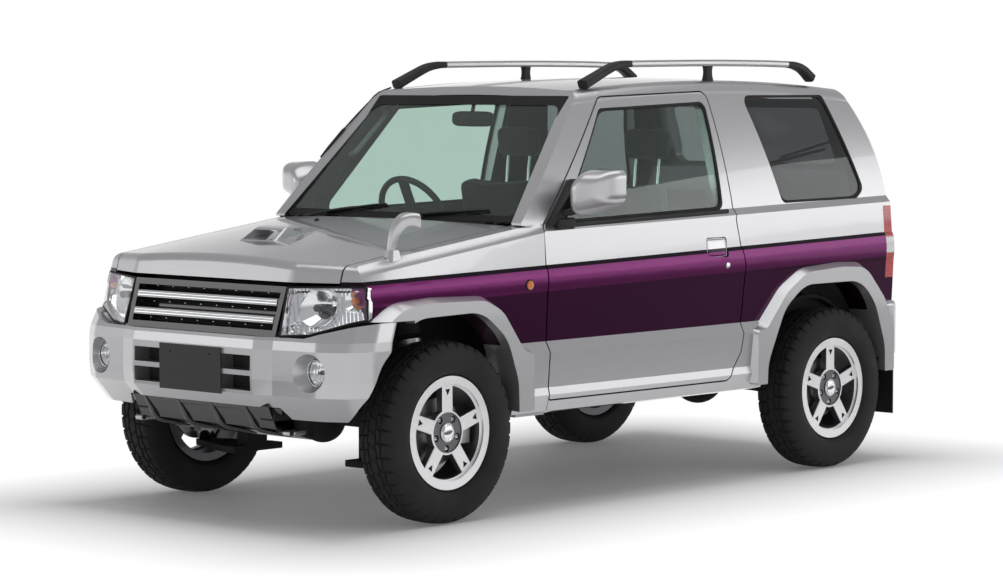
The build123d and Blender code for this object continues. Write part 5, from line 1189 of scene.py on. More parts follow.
NODE_FINISHES: tuple[tuple[Finish, str], ...] = (
    (PANEL_PAINT, "body_side_left body_side_right left_door right_door front_fenders"),
    (ROOF_PAINT, "roof_panel"),
    (PAINT, "bonnet tailgate spare_wheel rear_bumper arch_flares_front arch_flares_rear fender_mirror"
            " left_door_mirror right_door_mirror"),
    (BUMPER_PAINT, "front_bumper"),
    (GREEN_GLASS, "windscreen left_door_glass right_door_glass"),
    (DARK_GLASS, "quarter_windows tailgate_glass"),
    (CLEAR_LENS, "headlamps fog_lamps"),
    (TAIL_LENS, "tail_lamps"),
    (BLACK_PLASTIC, "windscreen_wipers mud_flaps rear_view_mirror"),
    (GLOSS_BLACK, "radiator_grille skid_plate"),
    (CABIN, "dashboard steering_wheel"),
    (SEAT_CLOTH, "front_seats rear_seat"),
    (UNDERSEAL, "floor_pan front_structure fuel_tank front_suspension rear_axle propeller_shaft"),
    (STEEL, "engine left_knuckle right_knuckle"),
    (EXHAUST, "exhaust"),
    (RAIL_SATIN, "roof_rails"),
)


def dress_nodes() -> None:
    """Gives every CAD node its finish."""
    table = [(finish, name) for finish, names in NODE_FINISHES for name in names.split()]
    for corner in Corner:
        stem = corner.value[0]
        table += [(RUBBER, f"{stem}_tyre"), (WHEEL_ALLOY, f"{stem}_rim"), (STEEL, f"{stem}_brake")]
    for finish, name in table:
        node = FRAME["nodes"][name]
        node.data.materials.clear()
        node.data.materials.append(finish.material())
    LOG.info("%d CAD nodes dressed", len(table))


# Wheels


@dataclass
class Wheel:
    """A tyre with a cut tread, wheel nuts, a plain centre cap and a valve."""

    corner: Corner
    hub_y: float = 0.6475
    radius: float = AXLE_Z
    tread_half: float = 0.060
    tread_depth: float = 0.0075
    pitches: int = 40
    steps: int = 16
    nut_circle: float = 0.05715
    nut_count: int = 5
    face: float = 0.058
    side_wall: Outline = (
        (0.1905, 0.0605), (0.2080, 0.0615), (0.2140, 0.0720), (0.2240, 0.0805), (0.2380, 0.0850),
        (0.2560, 0.0868), (0.2760, 0.0858), (0.2960, 0.0822), (0.3120, 0.0752), (0.3225, 0.0672),
    )

    def tread(self, turn: Array, y: Array) -> Array:
        """Depth of the tread: two wavy main grooves, two shoulder grooves and slots between them.

        Args:
            turn: Angle round the tyre, in pitches.
            y: Place across the tread.

        Returns:
            Depth at each point, from 0 to the full depth.
        """
        wave = np.abs((turn % 1.0) - 0.5) * 4 - 1
        away = np.abs(y)
        flip = np.where(y > 0, 0.5, 0.0)

        def cut(distance: Array, half: float) -> Array:
            """A groove with sloping walls about a line."""
            return np.clip((half + 0.0016 - np.abs(distance)) / 0.0022, 0, 1)

        def slot(shift: Array, half: float) -> Array:
            """A groove across, once in each pitch."""
            step = ((turn + shift) % 1.0) - 0.5
            return cut(step * 2 * np.pi * self.radius / self.pitches, half)

        main = cut(away - 0.018 - 0.0030 * wave, 0.0030)
        outer = cut(away - 0.041 + 0.0022 * wave, 0.0026)
        middle = slot(y * 14, 0.0011) * (away < 0.016)
        block = slot(flip + away * 9, 0.0018) * ((away > 0.020) & (away < 0.040))
        shoulder = slot(flip + away * 5, 0.0034) * (away > 0.043)
        return self.tread_depth * np.maximum.reduce([main, outer, 0.6 * middle, block, shoulder])

    def tyre(self) -> Shape:
        """The tyre: a section of (radius, width) round the axle, its tread cut into the radius.

        Returns:
            The tyre about the origin.
        """
        wall = smooth_path(np.array(self.side_wall), 30)
        y = np.linspace(self.tread_half, -self.tread_half, 62)
        crown = self.radius - 0.004 * (np.abs(y) / self.tread_half) ** 3
        section = np.vstack([wall, np.stack([crown, y], axis=1), wall[::-1] * np.array([1, -1])])
        turn = np.linspace(0, self.pitches, self.pitches * self.steps, endpoint=False)
        radius = np.tile(section[:, 0], (len(turn), 1))
        width = np.tile(section[:, 1], (len(turn), 1))
        cut = self.tread(turn[:, None], width)
        edge = np.clip((radius - 0.300) / 0.02, 0, 1)
        radius = radius - cut * edge
        walled = (radius > 0.225) * (radius < 0.29)
        ribs = 0.0007 * (np.sin((radius - 0.21) * 2 * np.pi / 0.012) > 0.6) * walled
        width = width + np.sign(width) * ribs
        angle = turn[:, None] * 2 * np.pi / self.pitches
        points = xyz(radius * np.cos(angle), width, radius * np.sin(angle))
        return Shape.grid(points, wrap_u=True, wrap_v=True)

    def trim(self) -> list[Shape]:
        """Six-sided nuts in their wells, and a domed cap with a rolled edge.

        Returns:
            Nuts, cap and valve about the origin.
        """
        top = self.face
        nut = np.array([[0.0105, -0.030], [0.0105, -0.012], [0.0085, -0.0095], [0.0060, -0.0075],
                        [0.0, -0.0070]])
        angle = np.pi / 2 + np.pi / self.nut_count + np.arange(self.nut_count) * 2 * np.pi / self.nut_count
        places = self.nut_circle * np.stack([np.cos(angle), np.sin(angle)], axis=1)
        nuts = [lathe(nut, 6, (x, top, z)) for x, z in places]
        cap = np.array([[0.0, 0.0068], [0.012, 0.0064], [0.0215, 0.0052], [0.0245, 0.0040], [0.0262, 0.0058],
                        [0.0290, 0.0056], [0.0305, 0.0036], [0.0308, -0.004], [0.0, -0.004]])
        valve = np.array([[0.0, 0.014], [0.0036, 0.0135], [0.0042, 0.006], [0.0055, 0.004], [0.0055, -0.02],
                          [0.0, -0.02]])
        lean = lathe(valve, 12, (0.168 * math.cos(0.9), top - 0.016, 0.168 * math.sin(0.9)))
        return [*nuts, lathe(cap, 48, (0.0, top, 0.0)), lean]

    def build(self) -> None:
        """Makes the tyre and the trim at this corner."""
        stem, x, sign = self.corner.value
        place = (x, self.hub_y, AXLE_Z)
        side = Side(sign)
        tyre, trim = (shape.moved(place).on(side) for shape in (self.tyre(), Shape.join(self.trim())))
        made = tyre.build(f"{stem}_tyre_tread", RUBBER, f"{stem}_wheel", crease=24.0)
        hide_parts(f"{stem}_tyre")
        trim.build(f"{stem}_wheel_trim", CHROME, f"{stem}_wheel")


# Laying pieces on the CAD


def loop_path(corners: Array, radius: float, count: int) -> Array:
    """Closed outline with rounded corners, its points evenly spaced.

    Each corner becomes a parabola from one side to the next, a radius away from the corner on both.

    Args:
        corners: Array of shape (n, d).
        radius: How far from a corner its rounding starts.
        count: How many points to give.

    Returns:
        Array of shape (count, d).
    """
    corners = np.asarray(corners, float)
    back, ahead = unit(np.roll(corners, 1, axis=0) - corners), unit(np.roll(corners, -1, axis=0) - corners)
    s = np.linspace(0, 1, 9)[None, :, None]
    start, end = (corners + radius * back)[:, None], (corners + radius * ahead)[:, None]
    arcs = (1 - s) ** 2 * start + 2 * s * (1 - s) * corners[:, None] + s**2 * end
    ring = arcs.reshape(-1, corners.shape[1])
    ring = np.vstack([ring, ring[:1]])
    run = np.concatenate([[0.0], np.cumsum(np.linalg.norm(np.diff(ring, axis=0), axis=1))])
    place = np.linspace(0, run[-1], count, endpoint=False)
    return np.stack([np.interp(place, run, axis) for axis in ring.T], axis=1)


def region(low: Array, high: Array, count: tuple[int, int]) -> Array:
    """Grid of (y, z) between a lower and an upper line, straight from one to the other.

    Args:
        low: Points of the lower line, from the car's middle outwards.
        high: Points of the upper line, in the same order.
        count: Points across and up.

    Returns:
        Array of shape (across, up, 2).
    """
    low, high = np.asarray(low), np.asarray(high)
    across = np.linspace(0, 1, count[0])
    up = np.linspace(0, 1, count[1])[None, :, None]
    rows = []
    for line in (low, high):
        y = line[0, 0] + (line[-1, 0] - line[0, 0]) * across
        rows.append(np.stack([y, np.interp(y, line[:, 0], line[:, 1])], axis=1)[:, None])
    return rows[0] * (1 - up) + rows[1] * up


def slab(top: Array, bottom: Array) -> Shape:
    """Closed wall between two grids of the same shape, with strips round their edges."""
    strips = [np.stack([top[0], bottom[0]]), np.stack([top[-1], bottom[-1]]),
              np.stack([top[:, 0], bottom[:, 0]]), np.stack([top[:, -1], bottom[:, -1]])]
    return Shape.join([Shape.grid(g) for g in (top, bottom[::-1], *strips)])


def strip(path: Array, half_w: float, half_h: float, up: Point, closed: bool = False) -> Shape:
    """A low rounded moulding along a path, half_w across and half_h high to each side."""
    return sweep(path, rounded_outline(half_w, half_h, min(half_w, half_h) * 0.8, 4), up, closed)


SCREEN_FOOT = (0.650, 1.068)
SCREEN_NORMAL = (0.73121, 0.0, 0.68215)
SCREEN_HALF = 0.6675
SCREEN_SINK = 0.014
SCREEN_BOW = 0.030


def screen_out(y: Array, lift: Array) -> Array:
    """How far points lie off the screen's flat plane: the lift and the bow, a parabola across the car."""
    return lift - (SCREEN_SINK - SCREEN_BOW * (1 - (y / SCREEN_HALF) ** 2))


def on_screen(y: Array, along: Array, lift: Array) -> Array:
    """Points over the bowed windscreen, from the side place, the run up the glass and the lift off it.

    The glass is a leaning plane that bows forward by a parabola across the car.

    Args:
        y: Place across the car.
        along: Run up the glass from its foot.
        lift: Distance off the glass.

    Returns:
        Array with X, Y and Z in its last axis.
    """
    y, along = np.asarray(y, float), np.asarray(along, float)
    ahead, _, up = SCREEN_NORMAL
    out = screen_out(y, lift)
    x, z = SCREEN_FOOT[0] - along * up + out * ahead, SCREEN_FOOT[1] + along * ahead + out * up
    return xyz(x, y, z)


# Nose


@dataclass
class Headlamp:
    """Clear lens over a fluted reflector with a main bowl, a position lamp and an amber turn lamp."""

    side: Side
    low: Outline = ((0.418, 0.6955), (0.528, 0.7015), (0.701, 0.757))
    high: Outline = ((0.410, 0.8655), (0.690, 0.8725))
    wall: float = 0.0025
    depth: float = 0.034
    flute: float = 0.0135
    bowls: tuple[tuple[float, float, float, float], ...] = (
        (0.522, 0.796, 0.068, 0.040), (0.452, 0.724, 0.021, 0.020), (0.648, 0.823, 0.036, 0.022),
    )
    skin: Skin = field(default_factory=lambda: Skin("headlamps"))

    def face(self, count: tuple[int, int]) -> Array:
        """Grid of points on the CAD lamp's front.

        Where a ray misses at a rounded corner, the depth comes from a surface of the second
        order fitted to the rest.

        Args:
            count: Points across and up.

        Returns:
            Array of shape (across, up, 3).
        """
        yz = region(self.low, self.high, count)
        met = self.skin.drop(xyz(AHEAD_X, yz[..., 0], yz[..., 1]), BACKWARD)
        y, z = yz[..., 0].ravel(), yz[..., 1].ravel()
        terms = np.stack([np.ones_like(y), y, z, y * y, y * z, y**3], axis=1)
        seen = np.isfinite(met[..., 0].ravel())
        fit = np.linalg.lstsq(terms[seen], met[..., 0].ravel()[seen], rcond=None)[0]
        depth = np.where(seen, met[..., 0].ravel(), terms @ fit).reshape(count)
        return np.concatenate([depth[..., None], yz], axis=-1)

    def reflector(self) -> Shape:
        """Mirror behind the lens: round bowls by parabolas, upright flutes elsewhere, shallow at the rim.

        Returns:
            The mirror, on the left.
        """
        face = self.face((150, 90))
        y, z = face[..., 1], face[..., 2]
        share = np.linspace(0, 1, 150)[:, None], np.linspace(0, 1, 90)[None]
        rim = np.minimum(np.minimum(share[0], 1 - share[0]) * 3.0, np.minimum(share[1], 1 - share[1]))
        rim = np.clip(rim / 0.06, 0.08, 1.0)
        depth = self.depth + 0.004 * np.abs(np.sin(np.pi * (y + 0.25 * (z - 0.78)) / self.flute))
        for bowl_y, bowl_z, reach, deep in self.bowls:
            away = np.hypot(y - bowl_y, z - bowl_z) / reach
            depth = np.where(away < 1, self.depth - 0.012 + deep * (1 - away**2), depth)
        depth = depth * rim + 0.004
        top = face - xyz(depth, 0.0, 0.0)
        return slab(top, top - np.array([0.003, 0.0, 0.0]))

    def rings(self) -> Shape:
        """A rolled rim round each bowl, following the reflector's front.

        Returns:
            Two rims, on the left.
        """
        rims = []
        for bowl_y, bowl_z, reach, _ in self.bowls[:2]:
            turn = np.linspace(0, 2 * np.pi, 48, endpoint=False)
            y, z = bowl_y + reach * np.cos(turn), bowl_z + reach * np.sin(turn)
            front = self.skin.drop(xyz(AHEAD_X, y, z), BACKWARD)
            path = front - np.array([self.depth - 0.006, 0.0, 0.0])
            rims.append(sweep(path, circle(0.0026, 8), FORWARD, closed=True))
        return Shape.join(rims)

    def bulb(self, bowl: int, profile: Outline) -> Shape:
        """A turned cap or bulb that stands out of a bowl along the car.

        Args:
            bowl: The bowl's number.
            profile: Pairs of radius and height.

        Returns:
            The bulb, on the left.
        """
        bowl_y, bowl_z, _, deep = self.bowls[bowl]
        front = self.skin.drop(np.array([AHEAD_X, bowl_y, bowl_z]), BACKWARD)
        root = float(front[0]) - self.depth + 0.012 - deep
        return lathe(np.array(profile), 24, (root, bowl_y, bowl_z), FORWARD)

    def build(self) -> None:
        """Makes the lens, the reflector, the rims, the bulbs and the seal."""
        face = self.face((48, 32))
        edge = np.concatenate([face[:, 0], face[-1, 1:], face[::-1, -1][1:], face[0, ::-1][1:-1]])
        seal = sweep(edge - np.array([0.004, 0.0, 0.0]), circle(0.0042, 8), FORWARD, closed=True)
        cap = ((0.0, 0.052), (0.009, 0.051), (0.0135, 0.046), (0.014, 0.012), (0.010, 0.010), (0.010, -0.004),
               (0.0, -0.004))
        pip = ((0.0, 0.022), (0.005, 0.021), (0.007, 0.016), (0.007, -0.003), (0.0, -0.003))
        amber = ((0.0, 0.030), (0.007, 0.0285), (0.0105, 0.022), (0.0105, 0.010), (0.008, -0.003),
                 (0.0, -0.003))
        made = build_rows(
            self.side, "body",
            ("headlamp_lens", slab(face, face - np.array([self.wall, 0.0, 0.0])), CLEAR_LENS),
            ("headlamp_reflector", self.reflector(), REFLECTOR),
            ("headlamp_rims", self.rings(), CHROME),
            ("headlamp_bulb_shield", self.bulb(0, cap), SHIELD),
            ("position_bulb", self.bulb(1, pip), CHROME),
            ("turn_bulb", self.bulb(2, amber), AMBER_LENS),
            ("headlamp_seal", seal, SEAL),
        )
        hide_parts("headlamps")


@dataclass
class Nose:
    """Bars and studs of the grille, backing and lip of the bumper, ribs of the skid, fog lamps."""

    grille_foot: Pair = (1.650, 0.690)
    grille_lean: float = -0.297
    grille_normal: Point = (1.0, 0.0, 0.297)
    bar_z: tuple[float, ...] = (0.750, 0.812)
    bar_half: float = 0.374
    stud_z: tuple[float, ...] = (0.7225, 0.781, 0.8375)
    stud_pitch: float = 0.086
    stud_count: int = 9
    fog: Point = (1.602, 0.566, 0.572)

    def grille_x(self, z: float) -> float:
        """X of the grille's leaning front at a height."""
        return self.grille_foot[0] + self.grille_lean * (z - self.grille_foot[1])

    def bars(self) -> Shape:
        """Two bars, each with a groove along it: a profile with two lobes carried across the car.

        Returns:
            Both bars.
        """
        angle = np.linspace(0, 2 * np.pi, 40, endpoint=False)
        lobe = 0.0040 * (1 - 0.55 * np.exp(-((np.cos(angle) / 0.16) ** 2)))
        profile = np.stack([0.0125 * np.cos(angle), lobe * np.sin(angle)], axis=1)
        y = np.linspace(-self.bar_half, self.bar_half, 24)
        paths = [xyz(self.grille_x(z), y, z) for z in self.bar_z]
        return Shape.join([sweep(path, profile, self.grille_normal) for path in paths])

    def studs(self) -> Shape:
        """Rows of small domed studs on the panel behind the bars.

        Returns:
            All the studs.
        """
        dome = np.array([[0.0, 0.004], [0.002, 0.0036], [0.0036, 0.0022], [0.0042, 0.0], [0.0042, -0.006],
                         [0.0, -0.006]])
        y = (np.arange(self.stud_count) - (self.stud_count - 1) / 2) * self.stud_pitch
        places = [(self.grille_x(z) - 0.060, side, z) for z in self.stud_z for side in y]
        return Shape.join([lathe(dome, 10, place, self.grille_normal) for place in places])

    def skid_ribs(self) -> Shape:
        """Slanting ribs down the skid's front: a low half-round profile that fades out at both ends.

        Returns:
            All the ribs.
        """
        knots = np.array([[1.650, 0.0, 0.436], [1.634, 0.010, 0.400], [1.612, 0.024, 0.356],
                          [1.560, 0.050, 0.338], [1.500, 0.080, 0.321]])
        path = smooth_path(knots, 24)
        size = 0.25 + 0.75 * np.sin(np.linspace(0.25, np.pi - 0.1, 24))
        rib = sweep(path, rounded_outline(0.011, 0.007, 0.006, 5), (1.0, 0.0, -0.6), scale=size)
        return Shape.join([rib.moved((0.0, y, 0.0)) for y in (-0.30, -0.12, 0.06, 0.24)])

    def lip(self) -> Shape:
        """Rolled lip under the bumper's middle, drawn back and up towards its ends.

        Returns:
            The lip.
        """
        y = np.linspace(-0.398, 0.398, 60)
        away = np.abs(y) / 0.398
        path = xyz(1.640 - 0.030 * away**4, y, 0.437 - 0.010 * away**6)
        return strip(path, 0.010, 0.016, (0.4, 0.0, 1.0))

    def fog_lamp(self) -> dict[str, Shape]:
        """A fog lamp's turned pieces: lens, bright rim, mirror bowl and bulb.

        Returns:
            The pieces by name, on the left.
        """
        lens = np.array([[0.0, 0.005], [0.02, 0.0045], [0.038, 0.002], [0.0425, -0.001], [0.0425, -0.004],
                         [0.02, 0.0015], [0.0, 0.002]])
        rim = np.array([[0.0495, -0.012], [0.0495, 0.003], [0.0480, 0.006], [0.0455, 0.006], [0.0428, 0.001],
                        [0.0428, -0.012], [0.0495, -0.012]])
        radius = np.linspace(0.0425, 0.004, 24)
        wave = 0.0008 * np.abs(np.sin(radius * 500))
        bowl = np.stack([radius, -0.046 + 0.038 * (radius / 0.0425) ** 2 + wave], axis=1)
        bowl = np.vstack([bowl, [[0.0, -0.046]], [[0.0, -0.052]], [[0.046, -0.052]], [[0.046, -0.008]],
                          bowl[:1]])
        bulb = np.array([[0.0, -0.012], [0.006, -0.014], [0.008, -0.020], [0.008, -0.046], [0.0, -0.046]])
        return {
            name: lathe(profile, 40, self.fog, FORWARD)
            for name, profile in (("lens", lens), ("rim", rim), ("bowl", bowl), ("bulb", bulb))
        }

    def build(self) -> None:
        """Makes the nose's pieces."""
        self.bars().build("grille_bright_bars", CHROME, "body")
        self.studs().build("grille_studs", CHROME, "body")
        backing = rounded_box((1.6135, 0.0, 0.562), (0.004, 0.335, 0.086), 0.003)
        backing.build("bumper_slot_backing", BLACK_PLASTIC, "body")
        self.lip().build("bumper_lip", GLOSS_BLACK, "body")
        self.skid_ribs().build("skid_ribs", GLOSS_BLACK, "body")
        finishes = {"lens": CLEAR_LENS, "rim": CHROME, "bowl": REFLECTOR, "bulb": SHIELD}
        for side in Side:
            rows = [(f"fog_{name}", shape, finishes[name]) for name, shape in self.fog_lamp().items()]
            made = build_rows(side, "body", *rows)
            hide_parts("fog_lamps")


# Sides


def inset(path: Array, depth: float) -> Array:
    """A closed outline moved inwards, square to the chord between each point's neighbours."""
    along = unit(np.roll(path, -1, axis=0) - np.roll(path, 1, axis=0))
    area = np.sum(path[:, 0] * np.roll(path[:, 1], -1) - np.roll(path[:, 0], -1) * path[:, 1])
    return path + depth * np.sign(area) * np.stack([-along[:, 1], along[:, 0]], axis=1)


def lay(skin: Skin, xz: Array, lift: float = 0.0) -> Array:
    """Points of (x, z) laid on the car's left, lifted off its skin.

    Where a ray meets nothing, Y comes from a surface of the second order fitted to the rest.

    Args:
        skin: What the points lie on.
        xz: Array of shape (..., 2).
        lift: Distance off the skin.

    Returns:
        Array of shape (..., 3).
    """
    flat = np.asarray(xz, float).reshape(-1, 2)
    met = skin.drop(xyz(flat[:, 0], BESIDE_Y, flat[:, 1]), (0.0, -1.0, 0.0))
    seen = np.isfinite(met[:, 1])
    x, z = (flat - flat[seen].mean(axis=0)).T
    terms = np.stack([np.ones_like(x), x, z, x * x, x * z, z * z], axis=1)
    fit = np.linalg.lstsq(terms[seen], met[seen, 1], rcond=None)[0]
    y = np.where(seen, met[:, 1], terms @ fit) + lift
    return xyz(flat[:, 0], y, flat[:, 1]).reshape(*np.shape(xz)[:-1], 3)


def pillow_grid(half: Pair, round_off: float, count: int) -> tuple[Array, Array]:
    """Grid over a rectangle with round corners, and how near each point is to the edge.

    A square's two shares are each shortened by the other's square, so its corners draw in.

    Args:
        half: Half sizes of the rectangle.
        round_off: From 0, square, to 1, an ellipse.
        count: Points along each side.

    Returns:
        Places of shape (count, count, 2), and the larger share of each from 0 to 1.
    """
    share = np.linspace(-1, 1, count)
    u, v = np.meshgrid(share, share, indexing="ij")
    across, up = u * np.sqrt(1 - round_off * v**2 / 2), v * np.sqrt(1 - round_off * u**2 / 2)
    return np.stack([half[0] * across, half[1] * up], axis=-1), np.maximum(np.abs(u), np.abs(v))


def plate(centre: Point, across: Point, up: Point, half: Pair, thick: float,
          crown: float) -> Shape:
    """A thin plate with round corners, its face raised in the middle and rolled over at the edge.

    Args:
        centre: Middle of its back.
        across: Direction of its width.
        up: Direction of its height; across and up cross to its outward normal.
        half: Half its width and height.
        thick: Its thickness at the edge.
        crown: How much more it is in the middle.

    Returns:
        The closed plate.
    """
    across, up = unit(np.array(across)), unit(np.array(up))
    flat, edge = pillow_grid(half, 0.4, 21)
    back = np.asarray(centre) + flat[..., :1] * across + flat[..., 1:] * up
    rise = thick * (1 - 0.5 * edge**10) + crown * (1 - edge**2)
    return slab(back + rise[..., None] * np.cross(across, up), back)


def pebble(outline: Array, x: float, rim: float, depth: float, lean: float = 0.0) -> Shape:
    """Closed dome over an outline of (y, z), raised along X from a flat back.

    At a share r of the way out from the outline's middle, it rises by the rim plus the depth times
    the square root of 1 - r^4; the depth falls outwards along Y by the lean.

    Args:
        outline: Array of shape (n, 2).
        x: Place of its back.
        rim: Rise at its edge.
        depth: Further rise in its middle.
        lean: Loss of depth for each metre of Y.

    Returns:
        The dome, with a pole in the middle of each face.
    """
    middle = outline.mean(axis=0)
    share = np.sin(np.linspace(0, np.pi / 2, 25))[:, None]
    yz = middle + share[..., None] * (outline - middle)
    rise = rim + (depth - lean * (yz[..., 0] - middle[0])) * np.sqrt(1 - share**4)
    back, front = (xyz(x + step, yz[..., 0], yz[..., 1]) for step in (0.0, rise))
    return Shape.grid(np.concatenate([back, front[::-1]]), wrap_v=True)


@dataclass
class DoorTrim:
    """Seal, belt moulding, flap handle, lock, mirror and inner card of one door."""

    side: Side
    window: Outline = ((0.441, 1.060), (0.099, 1.488), (-0.538, 1.512),
                                               (-0.530, 1.084))
    handle: Pair = (-0.450, 0.9375)
    handle_half: Pair = (0.0605, 0.0365)
    lock: Pair = (-0.505, 0.865)
    mirror_x: float = 0.3262
    mirror_outline: Outline = (
        (0.7080, 1.082), (0.8935, 1.144), (0.8935, 1.263), (0.760, 1.268), (0.7060, 1.212),
    )
    sail: Outline = ((0.529, 1.052), (0.436, 1.062), (0.359, 1.225), (0.329, 1.225))

    def seal(self) -> Shape:
        """Rubber round the window: a flat rounded profile carried round the pane's outline."""
        outline = inset(loop_path(np.array(self.window), 0.045, 180), 0.005)
        return strip(lay(Skin("left_door_glass"), outline, 0.002), 0.0075, 0.0042, OUTWARD, closed=True)

    def belt(self) -> Shape:
        """Black moulding under the window, from the mirror's foot to the door's rear edge."""
        x = np.linspace(0.462, -0.548, 60)
        z = 1.0515 + (0.441 - x) * 0.0247
        return strip(lay(Skin("left_door"), np.stack([x, z], axis=1), 0.001), 0.0105, 0.0050, OUTWARD)

    def flap(self) -> tuple[Shape, Shape]:
        """The handle's crowned flap, flush with the door, and the bright bead round it.

        Returns:
            The flap and the bead, on the left.
        """
        flat, edge = pillow_grid(self.handle_half, 0.30, 33)
        xz = flat + np.array(self.handle)
        corners = np.array([[-1, -1], [1, -1], [1, 1], [-1, 1]]) * self.handle_half
        ring = np.array(self.handle) + 1.75 * loop_path(corners, 0.01, 64)
        skin = lay(Skin("left_door"), np.vstack([ring, xz.reshape(-1, 2)]))
        x, z = (ring - np.array(self.handle)).T
        terms = np.stack([np.ones_like(x), x, z, x * x, z * z], axis=1)
        fit = np.linalg.lstsq(terms, skin[: len(ring), 1], rcond=None)[0]
        a, b = flat[..., 0], flat[..., 1]
        y = np.stack([np.ones_like(a), a, b, a * a, b * b], axis=-1) @ fit
        y = y - 0.0010 + 0.0020 * (1 - edge**2) - 0.0035 * edge**14
        face = xyz(xz[..., 0], y, xz[..., 1])
        bead = np.concatenate([face[:-1, 0], face[-1, :-1], face[:0:-1, -1], face[0, :0:-1]])
        outline = sweep(bead + np.array([0.0, 0.0012, 0.0]), circle(0.0019, 8), OUTWARD, closed=True)
        return slab(face, face - np.array([0.0, 0.009, 0.0])), outline

    def barrel(self) -> Shape:
        """The lock: a turned dome with a ring groove, set on the door.

        Returns:
            The lock, on the left.
        """
        at = lay(Skin("left_door"), np.array([self.lock, (self.lock[0], self.lock[1] - 0.03)] * 4))[0]
        dome = np.array([[0.0, 0.0030], [0.0048, 0.0030], [0.0054, 0.0022], [0.0062, 0.0034],
                         [0.0100, 0.0028], [0.0118, 0.0008], [0.0120, -0.004], [0.0, -0.004]])
        return lathe(dome, 28, tuple(at))

    def card(self) -> tuple[Shape, Shape]:
        """Inner armrest, thin at both ends, and a bent pull over it.

        Returns:
            The armrest and the pull, on the left.
        """
        x = np.linspace(0.30, -0.20, 40)
        swell = np.sin(np.linspace(0.35, np.pi - 0.35, 40)) ** 0.5
        rest = sweep(
            xyz(x, 0.592, 0.830 + 0.03 * np.linspace(0, 1, 40)),
            rounded_outline(0.026, 0.024, 0.016, 5), UP, scale=0.45 + 0.55 * swell,
        )
        knots = np.array([[0.21, 0.585, 0.925], [0.19, 0.556, 0.935], [0.10, 0.552, 0.938],
                          [0.08, 0.585, 0.930]])
        return rest, tube(smooth_path(knots, 24), 0.0075, 10)

    def mirror(self) -> tuple[Shape, Shape, Shape]:
        """The mirror's shell and glass over one outline, and its foot, a domed patch with an arm.

        Returns:
            Shell, glass and foot, on the left.
        """
        outline = loop_path(np.array(self.mirror_outline), 0.030, 120)
        shell = pebble(outline, self.mirror_x, 0.018, 0.112, 0.30)
        middle = outline.mean(axis=0)
        glass = pebble(middle + 0.87 * (outline - middle), self.mirror_x + 0.001, -0.0032, -0.0008)
        share = np.sin(np.linspace(-np.pi / 2, np.pi / 2, 25))
        u, v = np.meshgrid(share, share, indexing="ij")
        a, b, c, d = np.array(self.sail)
        s, t = (u[..., None] + 1) / 2, (v[..., None] + 1) / 2
        xz = (1 - t) * ((1 - s) * a + s * b) + t * ((1 - s) * c + s * d)
        y = 0.681 + 0.0085 * np.sqrt((1 - u**8) * (1 - v**8))
        patch = xyz(xz[..., 0], y, xz[..., 1])
        arm = smooth_path(np.array([[0.436, 0.670, 1.098], [0.410, 0.712, 1.110], [0.371, 0.777, 1.142]]), 16)
        foot = [sweep(arm, rounded_outline(0.021, 0.014, 0.012, 5), UP),
                rounded_box((0.432, 0.673, 1.062), (0.050, 0.022, 0.021), 0.008)]
        patch = slab(patch, patch * np.array([1.0, 0.0, 1.0]) + np.array([0.0, 0.640, 0.0]))
        return shell, glass, Shape.join([patch, *foot])

    def build(self) -> None:
        """Makes the pieces on this side's door."""
        tag = self.side.name.lower()
        flap, bead = self.flap()
        shell, glass, foot = self.mirror()
        rest, pull = self.card()
        made = build_rows(
            self.side, f"{tag}_door",
            ("window_seal", self.seal(), SEAL),
            ("belt_moulding", self.belt(), BLACK_PLASTIC),
            ("handle_flap", flap, HANDLE_PAINT),
            ("handle_bead", bead, CHROME),
            ("door_lock", self.barrel(), CHROME),
            ("mirror_shell", shell, PAINT, 40.0),
            ("mirror_foot", foot, BLACK_PLASTIC),
            ("mirror_glass", glass, MIRROR_GLASS),
            ("armrest", rest, CABIN),
            ("door_pull", pull, BLACK_PLASTIC),
        )
        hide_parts(f"{tag}_door_mirror")


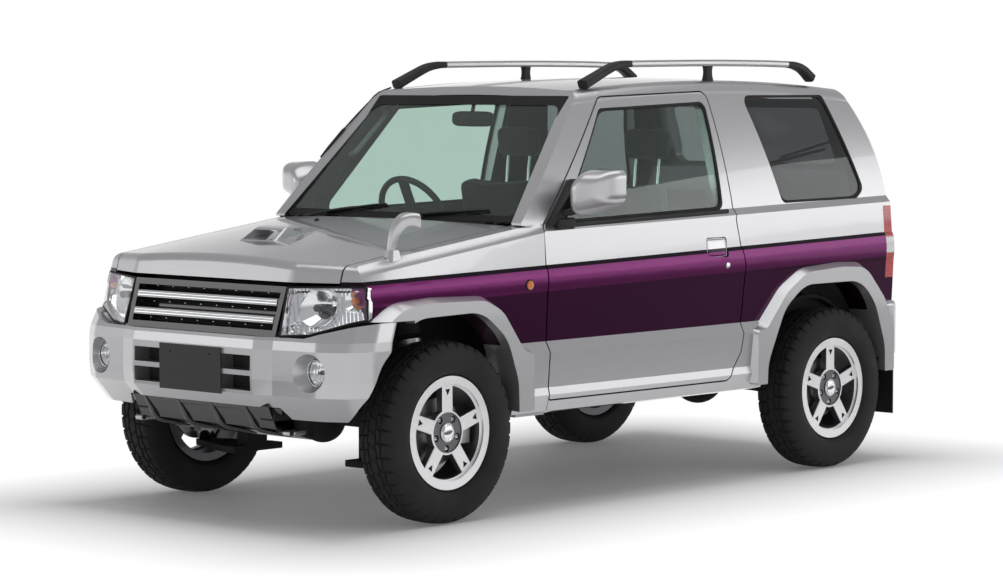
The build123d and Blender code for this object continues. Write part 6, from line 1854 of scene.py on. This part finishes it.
@dataclass
class SideTrim:
    """Quarter-window borders, side markers, tow hooks, kingpin rubbers and the fender mirror's glass."""

    quarter: Outline = (
        (-0.918, 1.098), (-0.782, 1.535), (-1.332, 1.535), (-1.487, 1.140), (-1.430, 1.104),
    )
    marker: Pair = (0.654, 0.842)
    hook: Point = (1.590, 0.398, 0.346)
    ball_joint: Point = (1.090, 0.600, 0.2255)
    kingpin: Point = (0.0, -0.20884, 1.0)

    def border(self) -> Shape:
        """Flat rubber border carried round the quarter window."""
        outline = inset(loop_path(np.array(self.quarter), 0.045, 200), 0.004)
        return strip(lay(Skin("quarter_windows"), outline, 0.0015), 0.0060, 0.0035, OUTWARD, closed=True)

    def lamp(self) -> tuple[Shape, Shape]:
        """A side marker: an amber dome in a dark ring.

        Returns:
            The dome and the ring, on the left.
        """
        about = 0.02 * np.array([[0, 0], [1, 0], [-1, 0], [0, 1], [0, -1], [1, 1], [-1, -1]])
        at = tuple(lay(Skin("front_fenders"), np.array(self.marker) + about)[0])
        dome = np.array([[0.0, 0.0120], [0.007, 0.0114], [0.013, 0.0090], [0.0168, 0.0048], [0.0172, -0.006],
                         [0.0, -0.006]])
        ring = np.array([[0.0172, -0.006], [0.0172, 0.0030], [0.0190, 0.0036], [0.0212, 0.0018],
                         [0.0216, -0.006], [0.0172, -0.006]])
        return lathe(dome, 36, at), lathe(ring, 36, at)

    def hooks(self) -> Shape:
        """A bent bar, down one arm, round the bow and back.

        Returns:
            The hook, on the left.
        """
        x, y, z = self.hook
        inner = [[x - 0.062, y - 0.020, z], [x - 0.03, y - 0.020, z], [x - 0.006, y - 0.019, z],
                 [x + 0.001, y - 0.010, z]]
        outer = [[a, 2 * y - b, c] for a, b, c in inner[::-1]]
        return tube(smooth_path(np.array(inner + outer), 60), 0.0094, 14)

    def rubbers(self) -> Shape:
        """Bellows on the lower ball joint and a bearing ring on the strut's seat, both turned.

        Returns:
            Both rubbers, on the left.
        """
        boot = np.array([[0.0, -0.0165], [0.020, -0.0165], [0.025, -0.0110], [0.020, -0.0060],
                         [0.023, -0.0005], [0.017, 0.0040], [0.019, 0.0085], [0.012, 0.0120],
                         [0.011, 0.0155], [0.0, 0.0155]])
        ring = np.array([[0.016, 0.4390], [0.038, 0.4390], [0.043, 0.4425], [0.040, 0.4475], [0.043, 0.4525],
                         [0.038, 0.4559], [0.016, 0.4559], [0.016, 0.4390]])
        return Shape.join([lathe(boot, 32, self.ball_joint, UP),
                           lathe(ring, 32, self.ball_joint, self.kingpin)])

    def build(self) -> None:
        """Makes the pieces of both sides."""
        for side in Side:
            dome, ring = self.lamp()
            build_rows(
                side, "body",
                ("quarter_border", self.border(), SEAL),
                ("side_marker", dome, AMBER_LENS),
                ("side_marker_ring", ring, BLACK_PLASTIC),
                ("tow_hook_bar", self.hooks(), PAINT),
                ("kingpin_rubbers", self.rubbers(), SEAL),
            )
        back = np.array([1.2205, 0.6673, 1.094])
        glass = plate(tuple(back), UP, (0.35, 1.0, 0.0), (0.0255, 0.046), 0.0022, 0.0010)
        glass.build("fender_mirror_glass", MIRROR_GLASS, "body")


@dataclass
class Windscreen:
    """Dark border of the screen, wipers, washer jets, inner mirror and aerial."""

    foot: Pair = (0.6435, 1.070)
    head: Pair = (0.5235, 1.536)
    wipers: Outline = ((0.060, 0.470), (-0.470, -0.060))
    jets: Outline = ((0.835, 0.235), (0.835, -0.235))

    @staticmethod
    def at_height(yz: Array, lift: float) -> Array:
        """Points on the screen by side place and height: the run up the glass is solved from Z."""
        y, z = yz.T
        run = (z - SCREEN_FOOT[1] - SCREEN_NORMAL[2] * screen_out(y, lift)) / SCREEN_NORMAL[0]
        return on_screen(y, run, lift)

    def border(self) -> Shape:
        """Frame on the glass: a thin band between an outer and an inner outline.

        Returns:
            The frame.
        """
        foot, head = self.foot, self.head
        outer = np.array([foot, head, (-head[0], head[1]), (-foot[0], foot[1])])
        inner = outer + np.array([[-0.034, 0.022], [-0.026, -0.036], [0.026, -0.036], [0.034, 0.022]])
        rings = [loop_path(outer, 0.03, 280), loop_path(inner, 0.045, 280)]
        order = ((0, 0.0016), (1, 0.0016), (1, -0.0005), (0, -0.0005))
        rows = [self.at_height(rings[k], lift) for k, lift in order]
        return Shape.grid(np.stack(rows, axis=1), wrap_u=True, wrap_v=True)

    def wiper(self, pivot: float, tip: float) -> Shape:
        """One wiper: a capped pivot, a tapering arm and a blade that lies on the glass.

        Args:
            pivot: Y of the pivot.
            tip: Y of the blade's far end.

        Returns:
            The wiper.
        """
        cap = np.array([[0.0, 0.0165], [0.006, 0.0160], [0.0105, 0.0135], [0.0125, 0.0090], [0.0130, -0.002],
                        [0.0, -0.002]])
        way = np.linspace(0, 1, 30)
        lift = 0.0105 + 0.004 * np.sin(np.pi * way)
        arm = on_screen(pivot + (tip - pivot) * 0.62 * way, 0.046 * way - 0.016, lift)
        blade_y = pivot + (tip - pivot) * (0.26 + 0.74 * way)
        blade = on_screen(blade_y, 0.004 + 0.048 * way, 0.0052)
        spine = on_screen(blade_y, 0.004 + 0.048 * way, 0.0105)[4:-4]
        bow = 0.6 + 0.4 * np.sin(np.pi * way[4:-4])
        return Shape.join([
            lathe(cap, 24, tuple(on_screen(pivot, -0.016, 0.0)), SCREEN_NORMAL),
            sweep(arm, rounded_outline(0.0065, 0.0028, 0.002, 4), SCREEN_NORMAL, scale=1.0 - 0.35 * way),
            sweep(blade, rounded_outline(0.0028, 0.0048, 0.002, 4), SCREEN_NORMAL),
            sweep(spine, rounded_outline(0.0046, 0.0020, 0.0016, 4), SCREEN_NORMAL, scale=bow),
        ])

    def jet(self, x: float, y: float) -> Shape:
        """A washer jet: a low turned nozzle on the bonnet.

        Args:
            x: Its place along the car.
            y: Its place across.

        Returns:
            The nozzle.
        """
        at = Skin("bonnet").drop(np.array([x, y, ABOVE_Z]), DOWN)
        nozzle = np.array([[0.0, 0.0085], [0.004, 0.0082], [0.0072, 0.0062], [0.0098, 0.0022],
                           [0.0104, -0.003], [0.0, -0.003]])
        return lathe(nozzle, 20, tuple(at), (0.13, 0.0, 1.0))

    def mirror(self) -> dict[str, Shape]:
        """The inner mirror: a shell that narrows to its ends, its glass and a curved stalk.

        Returns:
            The pieces by name.
        """
        y = np.linspace(-0.110, 0.110, 40)
        size = np.clip(1 - np.abs(y / 0.110) ** 6, 0.02, 1) ** 0.5
        shell = sweep(xyz(0.2055, y, 1.442),
                      rounded_outline(0.0300, 0.0115, 0.009, 5), FORWARD, scale=0.35 + 0.65 * size)
        glass = plate((0.1945, 0.0, 1.442), UP, OUTWARD, (0.024, 0.098), 0.0012, 0.0)
        knots = np.array([[0.209, 0.0, 1.448], [0.207, 0.0, 1.480], [0.196, 0.0, 1.510], [0.178, 0.0, 1.537]])
        stalk = tube(smooth_path(knots, 24), 0.0075, 14, OUTWARD)
        return {"shell": shell, "glass": glass, "stalk": stalk}

    def aerial(self) -> Shape:
        """A mast that lies along the right-hand screen pillar, on two turned stand-offs.

        Returns:
            The mast and its stand-offs.
        """
        x = np.linspace(0.430, 0.130, 30)
        y = -0.512 - (x - 0.198) * 0.324 - 0.030
        above = xyz(x, y, ABOVE_Z)
        skin = Skin("body_side_right", "roof_panel").drop(above, DOWN)
        mast = skin + np.array([0.012, 0.0, 0.012])
        post = np.array([[0.0, 0.020], [0.0062, 0.019], [0.0075, 0.012], [0.0090, 0.003], [0.0100, -0.006],
                         [0.0, -0.006]])
        stand = [lathe(post, 20, tuple(skin[k]), (0.7, 0.0, 0.7)) for k in (2, 24)]
        size = np.where(x > 0.33, 1.7, 1.0)
        return Shape.join([sweep(mast, circle(0.0036, 12), OUTWARD, scale=size), *stand])

    def build(self) -> None:
        """Makes the pieces round the screen."""
        self.border().build("windscreen_border", SEAL, "body")
        wipers = Shape.join([self.wiper(*pair) for pair in self.wipers])
        made = wipers.build("wiper_arms_and_blades", BLACK_PLASTIC, "body")
        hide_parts("windscreen_wipers")
        Shape.join([self.jet(*place) for place in self.jets]).build("washer_jets", BLACK_PLASTIC, "bonnet")
        finishes = {"shell": BLACK_PLASTIC, "glass": MIRROR_GLASS, "stalk": BLACK_PLASTIC}
        for name, shape in self.mirror().items():
            piece = shape.build(f"inner_mirror_{name}", finishes[name], "body")
            if name == "shell":
                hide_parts("rear_view_mirror")
        self.aerial().build("aerial_mast", BLACK_PLASTIC, "body")


# Cabin

CLOTH_QUALITY = 4
CLOTH_MASS = 0.25
CLOTH_PRESSURE = 4.0
CLOTH_FRAMES = 20
SEAM_WIDTH = 0.006
SEAM_DEPTH = 0.008


@dataclass(frozen=True)
class Pad:
    """A padded piece of a seat: a rounded block bent to the seat's line, then blown up as cloth."""

    name: str
    node: str
    centre: Point
    lean: float
    half: Point
    edge: float
    bolster: float
    dish: float
    channels: tuple[float, ...]
    cross: tuple[float, ...] = ()
    voxel: float = 0.007
    cap: float = 0.024
    waist: float = 0.03

    def block(self) -> Shape:
        """The slack pad: a rounded box whose sides pull in, with raised flanks and a dished middle.

        The first axis runs along the seat, the second across it and the third out of its face;
        the face rises with the fourth power of the distance across, and falls by a parabola along.

        Returns:
            The shape in the car's place.
        """
        shape = rounded_box((0.0, 0.0, 0.0), self.half, self.edge, 6)
        a, b, c = shape.points.T / np.array(self.half)[:, None]
        pull = 1 - self.waist * (1 - np.clip(a, -1, 1) ** 2) * np.abs(b) ** 3
        face = np.clip(c, 0, 1)
        rise = face * (self.bolster * np.abs(b) ** 4 - self.dish * (1 - np.clip(a, -1, 1) ** 2) * (1 - b**2))
        local = shape.points * xyz(1.0, pull, 1.0)
        local[:, 2] += rise
        return Shape(local, shape.faces).turned(OUTWARD, self.lean).moved(self.centre)

    def local(self, points: Array) -> Array:
        """Points of the car in the pad's own axes."""
        return (points - np.array(self.centre)) @ rotation(OUTWARD, self.lean)

    def swollen(self) -> Mesh:
        """The pad as an even mesh, swollen by air pressure inside a cloth skin.

        Each point's move is held under the cap, and fades out on the side that the pad rests on.

        Returns:
            The mesh, with its sewn channels pressed in.
        """
        scene = bpy.context.scene
        holder = self.plain_object(self.block())
        remesh = holder.modifiers.new("even_mesh", "REMESH")
        remesh.mode = "VOXEL"
        remesh.voxel_size = self.voxel
        mesh = self.evaluated(holder)
        start = mesh_points(mesh)
        moved = start
        bag = placed(self.name + "_bag", mesh)
        cloth = bag.modifiers.new("cloth", "CLOTH")
        cloth.settings.quality = CLOTH_QUALITY
        cloth.settings.mass = CLOTH_MASS
        cloth.settings.use_pressure = True
        cloth.settings.uniform_pressure_force = CLOTH_PRESSURE
        cloth.settings.effector_weights.gravity = 0.0
        cloth.point_cache.frame_start, cloth.point_cache.frame_end = 1, CLOTH_FRAMES
        for frame in range(1, CLOTH_FRAMES + 1):
            scene.frame_set(frame)
        blown = self.evaluated(bag)
        step = mesh_points(blown) - start
        far = np.linalg.norm(step, axis=1, keepdims=True)
        moved = start + step * np.minimum(1, self.cap / np.maximum(far, 1e-9))
        scene.frame_set(1)
        bpy.data.objects.remove(bag)
        bpy.data.meshes.remove(blown)
        below = np.clip((self.local(start)[:, 2] / self.half[2] + 0.95) / 0.5, 0, 1)[:, None]
        final = self.sewn(start + (moved - start) * below)
        mesh.vertices.foreach_set("co", final.astype(np.float32).ravel())
        bpy.data.objects.remove(holder)
        return mesh

    def sewn(self, points: Array) -> Array:
        """Presses stitched channels into the face: each is a narrow bell across its own line.

        Args:
            points: The pad's points in the car.

        Returns:
            The points with the channels pressed in.
        """
        place = self.local(points)
        face = np.clip(place[:, 2] / self.half[2], 0, 1)
        away = np.abs(place[:, 1])
        inner = away < max(self.channels, default=1.0)
        dip = np.zeros(len(place))
        for line in self.channels:
            dip = dip + np.exp(-(((away - line) / SEAM_WIDTH) ** 2))
        for line in self.cross:
            dip = dip + inner * np.exp(-(((place[:, 0] - line) / SEAM_WIDTH) ** 2))
        place[:, 2] -= SEAM_DEPTH * np.minimum(dip, 1) * face
        return place @ rotation(OUTWARD, self.lean).T + np.array(self.centre)

    @staticmethod
    def plain_object(shape: Shape) -> Object:
        """A bare object of a shape, to be remeshed."""
        mesh = shape.mesh("slack_pad")
        weld(mesh)
        return placed("slack_pad", mesh)

    @staticmethod
    def evaluated(thing: Object) -> Mesh:
        """A new mesh of an object as its modifiers leave it."""
        graph = bpy.context.evaluated_depsgraph_get()
        return bpy.data.meshes.new_from_object(thing.evaluated_get(graph))

    def build(self, both: bool) -> None:
        """Makes the pad, and its mirror image where the seat has one.

        Args:
            both: Whether the other seat gets the same pad.
        """
        mesh = self.swollen()
        for side in Side if both else (Side.LEFT,):
            shape_mesh = mesh if side is Side.LEFT else mesh.copy()
            if side is Side.RIGHT:
                points = mesh_points(shape_mesh) * MIRROR
                shape_mesh.vertices.foreach_set("co", points.astype(np.float32).ravel())
                shape_mesh.flip_normals()
            shape_mesh.shade_smooth()
            shape_mesh.materials.clear()
            shape_mesh.materials.append(SEAT_CLOTH.material())
            name = f"{side.name.lower()}_{self.name}" if both else self.name
            pad = placed(name, shape_mesh)
            smooth = pad.modifiers.new("smooth", "SUBSURF")
            smooth.levels = smooth.render_levels = 1
            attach(pad, "body")
            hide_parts(self.node)
            LOG.info("%s: %d faces, padded", name, len(shape_mesh.polygons))


SEAT_PADS = (
    (Pad("seat_cushion", "front_seats", (-0.118, 0.348, 0.582), -0.075, (0.228, 0.192, 0.066), 0.045, 0.022,
         0.014,
         (0.115,), (-0.06, 0.07)), True),
    (Pad("seat_backrest", "front_seats", (-0.352, 0.348, 0.905), -1.397, (0.295, 0.190, 0.048), 0.040, 0.026,
         0.012,
         (0.110,), (-0.12, 0.02, 0.15)), True),
    (Pad("seat_headrest", "front_seats", (-0.438, 0.348, 1.340), -1.450, (0.060, 0.108, 0.032), 0.030, 0.004,
         0.0,
         (), (), 0.006, 0.012), True),
    (Pad("rear_cushion", "rear_seat", (-0.700, 0.0, 0.592), -0.10, (0.170, 0.495, 0.058), 0.042, 0.010, 0.010,
         (0.012, 0.250), (0.06,), 0.009), False),
    (Pad("rear_backrest", "rear_seat", (-0.925, 0.0, 0.905), -1.310, (0.270, 0.495, 0.040), 0.034, 0.010,
         0.008,
         (0.012, 0.250), (-0.10, 0.12), 0.009), False),
)


@dataclass
class Cabin:
    """Seat frames, headrest posts, bench plinth, dash hoods, vents, wheel boss, grab bar and pads."""

    seat_y: float = 0.348
    posts: float = 0.060

    def seat_frame(self) -> Shape:
        """Two rails on the floor, a side skirt each and a cross bar, all rounded bars.

        Returns:
            The left seat's frame.
        """
        rails = []
        for y in (self.seat_y - 0.150, self.seat_y + 0.150):
            x = np.linspace(-0.330, 0.080, 30)
            dip = 0.012 * np.cos(np.linspace(-1.3, 1.3, 30))
            rails.append(sweep(xyz(x, y, 0.432),
                               rounded_outline(0.018, 0.015, 0.006, 4), UP))
            rails.append(sweep(xyz(x[3:-3], y, 0.482 + dip[3:-3]),
                               rounded_outline(0.010, 0.036, 0.006, 4), UP))
        y = self.seat_y
        bar = np.array([[-0.02, y - 0.15, 0.470], [0.0, y, 0.478], [-0.02, y + 0.15, 0.470]])
        rails.append(tube(smooth_path(bar, 16), 0.011))
        return Shape.join(rails)

    @staticmethod
    def plinth() -> Shape:
        """Box under one half of the bench, set back at its foot: an outline carried across the car.

        Returns:
            The left half's box.
        """
        outline = np.array([[-0.885, 0.418], [-0.600, 0.418], [-0.588, 0.470], [-0.548, 0.484],
                            [-0.548, 0.545], [-0.885, 0.545]])
        y = np.array([0.128, 0.132, 0.300, 0.496, 0.500])
        draw = np.array([0.990, 1.0, 1.0, 1.0, 0.990])
        count = 120
        ring = loop_path(outline, 0.012, count)
        middle = ring.mean(axis=0)
        flat = middle + (ring - middle) * draw[:, None, None]
        rows = xyz(flat[..., 0], y[:, None], flat[..., 1])
        shape = Shape.grid(rows, wrap_v=True)
        first = np.arange(count)
        shape.faces += [first[None, ::-1], (first + (len(y) - 1) * count)[None]]
        return shape

    def headrest_posts(self) -> Shape:
        """Two bright posts from the backrest into the headrest.

        Returns:
            The left seat's posts.
        """
        posts = []
        for y in (self.seat_y - self.posts, self.seat_y + self.posts):
            path = smooth_path(np.array([[-0.428, y, 1.165], [-0.434, y, 1.230], [-0.444, y, 1.300]]), 14)
            posts.append(tube(path, 0.0065, 12, OUTWARD))
        return Shape.join(posts)

    @staticmethod
    def hump(centre: Point, half: Point, sharp: float) -> Shape:
        """A hood on the dash: its height falls by a power of the distance from its middle.

        Args:
            centre: Middle of its foot.
            half: Half its length and width, and its height.
            sharp: The power.

        Returns:
            The closed hood.
        """
        flat, edge = pillow_grid(half[:2], 0.7, 33)
        rise = half[2] * (1 - edge**sharp) ** 0.6
        top, low = (np.asarray(centre) + xyz(flat[..., 0], flat[..., 1], z) for z in (rise, -0.012))
        return slab(top, low)

    @staticmethod
    def vents() -> Shape:
        """Round air vents on the dash's rear face: a rim and slats each.

        Returns:
            All four vents.
        """
        pieces = []
        ring = np.array([[0.034, -0.004], [0.036, 0.006], [0.040, 0.008], [0.043, 0.004], [0.043, -0.006],
                         [0.034, -0.004]])
        for y in (-0.485, -0.115, 0.115, 0.485):
            at = np.array([0.3262, y, 0.905])
            pieces.append(lathe(ring, 32, tuple(at), (-1.0, 0.0, 0.05)))
            for z in (-0.018, 0.0, 0.018):
                reach = math.sqrt(0.033**2 - z**2)
                y_run = np.linspace(-reach, reach, 8)
                path = at + xyz(0.002, y_run, z)
                pieces.append(sweep(path, rounded_outline(0.006, 0.0015, 0.001, 3), (0.3, 0.0, 1.0)))
        return Shape.join(pieces)

    @staticmethod
    def boss() -> Shape:
        """The steering wheel's pad: a soft-cornered cushion shape over the hub and spokes.

        Returns:
            The pad, in the wheel's plane.
        """
        tilt = math.radians(25)
        along = np.array([-math.cos(tilt), 0.0, math.sin(tilt)])
        up = np.array([math.sin(tilt), 0.0, math.cos(tilt)])
        centre = np.array([0.176, -0.348, 1.040]) + 0.002 * along - 0.004 * up
        return plate(tuple(centre), tuple(np.cross(up, along)), tuple(up), (0.078, 0.058), 0.016, 0.010)

    @staticmethod
    def grab_bar() -> Shape:
        """A hand bar by the right-hand screen pillar, on two turned-in ends.

        Returns:
            The bar.
        """
        knots = np.array([[0.345, -0.580, 1.290], [0.335, -0.530, 1.305], [0.300, -0.515, 1.345],
                          [0.250, -0.500, 1.400], [0.215, -0.490, 1.440], [0.190, -0.500, 1.465],
                          [0.180, -0.540, 1.475]])
        return tube(smooth_path(knots, 40), 0.0115, 14)

    def build(self) -> None:
        """Makes the cabin's pieces; the pads come last, because they take the longest."""
        for side in Side:
            build_rows(
                side, "body",
                ("seat_frame", self.seat_frame(), BLACK_PLASTIC),
                ("headrest_posts", self.headrest_posts(), CHROME),
                ("bench_plinth", self.plinth(), CABIN),
            )
        self.hump((0.420, -0.348, 1.010), (0.085, 0.170, 0.050), 3.0).build("binnacle_hood", CABIN, "body")
        self.hump((0.450, 0.020, 1.010), (0.075, 0.120, 0.030), 4.0).build("dash_centre_hood", CABIN, "body")
        self.vents().build("dash_vents", BLACK_PLASTIC, "body")
        self.boss().build("wheel_boss", CABIN, "steering_wheel")
        self.grab_bar().build("pillar_grab_bar", GRAB_GREY, "body")
        for pad, both in SEAT_PADS:
            pad.build(both)


# Tail and roof


@dataclass
class RoofRail:
    """One roof rail: a satin bar between two curved black feet, with a black foot in the middle."""

    side: Side
    foot: tuple[Point, ...] = (
        (0.128, 0.502, 1.578), (0.060, 0.502, 1.606), (-0.040, 0.501, 1.645), (-0.105, 0.500, 1.657),
        (-0.150, 0.4995, 1.659),
    )
    bar: tuple[Point, ...] = (
        (-0.145, 0.4995, 1.659), (-0.400, 0.497, 1.6625), (-0.700, 0.493, 1.6650), (-1.000, 0.490, 1.664),
        (-1.165, 0.488, 1.661),
    )
    tail: tuple[Point, ...] = (
        (-1.160, 0.488, 1.661), (-1.215, 0.488, 1.656), (-1.268, 0.488, 1.640), (-1.325, 0.488, 1.604),
    )
    middle: float = -0.640

    def build(self) -> None:
        """Makes the bar and the feet, which stand for the CAD rails."""
        bar = sweep(smooth_path(np.array(self.bar), 60), rounded_outline(0.0165, 0.0135, 0.009, 6), UP)
        grow = np.linspace(0, 1, 40)
        ends = ((self.foot, 1.45 - 0.45 * grow), (self.tail, 1.0 + 0.45 * grow))
        section = rounded_outline(0.0170, 0.0130, 0.008, 6)
        feet = [sweep(smooth_path(np.array(knots), 40), section, UP, scale=size) for knots, size in ends]
        made = build_rows(
            self.side, "body",
            ("rail_bar", bar, RAIL_SATIN),
            ("rail_feet", Shape.join([*feet, self.middle_foot()]), BLACK_PLASTIC),
        )
        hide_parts("roof_rails")

    def middle_foot(self) -> Shape:
        """A waisted post from the roof to the bar: an oval that narrows half way up.

        Returns:
            The post, on the left.
        """
        rise = np.linspace(0, 1, 12)
        base = Skin("roof_panel", "body_side_left").drop(np.array([self.middle, 0.494, ABOVE_Z]), DOWN)
        z = base[2] - 0.003 + (1.668 - base[2]) * rise
        path = xyz(self.middle, 0.494, z)
        waist = 1 - 0.25 * np.sin(np.pi * rise)
        return sweep(path, rounded_outline(0.030, 0.014, 0.013, 6), OUTWARD, scale=waist)


@dataclass
class Tail:
    """Handle, wiper, stop lamp, spare-cover beads and bumper reflectors."""

    spare: Point = (-1.6975, 0.0, 0.862)
    cover_radius: float = 0.3385

    @staticmethod
    def on_back(skin: Skin, yz: Array, lift: float) -> Array:
        """Points of (y, z) laid on the car's back, lifted off it backwards."""
        start = xyz(BEHIND_X, yz[..., 0], yz[..., 1])
        return skin.drop(start, FORWARD) - np.array([lift, 0.0, 0.0])

    def handle(self) -> tuple[Shape, Shape]:
        """The gate's pull: a grip with tapered ends in front of a dished plate.

        Returns:
            The plate and the grip.
        """
        skin = Skin("tailgate")
        mid = self.on_back(skin, np.array([0.455, 0.905]), 0.0)
        dish = plate(tuple(mid), UP, OUTWARD, (0.026, 0.064), 0.004, 0.002)
        y = np.linspace(-0.052, 0.052, 30)
        bow = np.sin(np.linspace(0, np.pi, 30)) ** 0.5
        path = mid + xyz(-0.004 - 0.016 * bow, y, 0.0)
        return dish, sweep(path, rounded_outline(0.011, 0.0055, 0.005, 5), FORWARD, scale=0.55 + 0.45 * bow)

    def wiper(self) -> Shape:
        """The rear wiper: a domed pivot on the gate, a tapering arm and a blade along the glass.

        Returns:
            The wiper.
        """
        skin = Skin("tailgate", "tailgate_glass")
        pivot = self.on_back(skin, np.array([0.0, 1.224]), 0.0)
        cap = np.array([[0.0, 0.024], [0.012, 0.023], [0.019, 0.017], [0.022, 0.006], [0.023, -0.004],
                        [0.0, -0.004]])
        y = np.linspace(0.0, 0.330, 30)
        run = np.stack([y, 1.226 + 0.075 * (y / 0.330)], axis=1)
        met = self.on_back(skin, run, 0.0)
        arm = xyz(np.minimum.accumulate(met[:, 0]) - 0.014, met[:, 1], met[:, 2])
        over = np.stack([np.linspace(0.110, 0.385, 30), np.linspace(1.262, 1.332, 30)], axis=1)
        blade = self.on_back(Skin("tailgate_glass"), over, 0.008)
        size = 1.0 - 0.4 * np.linspace(0, 1, 30)
        return Shape.join([
            lathe(cap, 28, tuple(pivot), BACKWARD),
            sweep(arm, rounded_outline(0.009, 0.005, 0.004, 4), FORWARD, scale=size),
            sweep(blade, rounded_outline(0.005, 0.007, 0.003, 4), FORWARD),
        ])

    def cover_beads(self) -> Shape:
        """Rolled beads round the spare's cover: rings carried round its edge and its face.

        Returns:
            Both beads.
        """
        turn = np.linspace(0, 2 * np.pi, 120, endpoint=False)
        x, _, z = self.spare
        rings = []
        for radius, depth, bead in ((self.cover_radius + 0.0015, 0.062, 0.0045), (0.245, 0.0012, 0.0012)):
            y, up = radius * np.cos(turn), z + radius * np.sin(turn)
            path = xyz(x + depth + bead, y, up)
            rings.append(sweep(path, circle(bead, 8), FORWARD, closed=True))
        return Shape.join(rings)

    def reflector(self) -> Shape:
        """A red reflector plate on the rear bumper, its face slightly crowned."""
        at = self.on_back(Skin("rear_bumper"), np.array([0.520, 0.474]), -0.006)
        return plate(tuple(at), UP, OUTWARD, (0.018, 0.046), 0.010, 0.001)

    def stop_lamp(self) -> Shape:
        """A narrow lamp over the gate's glass, bowed along its length.

        Returns:
            The lamp.
        """
        y = np.linspace(-0.130, 0.130, 30)
        met = self.on_back(Skin("tailgate"), np.stack([y, np.full(30, 1.508)], axis=1), 0.004)
        ends = np.clip(1 - np.abs(y / 0.130) ** 8, 0.05, 1) ** 0.5
        return sweep(met, rounded_outline(0.012, 0.007, 0.006, 5), FORWARD, scale=ends)

    def build(self) -> None:
        """Makes the tail's pieces."""
        dish, grip = self.handle()
        dish.build("gate_handle_dish", BLACK_PLASTIC, "tailgate")
        grip.build("gate_handle_grip", PAINT, "tailgate")
        self.wiper().build("rear_wiper", BLACK_PLASTIC, "tailgate")
        self.cover_beads().build("spare_cover_beads", PAINT, "tailgate")
        self.stop_lamp().build("high_stop_lamp", RED_LENS, "tailgate")
        for side in Side:
            build_rows(side, "body", ("rear_reflector", self.reflector(), RED_LENS))


def write_sizes() -> None:
    """Updates the view layer."""
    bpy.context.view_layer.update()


def main() -> None:
    """Builds the studio, dresses the CAD nodes and adds every piece in order."""
    logging.basicConfig(level=logging.INFO, format="%(name)s %(message)s")
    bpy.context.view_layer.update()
    Studio().build()
    dress_nodes()
    for corner in Corner:
        Wheel(corner).build()
    for side in Side:
        Headlamp(side).build()
        DoorTrim(side).build()
    Nose().build()
    SideTrim().build()
    Windscreen().build()
    for side in Side:
        RoofRail(side).build()
    Tail().build()
    Cabin().build()
    write_sizes()


if __name__ == "__main__":
    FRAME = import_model()
    main()
